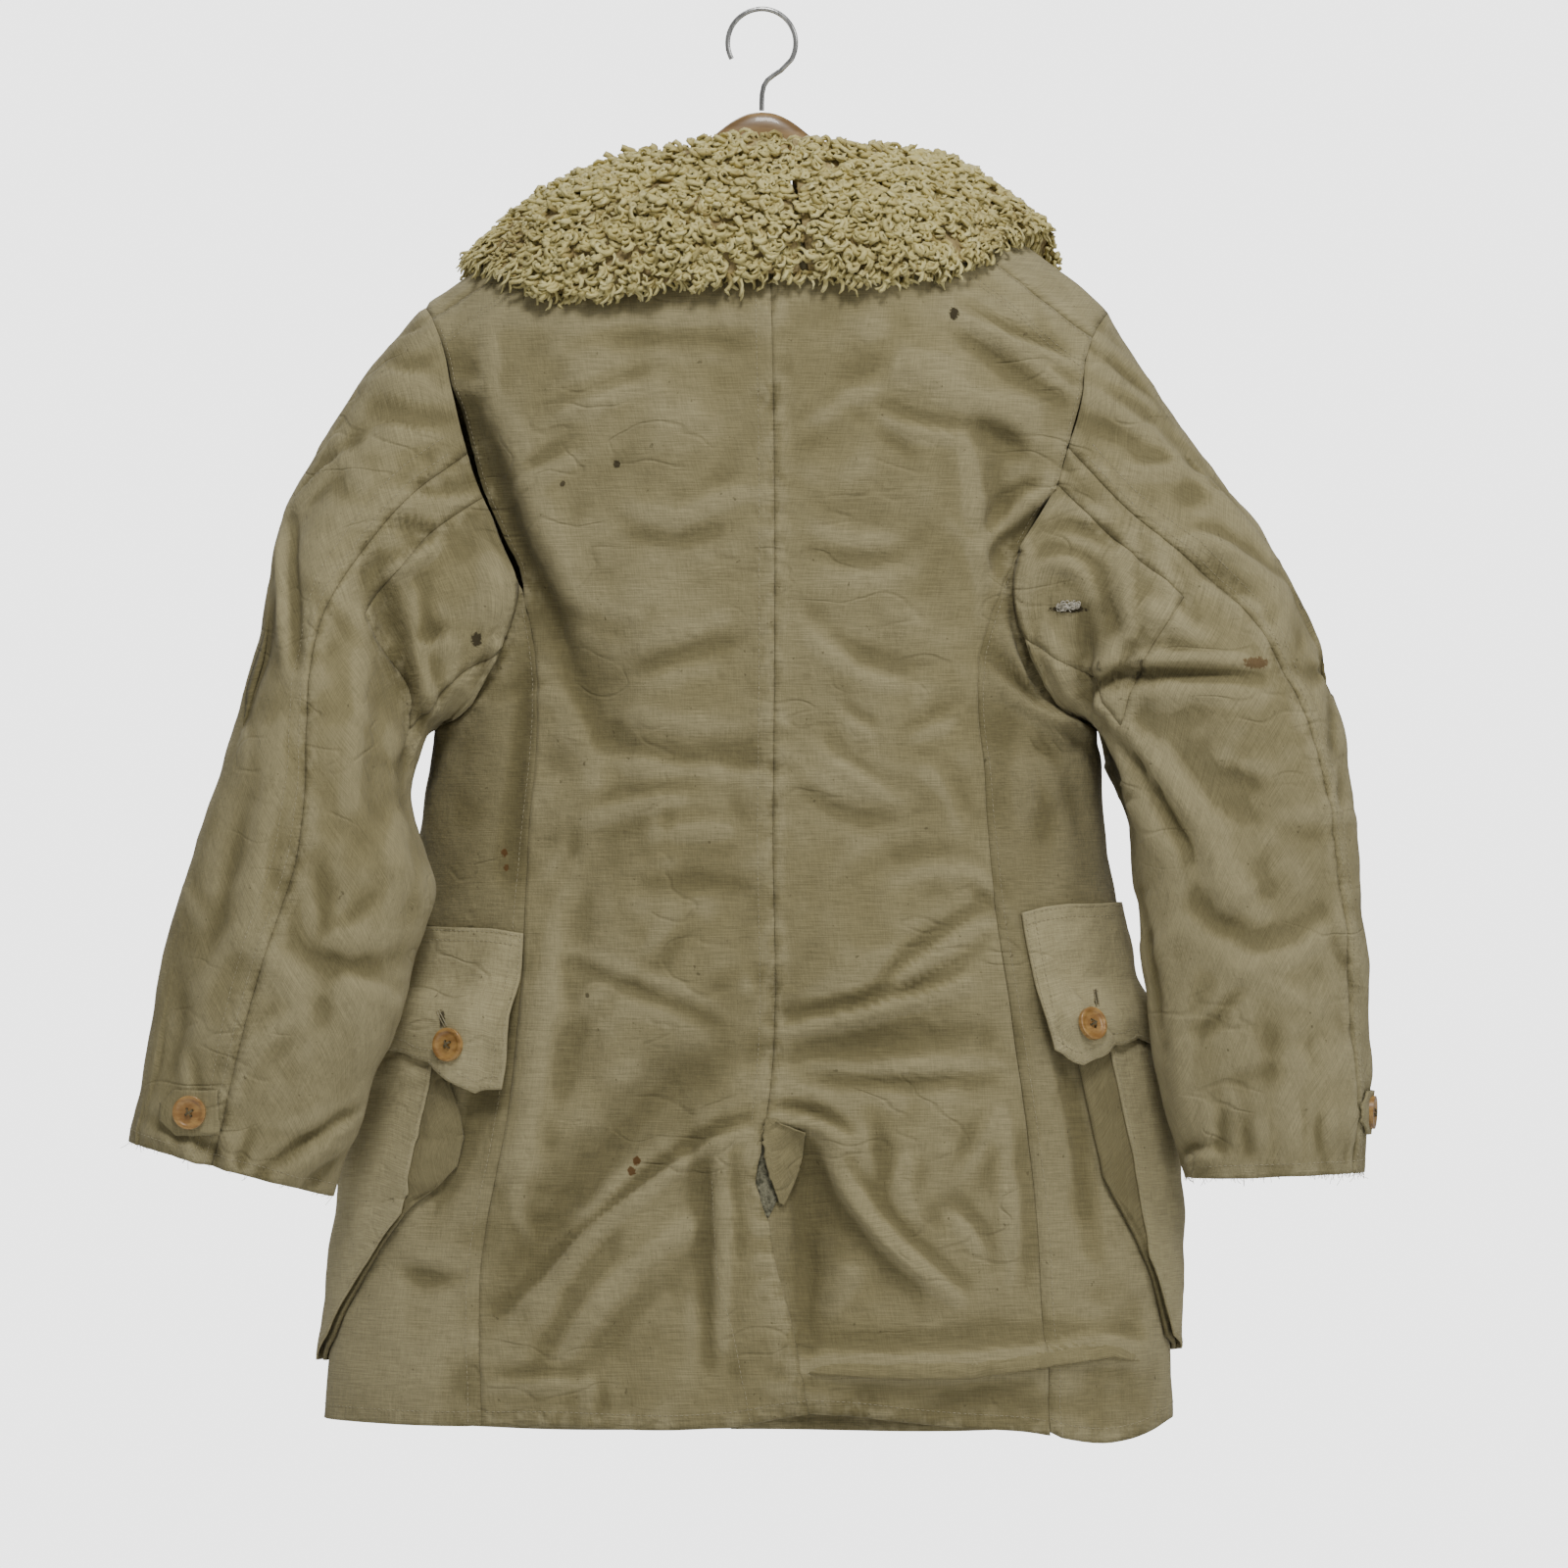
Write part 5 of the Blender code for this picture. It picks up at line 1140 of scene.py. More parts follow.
@dataclass(frozen=True)
class Canvas:
    """The faded, slubby canvas of the shell; darker and lighter copies of it paint shade and light on
    some parts.
    """

    name: str = "canvas"
    base: tuple[float, float, float] = (0.232, 0.198, 0.098)
    faded: tuple[float, float, float] = (0.345, 0.302, 0.172)
    deep: tuple[float, float, float] = (0.128, 0.107, 0.046)
    marks: tuple[Mark, ...] = MARKS
    rough: float = 0.93

    def build(self) -> bpy.types.Material:
        """Return the canvas as a material."""
        sheet, shader, made = new_surface(self.name)
        uv = sheet.add("UVMap", uv_map="cloth").outputs[0]
        place = sheet.add("TexCoord").outputs["Object"]
        tone = sheet.add("Attribute", attribute_name="tone")
        split = sheet.add("SeparateColor")
        sheet.put(tone.outputs["Color"], split.inputs[0])
        ridge, seam, height = split.outputs[0], split.outputs[1], split.outputs[2]
        # One minus the tone's alpha is painted shade
        painted_shade = sheet.math("SUBTRACT", 1.0, tone.outputs["Alpha"], True)
        weave = sheet.group("weave", Place=uv)
        blot = sheet.group("blotches", Place=place)
        colour = sheet.mix(sheet.math("MULTIPLY", blot.outputs["Broad"], 0.55), (*self.base, 1.0),
            (*self.faded, 1.0))
        # Painted highlight: the canvas turns lighter on the ridges of its folds
        painted_ridge_highlight = sheet.steps(ridge, 0.5, 0.95, 0.0, 0.5)
        colour = sheet.mix(painted_ridge_highlight, colour, (*self.faded, 1.0))
        # Painted shade: the canvas turns darker in the hollows between its folds
        painted_hollow_shade = sheet.steps(ridge, 0.5, 0.05, 0.0, 0.48)
        colour = sheet.mix(painted_hollow_shade, colour, (*self.deep, 1.0))
        grimy = sheet.math("MULTIPLY", blot.outputs["Stain"], 0.32)
        colour = sheet.mix(grimy, colour, (*self.deep, 1.0))
        # Painted shade: the canvas turns darker where creases press it in, and on slabs whose tone is
        # below a half
        painted_crease_shade = sheet.steps(height, 0.5, 0.1, 0.0, 0.5)
        colour = sheet.mix(painted_crease_shade, colour, (*self.deep, 1.0))
        # Painted shade on the side panels, beside the left sleeve and along the hem and cuffs
        colour = sheet.mix(sheet.math("MULTIPLY", painted_shade, 0.8), colour, (*self.deep, 1.0))
        seam_wear = sheet.math("MULTIPLY", seam, sheet.steps(sheet.noise(sheet.scaled(place, (90.0, 90.0,
            70.0)), 1.0, 3.0), 0.42, 0.66, 0.0, 0.6))
        colour = sheet.mix(seam_wear, colour, (*self.faded, 1.0))
        grain = sheet.steps(weave.outputs["Shade"], 0.28, 0.72, 0.72, 1.26)
        grain_colour = sheet.add("CombineColor")
        for k in range(3):
            sheet.put(grain, grain_colour.inputs[k])
        colour = sheet.mix(1.0, colour, grain_colour.outputs[0], "MULTIPLY")
        specks = sheet.math("MULTIPLY", blot.outputs["Speck"], 0.5)
        colour = sheet.mix(specks, colour, (*DARK, 1.0))
        for mark in self.marks:
            colour = self.marked(sheet, place, colour, mark)
        sheet.fill(shader, Base_Color=colour, Roughness=self.rough, Specular_IOR_Level=0.22,
            Sheen_Weight=0.06, Sheen_Roughness=0.5)
        creased = sheet.noise(sheet.scaled(place, (75.0, 75.0, 60.0)), 1.0, 5.0, 0.6)
        fine = sheet.bump(weave.outputs["Height"], 0.0006, 0.5)
        ribs = sheet.noise(sheet.scaled(place, (55.0, 55.0, 330.0)), 1.0, 2.0, 0.5)
        ribs = sheet.math("MULTIPLY", sheet.math("MULTIPLY", ribs, seam), 0.55)
        level = sheet.add("SeparateXYZ")
        sheet.put(place, level.inputs[0])
        gathers = sheet.noise(sheet.scaled(place, (210.0, 210.0, 45.0)), 1.0, 2.0, 0.5)
        gathers = sheet.math("MULTIPLY", sheet.math("MULTIPLY", gathers, seam),
            sheet.steps(level.outputs[2], -0.928, -0.945, 0.0, 0.9))
        ribs = sheet.math("ADD", ribs, gathers)
        crumple = sheet.noise(sheet.scaled(place, (15.0, 15.0, 30.0)), 1.0, 1.5, 0.5)
        line = sheet.steps(sheet.math("ABSOLUTE", sheet.math("SUBTRACT", crumple, 0.5)), 0.0, 0.03, 0.0,
            1.0)
        patchy = sheet.steps(sheet.noise(sheet.scaled(place, (11.0, 11.0, 11.0)), 1.0, 1.0), 0.48, 0.62,
            0.0, 0.32)
        ribs = sheet.math("ADD", ribs, sheet.math("MULTIPLY", line, patchy))
        broad = sheet.bump(sheet.math("ADD", creased, ribs), 0.004, 0.55)
        sheet.put(fine.outputs[0], broad.inputs["Normal"])
        sheet.put(broad.outputs[0], shader.inputs["Normal"])
        return made

    @staticmethod
    def marked(sheet: NodeSheet, place: bpy.types.NodeSocket, colour: bpy.types.NodeSocket,
            mark: Mark) -> bpy.types.NodeSocket:
        """Return a colour with one stain laid over it, on the back alone."""
        x, drop = seen(mark.px, mark.py)
        scale = (1.0 / (mark.wide * MM), 0.0, 1.0 / (mark.high * MM))
        at = sheet.scaled(place, scale, (-x * MM * scale[0], 0.0, drop * MM * scale[2]))
        ragged = sheet.noise(sheet.scaled(place, (500.0, 500.0, 500.0)), 1.0, 2.0)
        length = sheet.add("VectorMath", operation="LENGTH")
        sheet.put(at, length.inputs[0])
        away = sheet.math("ADD", length.outputs["Value"], sheet.math("MULTIPLY", sheet.math("SUBTRACT",
            ragged, 0.5), 1.3))
        spot = sheet.steps(away, 1.15, 0.75, 0.0, mark.strength)
        depth = sheet.add("SeparateXYZ")
        sheet.put(place, depth.inputs[0])
        behind = sheet.steps(depth.outputs[1], -0.02, -0.03)
        return sheet.mix(sheet.math("MULTIPLY", spot, behind), colour, (*mark.colour, 1.0))


@dataclass(frozen=True)
class Fuzz:
    """Woolly lining: matted, soft and uneven."""

    name: str = "fuzzy_lining"
    light: tuple[float, float, float] = (0.25, 0.235, 0.15)
    dark: tuple[float, float, float] = (0.075, 0.072, 0.04)

    def build(self) -> bpy.types.Material:
        """Return the lining as a material."""
        sheet, shader, made = new_surface(self.name)
        place = sheet.add("TexCoord").outputs["Object"]
        curls = sheet.noise(sheet.scaled(place, (260.0, 260.0, 260.0)), 1.0, 4.0, 0.7)
        colour = sheet.mix(sheet.steps(curls, 0.35, 0.65), (*self.dark, 1.0), (*self.light, 1.0))
        sheet.fill(shader, Base_Color=colour, Roughness=1.0, Sheen_Weight=0.08)
        bump = sheet.add("Bump")
        sheet.fill(bump, Distance=0.004, Height=curls)
        sheet.put(bump.outputs[0], shader.inputs["Normal"])
        return made


@dataclass(frozen=True)
class Fleece:
    """Shearling locks: pale tips over yellower, darker roots."""

    name: str = "shearling_locks"
    root: tuple[float, float, float] = (0.30, 0.215, 0.065)
    middle: tuple[float, float, float] = (0.63, 0.54, 0.205)
    tip: tuple[float, float, float] = (0.88, 0.80, 0.40)

    def build(self) -> bpy.types.Material:
        """Return the fleece as a material: UV runs along each lock, then by a lock's number."""
        sheet, shader, made = new_surface(self.name)
        uv = sheet.add("UVMap", uv_map="cloth").outputs[0]
        place = sheet.add("TexCoord").outputs["Object"]
        split = sheet.add("SeparateXYZ")
        sheet.put(uv, split.inputs[0])
        along_lock = split.outputs[0]
        colour = sheet.mix(sheet.steps(along_lock, 0.0, 0.5), (*self.root, 1.0), (*self.middle, 1.0))
        own = sheet.add("TexWhiteNoise", noise_dimensions="1D")
        sheet.put(sheet.math("FLOOR", split.outputs[1]), own.inputs["W"])
        pale = sheet.math("MULTIPLY", own.outputs[0], 0.8)
        colour = sheet.mix(sheet.math("MULTIPLY", sheet.steps(along_lock, 0.2, 1.0), pale), colour,
            (*self.tip, 1.0))
        grime = sheet.noise(sheet.scaled(place, (16.0, 16.0, 22.0)), 1.0, 4.0, 0.6)
        colour = sheet.mix(sheet.steps(grime, 0.5, 0.75, 0.0, 0.45), colour, (*self.root, 1.0))
        strands = sheet.noise(sheet.scaled(uv, (6.0, 46.0, 1.0)), 1.0, 2.0, 0.6)
        shade = sheet.steps(strands, 0.3, 0.7, 0.78, 1.15)
        grey = sheet.add("CombineColor")
        for k in range(3):
            sheet.put(shade, grey.inputs[k])
        colour = sheet.mix(1.0, colour, grey.outputs[0], "MULTIPLY")
        sheet.fill(shader, Base_Color=colour, Roughness=0.7, Specular_IOR_Level=0.25, Sheen_Weight=0.1)
        sheet.put(sheet.bump(strands, 0.0008, 0.6).outputs[0], shader.inputs["Normal"])
        return made


@dataclass(frozen=True)
class Plain:
    """A finish of two colours that a fine grain mixes: horn, thread, wood or steel."""

    name: str
    light: tuple[float, float, float]
    dark: tuple[float, float, float]
    rough: float
    metal: float = 0.0
    grain: tuple[float, float, float] = (300.0, 300.0, 300.0)
    relief: float = 0.0002
    coat: float = 0.0

    def build(self) -> bpy.types.Material:
        """Return the finish as a material."""
        sheet, shader, made = new_surface(self.name)
        place = sheet.add("TexCoord").outputs["Object"]
        grain = sheet.noise(sheet.scaled(place, self.grain), 1.0, 5.0, 0.62)
        colour = sheet.mix(sheet.steps(grain, 0.34, 0.66), (*self.dark, 1.0), (*self.light, 1.0))
        rough = sheet.steps(grain, 0.3, 0.7, self.rough * 0.85, min(self.rough * 1.15, 1.0))
        sheet.fill(shader, Base_Color=colour, Roughness=rough, Metallic=self.metal,
            Coat_Weight=self.coat)
        sheet.put(sheet.bump(grain, self.relief, 0.5).outputs[0], shader.inputs["Normal"])
        return made


class Finishes:
    """Every finish of the coat, built once."""

    def __init__(self) -> None:
        """Build the shared groups and the materials."""
        SharedEffects.make()
        self.canvas = Canvas().build()
        # Darker copy of the canvas: painted shade on the pocket bellows and on the strip behind the vent
        self.canvas_dark = Canvas("canvas_dark", (0.175, 0.148, 0.07), (0.26, 0.225, 0.12),
            (0.095, 0.078, 0.034), ()).build()
        # Lighter copy of the canvas: painted light on the pocket faces and flaps
        self.canvas_painted_light = Canvas("canvas_painted_light", (0.31, 0.268, 0.142), (0.44, 0.388, 0.23),
            (0.17, 0.143, 0.066)).build()
        self.lining = Fuzz().build()
        self.white_wool = Fuzz("white_wool", (0.72, 0.68, 0.56), (0.42, 0.38, 0.28)).build()
        self.fleece = Fleece().build()
        self.hide = Plain("shearling_hide", (0.42, 0.33, 0.15), (0.20, 0.145, 0.055), 0.9,
            grain=(180.0, 180.0, 180.0), relief=0.002).build()
        self.horn = Plain("horn", (0.42, 0.245, 0.075), (0.25, 0.125, 0.034), 0.34,
            grain=(90.0, 60.0, 240.0), relief=0.0001, coat=0.35).build()
        self.thread = Plain("thread", (0.50, 0.45, 0.30), (0.30, 0.26, 0.15), 0.85,
            grain=(900.0, 900.0, 900.0)).build()
        self.dark_thread = Plain("buttonhole_thread", (0.17, 0.14, 0.07), (0.075, 0.06, 0.03), 0.9,
            grain=(900.0, 900.0, 900.0)).build()
        self.wood = Plain("hanger_beech", (0.30, 0.185, 0.07), (0.17, 0.098, 0.035), 0.38,
            grain=(14.0, 190.0, 120.0), relief=0.0002, coat=0.3).build()
        self.steel = Plain("hook_steel", (0.60, 0.60, 0.58), (0.38, 0.38, 0.37), 0.28, 1.0,
            grain=(400.0, 400.0, 60.0), relief=0.0001).build()


def dress(piece: bpy.types.Object, *surfaces: bpy.types.Material) -> None:
    """Give a piece its materials, in the order of its face numbers."""
    piece.data.materials.clear()
    for surface in surfaces:
        piece.data.materials.append(surface)


# Creases as the picture shows them: start, bend and end in its own steps, half-width, push, lean
BACK_CREASES = ((452, 372, 478, 470, 540, 585, 15, -6.0, 0.0),
    (520, 540, 566, 640, 605, 752, 14, -6.0, 0.0), (500, 400, 545, 520, 600, 640, 16, 3.0, 0.0),
    (600, 748, 650, 772, 765, 778, 7, -2.6, -0.6), (640, 686, 690, 668, 755, 655, 10, -2.4, 0.3),
    (560, 690, 600, 730, 610, 820, 14, 3.0, 0.0), (560, 430, 610, 412, 668, 390, 4, 1.3, 0.6),
    (524, 503, 552, 484, 590, 466, 5, 1.8, 0.6), (577, 981, 651, 1005, 740, 1046, 4, -1.4, 0.6),
    (573, 891, 562, 1030, 520, 1240, 13, 3.2, 0.4), (757, 1070, 640, 1105, 512, 1325, 19, -5.0, 0.0),
    (650, 860, 700, 842, 760, 850, 10, 1.5, 0.3), (640, 905, 700, 893, 765, 905, 9, -1.4, 0.3),
    (590, 350, 680, 340, 760, 352, 8, -1.2, 0.4), (760, 1142, 690, 1150, 516, 1332, 4, -3.6, 0.7),
    (724, 1238, 640, 1280, 560, 1390, 13, 3.0, 0.3), (724, 1172, 721, 1262, 724, 1390, 4, -2.6, 0.8),
    (600, 1300, 560, 1370, 545, 1400, 12, -2.5, 0.3), (976, 324, 1030, 352, 1100, 372, 5, 2.4, 0.6),
    (976, 342, 1030, 375, 1085, 408, 9, -2.6, 0.2), (1009, 343, 1060, 380, 1100, 400, 5, 1.6, 0.5),
    (882, 425, 940, 450, 980, 447, 5, 1.8, 0.7), (980, 447, 1000, 530, 1000, 617, 12, 3.4, 0.4),
    (984, 433, 1030, 450, 1050, 470, 11, -3.6, 0.2), (1000, 560, 1030, 530, 1082, 490, 7, 2.6, 0.7),
    (1012, 575, 1045, 540, 1072, 508, 9, -4.4, 0.0), (857, 731, 870, 745, 898, 752, 4, 1.3, 0.7),
    (833, 763, 870, 800, 915, 816, 6, 1.4, 0.5), (812, 796, 850, 835, 905, 838, 7, -1.3, 0.4),
    (930, 780, 965, 800, 975, 850, 9, 1.5, 0.3), (794, 1052, 899, 1035, 979, 1004, 6, 3.2, 1.0),
    (800, 1075, 900, 1065, 1000, 1050, 14, -3.4, 0.0), (827, 1098, 907, 1106, 1013, 1098, 4, -2.2, 0.7),
    (895, 1027, 928, 985, 1013, 934, 6, 2.4, 0.8), (785, 1140, 830, 1138, 857, 1161, 4, 3.0, 1.0),
    (853, 1195, 890, 1262, 970, 1320, 7, 2.8, 0.6), (815, 1178, 822, 1271, 822, 1368, 13, -5.0, 0.0),
    (1021, 1145, 1032, 1229, 1029, 1300, 8, 2.2, 0.5), (966, 1237, 985, 1250, 996, 1275, 6, 2.0, 0.5),
    (819, 1394, 970, 1402, 1097, 1385, 6, 4.0, -0.9), (1097, 1385, 1130, 1380, 1164, 1389, 6, 3.4, -0.9),
    (890, 1130, 905, 1190, 900, 1230, 10, -2.4, 0.2), (1025, 645, 1045, 710, 1098, 737, 5, 3.4, 0.9),
    (1062, 590, 1040, 650, 1092, 725, 4, -2.8, 0.8), (1012, 690, 1060, 740, 1137, 752, 6, 4.6, 1.0),
    (1033, 780, 1050, 800, 1045, 840, 9, 2.4, 0.4), (1063, 989, 1090, 1050, 1118, 1072, 7, 2.8, 0.7),
    (1076, 1094, 1100, 1140, 1112, 1270, 10, -2.6, 0.3),
    (1055, 1052, 1080, 1120, 1090, 1200, 9, 2.2, 0.4), (1085, 790, 1110, 830, 1108, 880, 10, -2.4, 0.3),
    (520, 952, 470, 1090, 410, 1260, 11, 3.6, 0.5), (402, 1291, 440, 1310, 470, 1300, 8, -2.2, 0.3),
    (508, 1413, 555, 1411, 598, 1409, 3, 1.6, 0.8), (602, 1402, 603, 1430, 600, 1449, 3, 1.4, 0.8),
    (826, 1160, 838, 1240, 824, 1335, 14, -4.6, 0.0), (846, 1182, 880, 1240, 962, 1312, 9, 2.6, 0.5),
    (700, 1140, 716, 1190, 712, 1300, 9, -2.4, 0.2), (640, 1190, 590, 1260, 560, 1330, 11, 2.4, 0.4),
    (640, 540, 690, 560, 745, 540, 8, -1.5, 0.5), (830, 560, 880, 585, 930, 560, 8, -1.6, 0.5),
    (600, 840, 660, 812, 730, 820, 7, 1.5, 0.6), (820, 640, 850, 690, 930, 705, 9, 1.8, 0.5),
    (540, 640, 528, 760, 520, 880, 10, -3.0, 0.0), (900, 900, 950, 880, 1005, 900, 10, 1.5, 0.3),)
LEFT_SLEEVE_CREASES = ((291, 523, 330, 478, 373, 455, 5, 2.4, 0.7),
    (291, 523, 284, 600, 294, 682, 6, 3.6, 0.9), (276, 593, 268, 660, 240, 770, 12, -4.0, 0.0),
    (377, 562, 412, 640, 436, 812, 13, -7.5, 0.0), (392, 590, 425, 575, 446, 556, 6, 3.4, 0.5),
    (419, 613, 424, 680, 448, 738, 7, 4.0, 0.4), (392, 531, 420, 540, 452, 547, 6, -3.2, 0.3),
    (408, 508, 450, 520, 486, 510, 6, 2.6, 0.5), (427, 663, 445, 655, 462, 660, 4, 2.6, 0.8),
    (430, 732, 450, 738, 478, 734, 4, -2.6, 0.7), (500, 560, 508, 600, 498, 645, 14, 4.6, 0.0),
    (388, 383, 415, 395, 440, 385, 7, 2.0, 0.5), (370, 405, 400, 420, 445, 425, 7, -1.8, 0.5),
    (395, 350, 420, 345, 447, 338, 4, 1.8, 0.6), (380, 440, 410, 448, 452, 446, 6, 1.8, 0.5),
    (300, 700, 270, 860, 262, 955, 12, 2.4, 0.4), (365, 640, 372, 740, 352, 860, 12, 2.4, 0.3),
    (262, 960, 300, 980, 316, 1060, 13, 2.6, 0.2), (316, 964, 345, 1000, 410, 975, 11, -3.4, 0.2),
    (365, 1133, 315, 1160, 275, 1193, 4, -3.4, 0.8), (360, 1160, 320, 1185, 290, 1205, 7, 2.6, 0.4),
    (242, 1111, 262, 1060, 308, 1034, 8, 1.8, 0.4), (185, 1000, 200, 1050, 176, 1100, 10, -2.0, 0.2),
    (196, 1160, 200, 1175, 192, 1192, 4, 2.0, 0.7), (222, 1166, 228, 1185, 222, 1200, 4, -2.2, 0.7),
    (250, 1150, 238, 1180, 236, 1200, 5, 2.4, 0.6), (330, 880, 342, 930, 330, 960, 8, -1.8, 0.3),
    (395, 820, 420, 880, 400, 940, 12, 2.4, 0.2), (150, 1150, 190, 1172, 245, 1190, 4, 1.6, 0.6),
    (256, 820, 240, 900, 222, 960, 10, -2.2, 0.2),)
RIGHT_SLEEVE_CREASES = ((1114, 352, 1150, 378, 1192, 408, 5, -2.4, 0.6),
    (1110, 404, 1200, 455, 1322, 592, 10, 2.8, 0.4), (1112, 430, 1150, 440, 1204, 473, 9, -2.2, 0.2),
    (1147, 486, 1180, 478, 1215, 484, 6, 1.8, 0.5), (1212, 547, 1250, 560, 1294, 590, 7, 3.0, 0.5),
    (1215, 572, 1240, 590, 1274, 604, 9, -3.2, 0.2), (1106, 697, 1168, 680, 1282, 691, 4, -4.0, 0.9),
    (1120, 716, 1180, 704, 1270, 712, 9, 2.8, 0.2), (1351, 645, 1362, 720, 1364, 800, 11, -2.8, 0.2),
    (1120, 733, 1180, 790, 1232, 905, 6, -4.6, 0.8), (1110, 745, 1150, 800, 1200, 900, 10, 3.0, 0.0),
    (1120, 600, 1150, 640, 1150, 680, 12, -3.4, 0.2), (1155, 610, 1185, 640, 1240, 660, 10, 2.6, 0.2),
    (1180, 560, 1190, 600, 1200, 640, 7, 1.8, 0.4), (1202, 892, 1235, 950, 1278, 951, 10, -4.0, 0.3),
    (1257, 985, 1310, 990, 1349, 951, 9, 3.0, 0.4), (1349, 934, 1372, 980, 1383, 1018, 9, -2.4, 0.2),
    (1180, 800, 1230, 840, 1262, 850, 8, 2.2, 0.5), (1205, 775, 1240, 800, 1288, 800, 7, -1.8, 0.4),
    (1230, 1120, 1236, 1150, 1226, 1180, 4, 1.8, 0.6), (1270, 1135, 1268, 1160, 1274, 1180, 4, -1.8,
    0.6), (1310, 1120, 1318, 1150, 1312, 1182, 5, 1.8, 0.5),
    (1345, 1130, 1340, 1150, 1347, 1180, 4, -1.8, 0.6), (1205, 1000, 1195, 1080, 1212, 1150, 10, 2.0,
    0.2), (1290, 1030, 1300, 1080, 1290, 1120, 10, -1.6, 0.2),
    (1195, 420, 1240, 470, 1270, 520, 9, -2.0, 0.2), (1206, 1190, 1222, 1176, 1245, 1180, 4, 2.2, 0.8),
    (1160, 900, 1172, 990, 1185, 1060, 8, -2.6, 0.2), (1064, 582, 1098, 566, 1113, 604, 6, 3.6, 0.5),
    (1103, 628, 1108, 680, 1106, 742, 7, -6.0, 0.0), (1152, 556, 1140, 600, 1150, 648, 7, 3.4, 0.4),
    (1152, 640, 1126, 680, 1108, 696, 6, 3.4, 0.5), (1070, 540, 1110, 530, 1140, 560, 7, -2.4, 0.3),
    (1066, 640, 1075, 680, 1096, 720, 7, 3.0, 0.5),)


def seen_table(rows: tuple[tuple[float, ...], ...]) -> np.ndarray:
    """Return a crease table with its places turned from picture steps to x and drop."""
    table = np.array(rows, float)
    for k in (0, 2, 4):
        table[:, k], table[:, k + 1] = seen(table[:, k], table[:, k + 1])
    return table


class BodyGrid:
    """One hand's body below the armhole, read by the solids' columns and a drop."""

    def __init__(self, xyz: np.ndarray, normals: np.ndarray) -> None:
        """Keep the grid's points and directions."""
        self.xyz = xyz
        self.normals = normals

    @staticmethod
    def fine(column: float) -> float:
        """Return the fine grid's column for one of the solids' columns."""
        if column <= 8:
            return column * 7.0
        if column <= 18:
            return 56.0 + (column - 8.0) * 4.0
        return 96.0 + (column - 18.0) * 7.0

    def column(self, number: int, drops: np.ndarray) -> tuple[np.ndarray, np.ndarray]:
        """Return points and directions on one fine column at drops."""
        keys = -self.xyz[:, number, 2]
        points = [np.interp(drops, keys, self.xyz[:, number, k]) for k in range(3)]
        normals = [np.interp(drops, keys, self.normals[:, number, k]) for k in range(3)]
        return np.stack(points, axis=-1), unit(np.stack(normals, axis=-1))

    def at(self, column: float, drops: np.ndarray) -> tuple[np.ndarray, np.ndarray]:
        """Return points and directions between two fine columns at drops."""
        place = self.fine(column)
        low = int(min(math.floor(place), self.xyz.shape[1] - 2))
        share = place - low
        p, n = self.column(low, drops)
        q, m = self.column(low + 1, drops)
        return p * (1 - share) + q * share, unit(n * (1 - share) + m * share)


@dataclass
class Slab:
    """A piece of cloth laid on a grid: a lower and an upper face joined round the edge."""

    name: str
    base: np.ndarray
    normals: np.ndarray
    lift: np.ndarray
    thickness: np.ndarray

    def build(self, tone: float = 0.5) -> bpy.types.Object:
        """Return the slab as a closed piece with UVs in metres."""
        lower = self.base + self.normals * self.lift[..., None]
        upper = lower + self.normals * self.thickness[..., None]
        rows, columns = lower.shape[:2]
        across = np.linalg.norm(np.diff(upper, axis=1), axis=2)
        down = np.linalg.norm(np.diff(upper, axis=0), axis=2)
        u = np.concatenate([np.zeros((rows, 1)), np.cumsum(across, axis=1)], axis=1)
        v = np.concatenate([np.zeros((1, columns)), np.cumsum(down, axis=0)], axis=0)
        uv = (np.stack([u, v], axis=-1) * MM).reshape(-1, 2)
        count = rows * columns
        ids = np.arange(count).reshape(rows, columns)
        quad = np.stack([ids[:-1, :-1], ids[:-1, 1:], ids[1:, 1:], ids[1:, :-1]], axis=-1).reshape(-1, 4)
        edge = np.concatenate([ids[0, :-1], ids[:-1, -1], ids[-1, :0:-1], ids[:0:-1, 0]])
        after = np.roll(edge, -1)
        rim = np.stack([after, edge, edge + count, after + count], axis=-1)
        faces = np.vstack([quad, quad[:, ::-1] + count, rim])
        points = np.vstack([lower.reshape(-1, 3), upper.reshape(-1, 3)])
        a, b, c = (points[quad[:, k] + count] for k in (3, 2, 1))
        if np.einsum("ij,ij->", np.cross(b - a, c - a), self.normals.reshape(-1, 3)[quad[:, 3]]) < 0:
            faces = faces[:, ::-1]
        uvs = np.vstack([uv, uv])[faces]
        values = np.full((len(points), 4), 0.5)
        values[:, 1] = 0.0
        # A tone below a half darkens the canvas as painted shade
        values[:, 2] = tone
        values[:, 3] = 1.0
        return mesh_piece(self.name, points, [faces], [uvs], values)

    def upper(self) -> np.ndarray:
        """Return the upper face's points."""
        return self.base + self.normals * (self.lift + self.thickness)[..., None]

    def area(self) -> float:
        """Return the upper face's area in square metres, cell by cell."""
        upper = self.upper()
        cells = np.cross(upper[1:, 1:] - upper[:-1, :-1], upper[1:, :-1] - upper[:-1, 1:])
        return float(np.linalg.norm(cells, axis=2).sum() / 2) * MM * MM

    def finish(self, tone: float, surface: bpy.types.Material, slot: str, under: str,
            *nodes: str) -> None:
        """Args:
            tone: the cloth's tone, from 0 to 1.
            surface: the material that it wears.
            slot: the part's slot; not used.
            under: the node that it rests on; not used.
            nodes: the nodes that it stands for.
        """
        piece = self.build(tone)
        dress(piece, surface)
        register(piece, slot, *nodes)


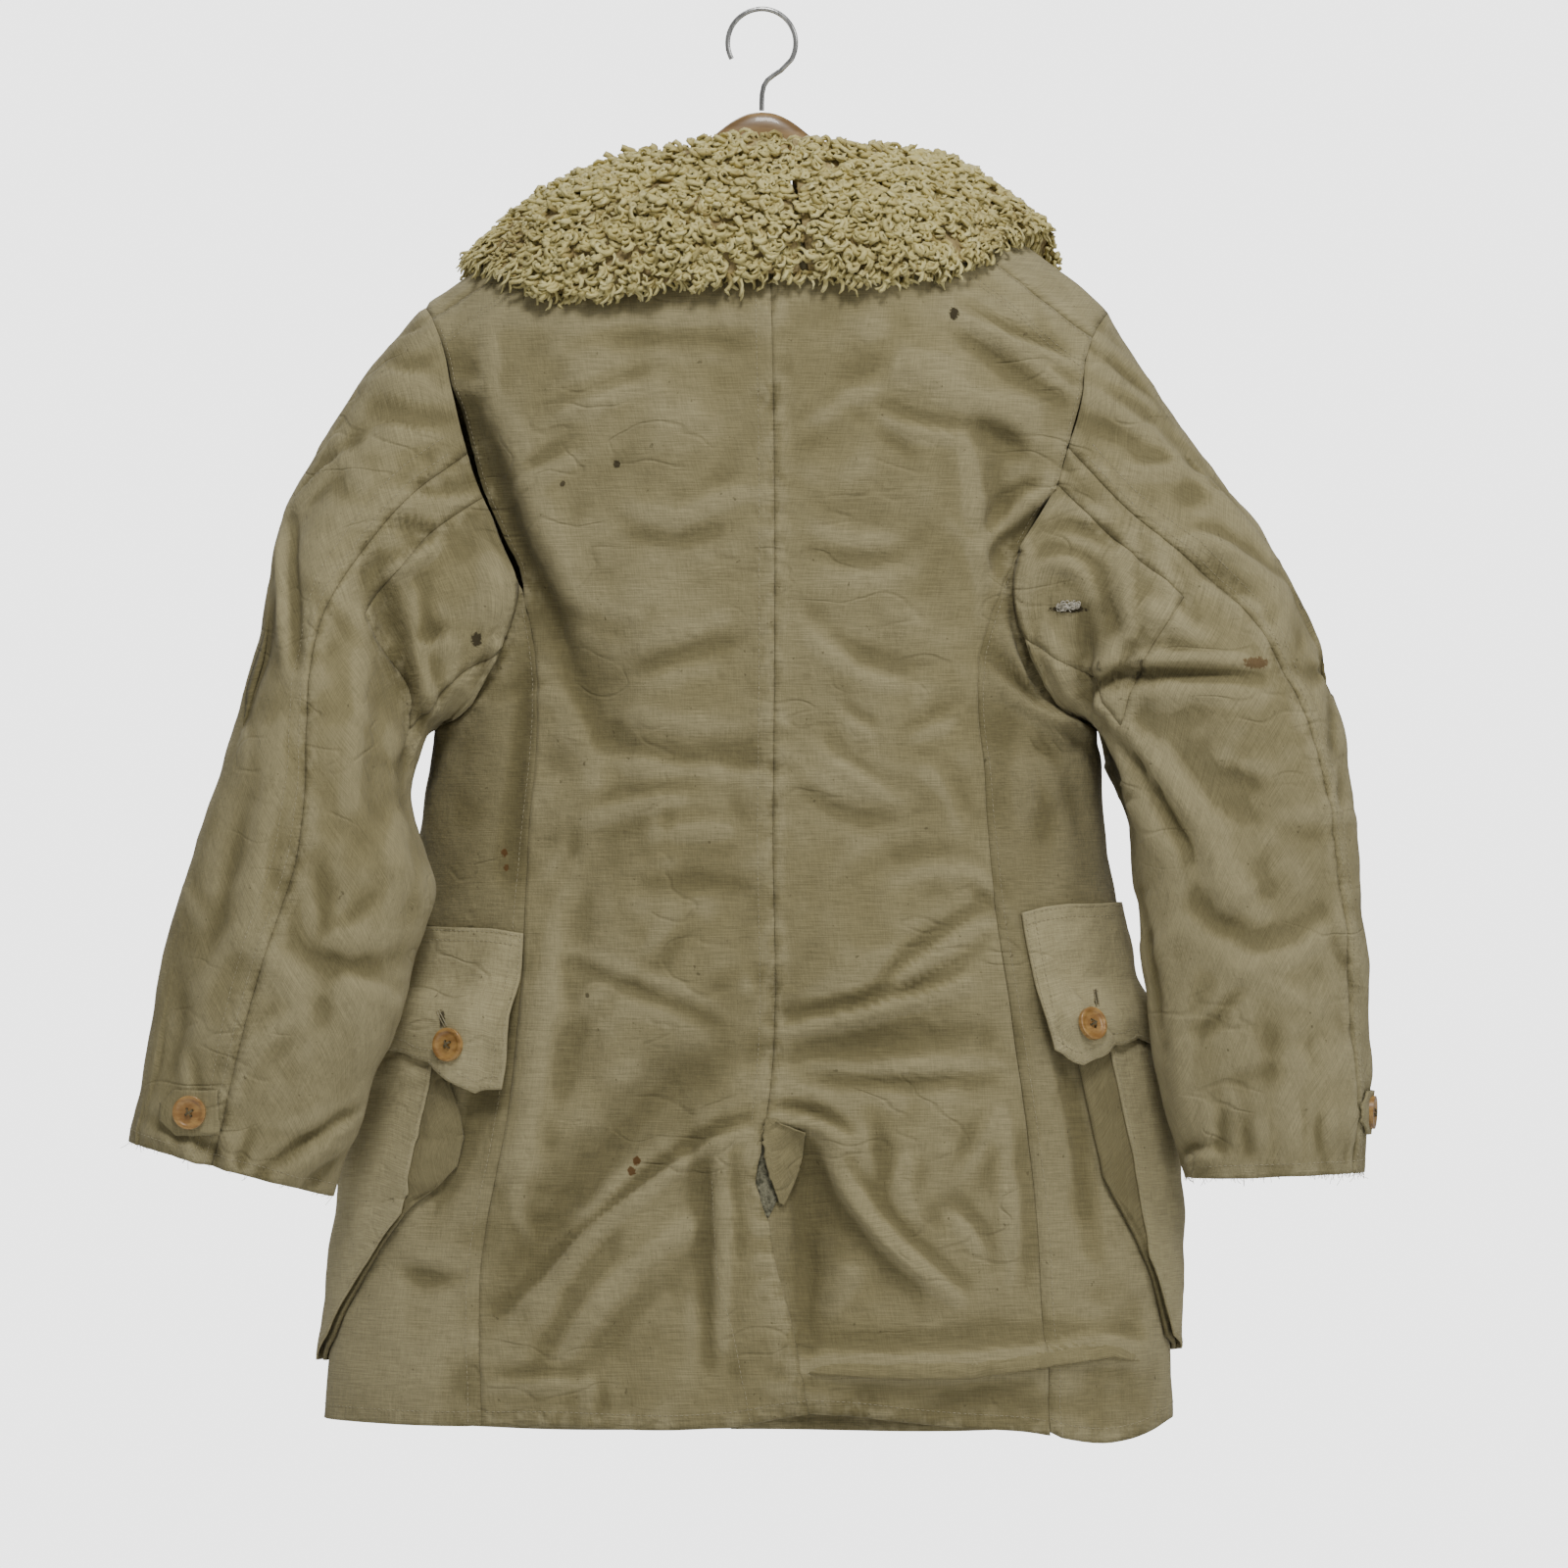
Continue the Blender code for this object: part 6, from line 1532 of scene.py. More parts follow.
class Stitches:
    """Rows of thread stitches gathered into one piece."""

    def __init__(self, name: str, long: float = 2.7, pitch: float = 3.7, thick: float = 0.42) -> None:
        """Start with no rows."""
        self.name = name
        self.long = long
        self.pitch = pitch
        self.thick = thick
        self.points: list[np.ndarray] = []

    def row(self, path: np.ndarray, normals: np.ndarray) -> None:
        """Sew one row along a path that lies on the cloth."""
        steps = np.linalg.norm(np.diff(path, axis=0), axis=1)
        run = np.concatenate([[0.0], np.cumsum(steps)])
        starts = np.arange(0.5, run[-1] - self.long, self.pitch)
        if not len(starts):
            return
        at = starts[:, None] + np.array([0.0, 0.5, 1.0]) * self.long
        p = np.stack([np.interp(at, run, path[:, k]) for k in range(3)], axis=-1)
        n = unit(np.stack([np.interp(at, run, normals[:, k]) for k in range(3)], axis=-1))
        t = unit(p[:, 2:] - p[:, :1])
        side = unit(np.cross(n, t))
        rise = np.array([-0.12, 0.34, -0.12])[None, :, None]
        middle = p + n * rise
        half = self.thick / 2 * np.array([0.7, 1.0, 0.7])[None, :, None]
        corners = [middle + side * half, middle + n * half, middle - side * half]
        self.points.append(np.stack(corners, axis=2).reshape(-1, 9, 3))

    def build(self, surface: bpy.types.Material) -> bpy.types.Object:
        """Return all the rows as one piece."""
        points = np.vstack(self.points)
        ring = np.array([[k, (k + 1) % 3, (k + 1) % 3 + 3, k + 3] for k in range(3)])
        first = (np.arange(len(points)) * 9)[:, None, None]
        sides = first + np.vstack([ring, ring + 3])[None, :, ::-1]
        ends = first + np.array([[0, 1, 2], [8, 7, 6]])[None]
        piece = mesh_piece(self.name, points.reshape(-1, 3), [sides.reshape(-1, 4), ends.reshape(-1, 3)])
        dress(piece, surface)
        return register(piece, "canvas")


@dataclass
class CoatShell:
    """The canvas of the body and the sleeves, with its creases, seams and stitching."""

    finishes: Finishes
    counts: CellCounts = field(default_factory=CellCounts)

    def __post_init__(self) -> None:
        """Build the welded cloth, press its creases and make its panels."""
        self.cloth = Cloth()
        self.number: dict[str, int] = {}
        for hand in ("left", "right"):
            self.lay(hand)
        self.cloth.weld()
        self.press()
        self.grids = {hand: self.body_grid(hand) for hand in ("left", "right")}

    def lay(self, hand: str) -> None:
        """Lay one hand's grids in the cloth."""
        cloth, n = self.cloth, self.counts
        panels = PanelGrids(hand, n)
        flip = hand == "left"
        for kind, grid, turned in (("back", panels.back(), flip), ("side", panels.side(), flip),
                ("front", panels.front(), not flip)):
            codes = np.full((len(grid) - 1, grid.shape[1] - 1), cloth.code(kind + "_" + hand))
            self.number[kind + "_" + hand] = cloth.add(grid, codes, turned, Region.BODY)
        sleeve = panels.sleeve()
        ring = np.concatenate([sleeve, sleeve[:, :1]], axis=1)
        codes = np.full((len(ring) - 1, ring.shape[1] - 1), cloth.code("sleeve_upper_" + hand))
        codes[:, n.back_seam:n.front_seam] = cloth.code("sleeve_under_" + hand)
        codes[:n.gusset_rows, n.gusset_first:n.gusset_last] = cloth.code("underarm_gusset_" + hand)
        region = Region.LEFT_SLEEVE if hand == "left" else Region.RIGHT_SLEEVE
        self.number["sleeve_" + hand] = cloth.add(ring, codes, not flip, region)

    def press(self) -> None:
        """Press every crease, swell and seam into the cloth."""
        cloth = self.cloth
        rng = np.random.default_rng(SEED)
        back = seen_table(BACK_CREASES)
        cloth.crease(back, Region.BODY)
        hidden = back[(back[:, 1] > 250) & (back[:, 1] < 720)].copy()
        hidden[:, [0, 2, 4]] *= -0.92
        hidden[:, [1, 3, 5]] += 26.0
        hidden[:, 7] *= 0.7
        cloth.crease(hidden, Region.BODY, 1.0)
        for region, rows, low, high, slope in ((Region.LEFT_SLEEVE, LEFT_SLEEVE_CREASES, -420, -220,
                60.0), (Region.RIGHT_SLEEVE, RIGHT_SLEEVE_CREASES, 250, 420, -60.0)):
            table = seen_table(rows)
            cloth.crease(table, region)
            table[:, 7] *= 0.75
            cloth.crease(table, region, 1.0)
            for side in (-1.0, 1.0):
                cloth.crumple(rng, 26, region, side, (low, high, 260, 790), (slope, 45.0))
        for side in (-1.0, 1.0):
            cloth.crumple(rng, 60, Region.BODY, side, (-280, 280, 240, 960), (15.0, 50.0))
        self.gather()
        self.paint_side_shade()
        for scale, height, seed in ((80.0, 3.6, 3.0), (34.0, 2.0, 11.0), (15.0, 0.5, 17.0)):
            cloth.soften(scale, height, seed)
        cloth.seams()
        cloth.settle()

    def gather(self) -> None:
        """Gather the cloth unevenly at both cuffs."""
        for hand, height in (("left", 3.6), ("right", 2.2)):
            ids = self.cloth.ids[self.number["sleeve_" + hand]]
            for row in range(14):
                fade = float(ease(1.0 - row / 14.0))
                for column in range(ids.shape[1] - 1):
                    turn = 2 * math.pi * column / (ids.shape[1] - 1)
                    spot = Vector((4.6 * math.cos(turn), 4.6 * math.sin(turn), row * 0.05))
                    self.cloth.push[ids[-1 - row, column]] += height * fade * noise.noise(spot)

    def paint_side_shade(self) -> None:
        """Paint shade on the side panels, fading forward and toward the hem, and in the valley beside
        the left sleeve.
        """
        cloth = self.cloth
        for hand in ("left", "right"):
            ids = cloth.ids[self.number["side_" + hand]]
            share = ease(1.0 - np.linspace(0.0, 1.0, ids.shape[1]) * 1.4 + 0.4)
            level = 0.62 if hand == "left" else 0.42
            drop = -cloth.xyz[ids][..., 2]
            cloth.shade[ids] = level * share[None] * ease((940.0 - drop) / 260.0)
        for row in seen_table(BACK_CREASES[:2]):
            line = bezier(row, 40)
            x, drop = cloth.xyz[:, 0], -cloth.xyz[:, 2]
            away = np.min(np.hypot(x[:, None] - line[:, 0], drop[:, None] - line[:, 1]), axis=1)
            mine = (cloth.region & Region.BODY.value > 0) & (cloth.xyz[:, 1] < 0)
            cloth.shade = np.maximum(cloth.shade, 0.55 * np.exp(-(away / 16.0) ** 2) * mine)

    def points_of(self, name: str) -> tuple[np.ndarray, np.ndarray]:
        """Return a grid's settled points and directions."""
        ids = self.cloth.ids[self.number[name]]
        return self.cloth.xyz[ids], self.cloth.normals[ids]

    def body_grid(self, hand: str) -> BodyGrid:
        """Return one hand's body below the armhole."""
        n = self.counts
        parts = [[], []]
        for k in range(2):
            back = self.points_of("back_" + hand)[k][n.arm_back:]
            side = self.points_of("side_" + hand)[k][:, 1:]
            front = self.points_of("front_" + hand)[k][n.tip + n.arm_front:, ::-1][:, 1:]
            parts[k] = np.concatenate([back, side, front], axis=1)
        return BodyGrid(*parts)

    def offset(self, name: str, edge: str, distance: float, first: int = 0,
            last: int | None = None) -> tuple[np.ndarray, np.ndarray]:
        """Return a path that runs beside one edge of a grid.

        Args:
            name: the grid's name.
            edge: "start" or "end" for its first or last column, "top" or "bottom" for its rows.
            distance: how far from the edge, in millimetres.
            first: the first point of the edge to follow.
            last: the point to stop before.

        Returns:
            The path's points and the cloth's directions there.
        """
        xyz, normals = self.points_of(name)
        if edge in ("top", "bottom"):
            xyz, normals = xyz.transpose(1, 0, 2), normals.transpose(1, 0, 2)
        if edge in ("end", "bottom"):
            xyz, normals = xyz[:, ::-1], normals[:, ::-1]
        xyz, normals = xyz[first:last], normals[first:last]
        steps = np.linalg.norm(np.diff(xyz, axis=1), axis=2)
        run = np.concatenate([np.zeros((len(xyz), 1)), np.cumsum(steps, axis=1)], axis=1)
        points = np.array([[np.interp(distance, run[i],
            xyz[i, :, k]) for k in range(3)] for i in range(len(xyz))])
        ways = np.array([[np.interp(distance, run[i],
            normals[i, :, k]) for k in range(3)] for i in range(len(xyz))])
        return Cloth.lapped(name, points, unit(ways)), unit(ways)

    def build(self) -> None:
        """Make every panel and its stitching."""
        tone = self.cloth.tone()
        for name in self.cloth.names:
            piece = self.cloth.wall(name, tone)
            dress(piece, self.finishes.canvas, self.finishes.lining)
            register(piece, "canvas", name)
            area = self.cloth.area(name)
        self.sew()

    def sew(self) -> None:
        """Sew the rows of stitches that show."""
        n = self.counts
        body = Stitches("stitching_body")
        vent_row = int(np.argmax(-self.points_of("back_left")[0][:, 0, 2] > VENT_TOP_DROP))
        body.row(*self.offset("back_left", "start", 11.0, 4, vent_row + 1))
        body.row(*self.offset("back_left", "start", 33.0, vent_row + 8))
        body.row(*self.offset("back_right", "start", 9.0, vent_row + 8))
        for hand in ("left", "right"):
            sleeves = Stitches("stitching_sleeve_" + hand)
            for distance in (2.4, 24.0, 28.0):
                body.row(*self.offset("back_" + hand, "top", distance, n.neck_columns + 2))
            body.row(*self.offset("back_" + hand, "end", 3.0, 2, n.arm_back))
            body.row(*self.offset("side_" + hand, "start", 9.5, 2))
            body.row(*self.offset("side_" + hand, "end", 9.5, 2))
            body.row(*self.offset("front_" + hand, "start", 6.0, n.neck + 1))
            body.row(*self.offset("front_" + hand, "start", 42.0, n.neck + 1))
            for kind in ("back_", "side_", "front_"):
                body.row(*self.offset(kind + hand, "bottom", 10.0))
            xyz, normals = self.points_of("sleeve_" + hand)
            for shift in (-2, -5):
                column = n.back_seam + shift
                sleeves.row(xyz[3:, column], normals[3:, column])
            sleeves.row(xyz[3:, n.front_seam + 2], normals[3:, n.front_seam + 2])
            sleeves.row(*self.offset("sleeve_" + hand, "bottom", 9.0))
            sleeves.build(self.finishes.thread)
        body.build(self.finishes.thread)


@dataclass
class Collar:
    """The shearling collar's two halves: a hide form and the locks that stand on it."""

    finishes: Finishes
    pile: float = 10.0
    stations: int = 72
    profile: int = 60
    locks: int = 3700

    def solid_rings(self, table: np.ndarray) -> np.ndarray:
        """Return the half's rings as the solids have them, drawn in by the pile's height."""
        rings = []
        shares = np.array([0.0, 0.3, 0.65, 1.0])
        up = np.array([0.0, 0.0, 1.0])
        for neck_x, neck_reach, edge_x, edge_reach, fleece, stand in table:
            x = neck_x + (edge_x - neck_x) * shares
            reach = neck_reach + (edge_reach - neck_reach) * shares
            base = BodyForm.point(x, BodyForm.drop_at(x, reach), reach)
            ahead = BodyForm.point(x + 1.0, BodyForm.drop_at(x + 1.0, reach), reach) - base
            aside = BodyForm.point(x, BodyForm.drop_at(x, reach + 1.0), reach + 1.0) - base
            normal = unit(np.cross(ahead, aside))
            normal = normal * np.sign(normal[:, 2:3] + 1e-9)
            out = unit(base[3] - base[0])
            inward = -out * (1.0, 1.0, 0.0)
            thick = np.array([1.12, 1.08, 1.0, 0.8]) * fleece - self.pile
            tall = stand - self.pile * 0.7
            seat = float(np.interp(neck_reach, *COLLAR_SEAT))
            lift = float(np.interp(neck_reach, *COLLAR_LIFT))
            rise = float(np.interp(neck_reach, *COLLAR_RISE))
            edge = base[3] - out * self.pile * 0.8
            rings.append([base[0] + up * rise - inward * 2.0, base[0] + up * tall * 0.5 + inward * 1.0,
                base[0] + up * (tall - 5.0) + inward * 0.5, base[0] + up * tall - inward * 6.0,
                base[1] + normal[1] * thick[0], 0.5 * (base[1] + base[2]) + 0.5 * (normal[1] + normal[2])
                * thick[1], base[2] + normal[2] * thick[2], edge + normal[3] * thick[3],
                edge + normal[3] * fleece * 0.32 + out * 4.0, edge + normal[3] * (lift + 0.6),
                base[2] + normal[2] * (lift + 0.6), base[1] + normal[1] * (lift + 0.6),
                base[0] + normal[0] * (seat + 0.4),])
        return np.array(rings)

    def form(self, table: np.ndarray) -> np.ndarray:
        """Return the half's form as a fine grid: stations by closed profile."""
        rings = self.solid_rings(table)
        count, size = rings.shape[:2]
        keys = np.arange(count, dtype=float)
        at = np.linspace(0.0, count - 1.0, self.stations)
        flat = np.column_stack([keys, rings.reshape(count, -1)])
        fine = np.stack([smooth(flat, k, at) for k in range(1, flat.shape[1])], axis=-1)
        fine = fine.reshape(self.stations, size, 3)
        padded = np.concatenate([fine[:, -3:], fine, fine[:, :3]], axis=1)
        keys = np.arange(-3.0, size + 3.0)
        at = np.linspace(0.0, size, self.profile, endpoint=False)
        table = np.column_stack([keys, padded.transpose(1, 0, 2).reshape(len(keys), -1)])
        grid = np.stack([smooth(table, k, at) for k in range(1, table.shape[1])], axis=-1)
        return grid.reshape(self.profile, self.stations, 3).transpose(1, 0, 2)

    def build(self) -> None:
        """Make both halves with their locks."""
        rng = np.random.default_rng(SEED)
        for hand, table in COLLAR_TABLES.items():
            grid = self.form(table)
            self.build_form(hand, grid)
            self.build_locks(hand, grid, rng)

    def build_form(self, hand: str, grid: np.ndarray) -> None:
        """Make the hide form of one half as a closed piece."""
        rows, columns = grid.shape[:2]
        ids = np.arange(rows * columns).reshape(rows, columns)
        after = np.roll(ids, -1, axis=1)
        quads = np.stack([ids[:-1], after[:-1], after[1:], ids[1:]], axis=-1).reshape(-1, 4)
        points = grid.reshape(-1, 3)
        ends = [points[ids[0]].mean(axis=0), points[ids[-1]].mean(axis=0)]
        hub = len(points)
        first = np.stack([after[0], ids[0], np.full(columns, hub)], axis=-1)
        last = np.stack([ids[-1], after[-1], np.full(columns, hub + 1)], axis=-1)
        tris = np.vstack([first, last])
        points = np.vstack([points, ends])
        if self.turned_in(points, quads):
            quads, tris = quads[:, ::-1], tris[:, ::-1]
        piece = mesh_piece("collar_hide_" + hand, points, [quads, tris])
        dress(piece, self.finishes.hide)
        register(piece, "shearling", "collar_" + hand)

    @staticmethod
    def turned_in(points: np.ndarray, quads: np.ndarray) -> bool:
        """Return whether a closed form's faces look inward."""
        a, b, c, d = (points[quads[:, k]] for k in range(4))
        return float(np.einsum("ij,ij->", a + b + c + d, np.cross(c - a, d - b))) < 0.0

    def build_locks(self, hand: str, grid: np.ndarray, rng: np.random.Generator) -> None:
        """Stand curled locks on the fleecy side of one half."""
        rows, columns = grid.shape[:2]
        along_row = np.gradient(grid, axis=0)
        around = np.gradient(np.concatenate([grid[:, -1:], grid, grid[:, :1]], axis=1), axis=1)[:, 1:-1]
        normal = unit(np.cross(along_row, around))
        middle = grid.mean(axis=1, keepdims=True)
        if np.einsum("ijk,ijk->", grid - middle, normal) < 0:
            normal = -normal
        first = int(columns * FLEECE_FIRST / COLLAR_POINTS)
        last = int(columns * FLEECE_LAST / COLLAR_POINTS)
        cell = np.linalg.norm(np.cross(along_row, around), axis=2)[:-1, first:last]
        share = (cell / cell.sum()).ravel()
        pick = rng.choice(len(share), self.locks, p=share)
        i = pick // (last - first) + rng.uniform(0, 1, self.locks)
        j = pick % (last - first) + first + rng.uniform(0, 1, self.locks)
        low_i, low_j = np.floor(i).astype(int), np.floor(j).astype(int)
        low_i = np.minimum(low_i, rows - 2)
        si, sj = (i - low_i)[:, None], (j - low_j)[:, None]

        def read(values: np.ndarray) -> np.ndarray:
            """Return a grid's values between its points."""
            nxt = (low_j + 1) % columns
            return ((1 - si) * (1 - sj) * values[low_i, low_j] + si * (1 - sj) * values[low_i + 1,
                low_j] + (1 - si) * sj * values[low_i, nxt] + si * sj * values[low_i + 1, nxt])

        root, up, comb = read(grid), unit(read(normal)), unit(read(around))
        place = j / columns * COLLAR_POINTS
        count = self.locks
        turn = rng.normal(0.0, 0.9, count)
        side = np.cross(up, comb)
        tilt = rng.uniform(0.7, 1.5, count)
        radius = rng.uniform(2.8, 5.0, count)
        turns = rng.uniform(0.8, 1.45, count)
        drift = rng.uniform(2.0, 6.0, count)
        clump = np.array([noise.noise(Vector(p) / 15.0) for p in root])
        rise = rng.uniform(3.0, 6.5, count) + 5.0 * clump
        hanging = np.clip((place - 6.2) / 1.6, 0.0, 1.0)
        straight = np.clip((-root[:, 0] - 142.0) / 34.0, 0.0, 1.0) * (hand == "left")
        loose = np.maximum(0.7 * hanging, straight)
        drift = drift + hanging * rng.uniform(3.0, 9.0, count) + straight * 7.0
        radius = radius * (1.0 - 0.6 * loose)
        fall = np.array([0.0, 0.0, -1.0]) * (hanging * rng.uniform(1.0, 6.0, count))[:, None]
        turn = turn * (1.0 - 0.6 * hanging)
        way = comb * np.cos(turn)[:, None] + side * np.sin(turn)[:, None]
        lateral = np.cross(up, way)
        start = rng.uniform(0, 2 * math.pi, count)
        thick = rng.uniform(1.5, 2.3, count)
        t = np.linspace(0.0, 1.0, 8)
        phase = start[:, None] + 2 * math.pi * turns[:, None] * t
        swing = (radius[:, None] * (1.0 - 0.25 * t))[..., None]
        second = (up * np.cos(tilt)[:, None] + way * np.sin(tilt)[:, None])[:, None]
        curl = (lateral[:, None] * (np.cos(phase) - np.cos(start)[:, None])[...,
            None] * swing + second * (np.sin(phase) - np.sin(start)[:, None])[..., None] * swing)
        path = (root[:, None] - up[:, None] * 1.5 + curl +
            up[:, None] * (rise[:, None] * (1 - (1 - t) ** 2))[..., None] +
            way[:, None] * (drift[:, None] * t)[..., None] + fall[:, None] * (t ** 2)[None, :, None])
        width = (thick * (1.0 - 0.35 * loose))[:, None] * np.array([1.0, 1.1, 1.16, 1.14, 1.1, 1.0, 0.8,
            0.35])
        order = np.argsort(place)
        for number, part in enumerate(np.array_split(order, 2), start=1):
            piece = self.tubes("collar_locks_%s_%d" % (hand, number), path[part], width[part], rng, 3)
            dress(piece, self.finishes.fleece)
            register(piece, "shearling", "collar_" + hand)

    @staticmethod
    def tubes(name: str, path: np.ndarray, width: np.ndarray, rng: np.random.Generator,
            sides: int = 3) -> bpy.types.Object:
        """Make many short tubes as one piece.

        Args:
            name: the piece's name.
            path: tubes by steps by three, in millimetres.
            width: tubes by steps, the radius there.
            rng: the seeded generator for each tube's own number.
            sides: how many sides a tube has.

        Returns:
            The piece, with UVs along each tube and then by its number.
        """
        count, steps = path.shape[:2]
        way = unit(np.gradient(path, axis=1))
        side = unit(np.cross(way[:, 0], rng.normal(size=(count, 3))))
        rings = []
        for k in range(steps):
            side = unit(side - way[:, k] * np.einsum("ij,ij->i", side, way[:, k])[:, None])
            other = np.cross(way[:, k], side)
            angle = np.arange(sides) * 2 * math.pi / sides
            rings.append(path[:, k, None] + width[:, k, None, None] * (side[:,
                None] * np.cos(angle)[None, :, None] + other[:, None] * np.sin(angle)[None, :, None]))
        points = np.stack(rings, axis=1)
        ids = np.arange(count * steps * sides).reshape(count, steps, sides)
        after = np.roll(ids, -1, axis=2)
        quads = np.stack([ids[:, :-1], after[:, :-1], after[:, 1:], ids[:, 1:]], axis=-1)
        u = np.linspace(0.0, 1.0, steps)
        v = np.arange(sides + 1) / sides * 0.98
        own = np.arange(count, dtype=float)
        uv = np.zeros((count, steps - 1, sides, 4, 2))
        for k, (du, dv) in enumerate(((0, 0), (0, 1), (1, 1), (1, 0))):
            uv[..., k, 0] = u[None, du:steps - 1 + du, None]
            uv[..., k, 1] = own[:, None, None] + v[None, None, dv:sides + dv]
        ends = [ids[:, 0, ::-1], ids[:, -1]]
        end_uv = [np.zeros((count, sides, 2)), np.ones((count, sides, 2))]
        for part in end_uv:
            part[..., 1] = own[:, None] + 0.5
        return mesh_piece(name, points.reshape(-1, 3), [quads.reshape(-1, 4), np.vstack(ends)],
            [uv.reshape(-1, 4, 2), np.vstack(end_uv)])


def over_pocket(drop: np.ndarray) -> np.ndarray:
    """Return how far a flap lies off the cloth, rising over the pocket's bag."""
    share = ease((drop - BAG_TOP_DROP) / BAG_SLOPE)
    return FLAP_REST + (FLAP_RISEN - FLAP_REST) * share


@dataclass
class Pocket:
    """One bellows pocket with its face and its pointed flap."""

    hand: str
    grid: BodyGrid
    finishes: Finishes
    fine: int = 8
    rows: int = 72

    def lay(self, table: np.ndarray, rows: int) -> tuple[np.ndarray, np.ndarray, np.ndarray, np.ndarray]:
        """Lay a table of columns on the body.

        Args:
            table: column, top drop and bottom drop.
            rows: cells from top to bottom.

        Returns:
            The points and directions, and each point's share across and down.
        """
        columns = np.linspace(table[0, 0], table[-1, 0], int((table[-1, 0] -
            table[0, 0]) * self.fine) + 1)
        share = np.linspace(0.0, 1.0, rows + 1)
        points, normals = [], []
        for column in columns:
            top = np.interp(column, table[:, 0], table[:, 1])
            bottom = np.interp(column, table[:, 0], table[:, 2])
            p, n = self.grid.at(float(column), top + (bottom - top) * share)
            points.append(p)
            normals.append(n)
        across = np.linspace(0.0, 1.0, len(columns))
        wide, tall = np.meshgrid(across, share)
        return (np.stack(points, axis=1), np.stack(normals, axis=1), wide, tall)

    @staticmethod
    def lumps(points: np.ndarray, scale: float, height: float, seed: float) -> np.ndarray:
        """Return low uneven swells at points."""
        shift = Vector((seed, -seed, seed * 0.3))
        flat = [noise.noise(Vector(p) / scale + shift) for p in points.reshape(-1, 3)]
        return height * np.array(flat).reshape(points.shape[:2])

    def build(self, stitches: Stitches) -> None:
        """Make the bellows, the face and the flap."""
        seed = 5.0 if self.hand == "left" else 9.0
        points, normals, wide, tall = self.lay(POCKETS[self.hand], self.rows)
        edge = np.minimum(np.minimum(wide, 1 - wide) * 12.0, np.minimum(tall, 1 - tall) * 14.0)
        rounded = 0.45 + 0.55 * ease(edge)
        groove = 1.0 - 0.42 * np.exp(-((edge - 0.55) / 0.22) ** 2)
        lift = np.full(wide.shape, BELLOWS_LIFT)
        thick = BELLOWS_DEPTH * rounded * groove + self.lumps(points, 16.0, 0.5, seed) * ease(edge)
        # The bellows get a tone below a half and the darker canvas copy: painted shade in the pocket's
        # recess
        bellows = Slab("pocket_bellows_" + self.hand, points, normals, lift,
            np.minimum(thick, BELLOWS_DEPTH)).build(0.4)
        dress(bellows, self.finishes.canvas_dark)
        register(bellows, "canvas_dark", "pocket_bellows_" + self.hand)

        points, normals, wide, tall = self.lay(POCKETS[self.hand][1:], self.rows)
        swell = np.minimum(np.minimum(wide, 1 - wide) * 5.0, np.minimum(tall, 1 - tall) * 5.0)
        lift = (BELLOWS_LIFT + BELLOWS_DEPTH + 0.4 + self.lumps(points, 26.0, 1.1,
            seed) * ease(swell) + 1.1 * ease(swell))
        thick = np.full(wide.shape, CLOTH)
        slab = Slab("pocket_face_" + self.hand, points, normals, lift, thick)
        slab.finish(0.55, self.finishes.canvas_painted_light, "canvas", "pocket_bellows_" + self.hand, slab.name)
        self.edge_row(stitches, slab, (3.5,), skip_top=True)

        points, normals, wide, tall = self.lay(FLAPS[self.hand], self.rows)
        drop = -points[..., 2]
        swell = ease(np.minimum(np.minimum(wide, 1 - wide) * 6.0, (1 - tall) * 5.0))
        lift = (over_pocket(drop) + self.lumps(points, 30.0, 1.5,
            seed + 2.0) * tall + 1.1 * swell * tall)
        rim = np.minimum(np.minimum(wide, 1 - wide) * 9.0, (1 - tall) * 9.0)
        thick = FLAP_CLOTH * (0.72 + 0.28 * ease(rim * 2.0)) + self.lumps(points, 7.0, 0.22, seed)
        slab = Slab("pocket_flap_" + self.hand, points, normals, lift, thick)
        slab.finish(0.55, self.finishes.canvas_painted_light, "canvas", "pocket_face_" + self.hand, slab.name)
        self.edge_row(stitches, slab, (2.2, 9.0), skip_top=False)

    @staticmethod
    def edge_row(stitches: Stitches, slab: Slab, insets: tuple[float, ...], skip_top: bool) -> None:
        """Sew rows inside the slab's outline."""
        upper, normals = slab.upper(), slab.normals
        for inset in insets:
            def inside(line: np.ndarray, toward: np.ndarray) -> np.ndarray:
                """Return a line moved towards another by the inset."""
                return line + unit(toward - line) * inset
            left = inside(upper[:, 0], upper[:, 4])
            right = inside(upper[:, -1], upper[:, -5])
            bottom = inside(upper[-1], upper[-6])
            stitches.row(left[:-2] + normals[:-2, 0] * 0.1, normals[:-2, 0])
            stitches.row(right[:-2] + normals[:-2, -1] * 0.1, normals[:-2, -1])
            stitches.row(bottom[1:-1] + normals[-1, 1:-1] * 0.1, normals[-1, 1:-1])
            if not skip_top:
                top = inside(upper[0], upper[6])
                stitches.row(top[1:-1] + normals[0, 1:-1] * 0.1, normals[0, 1:-1])


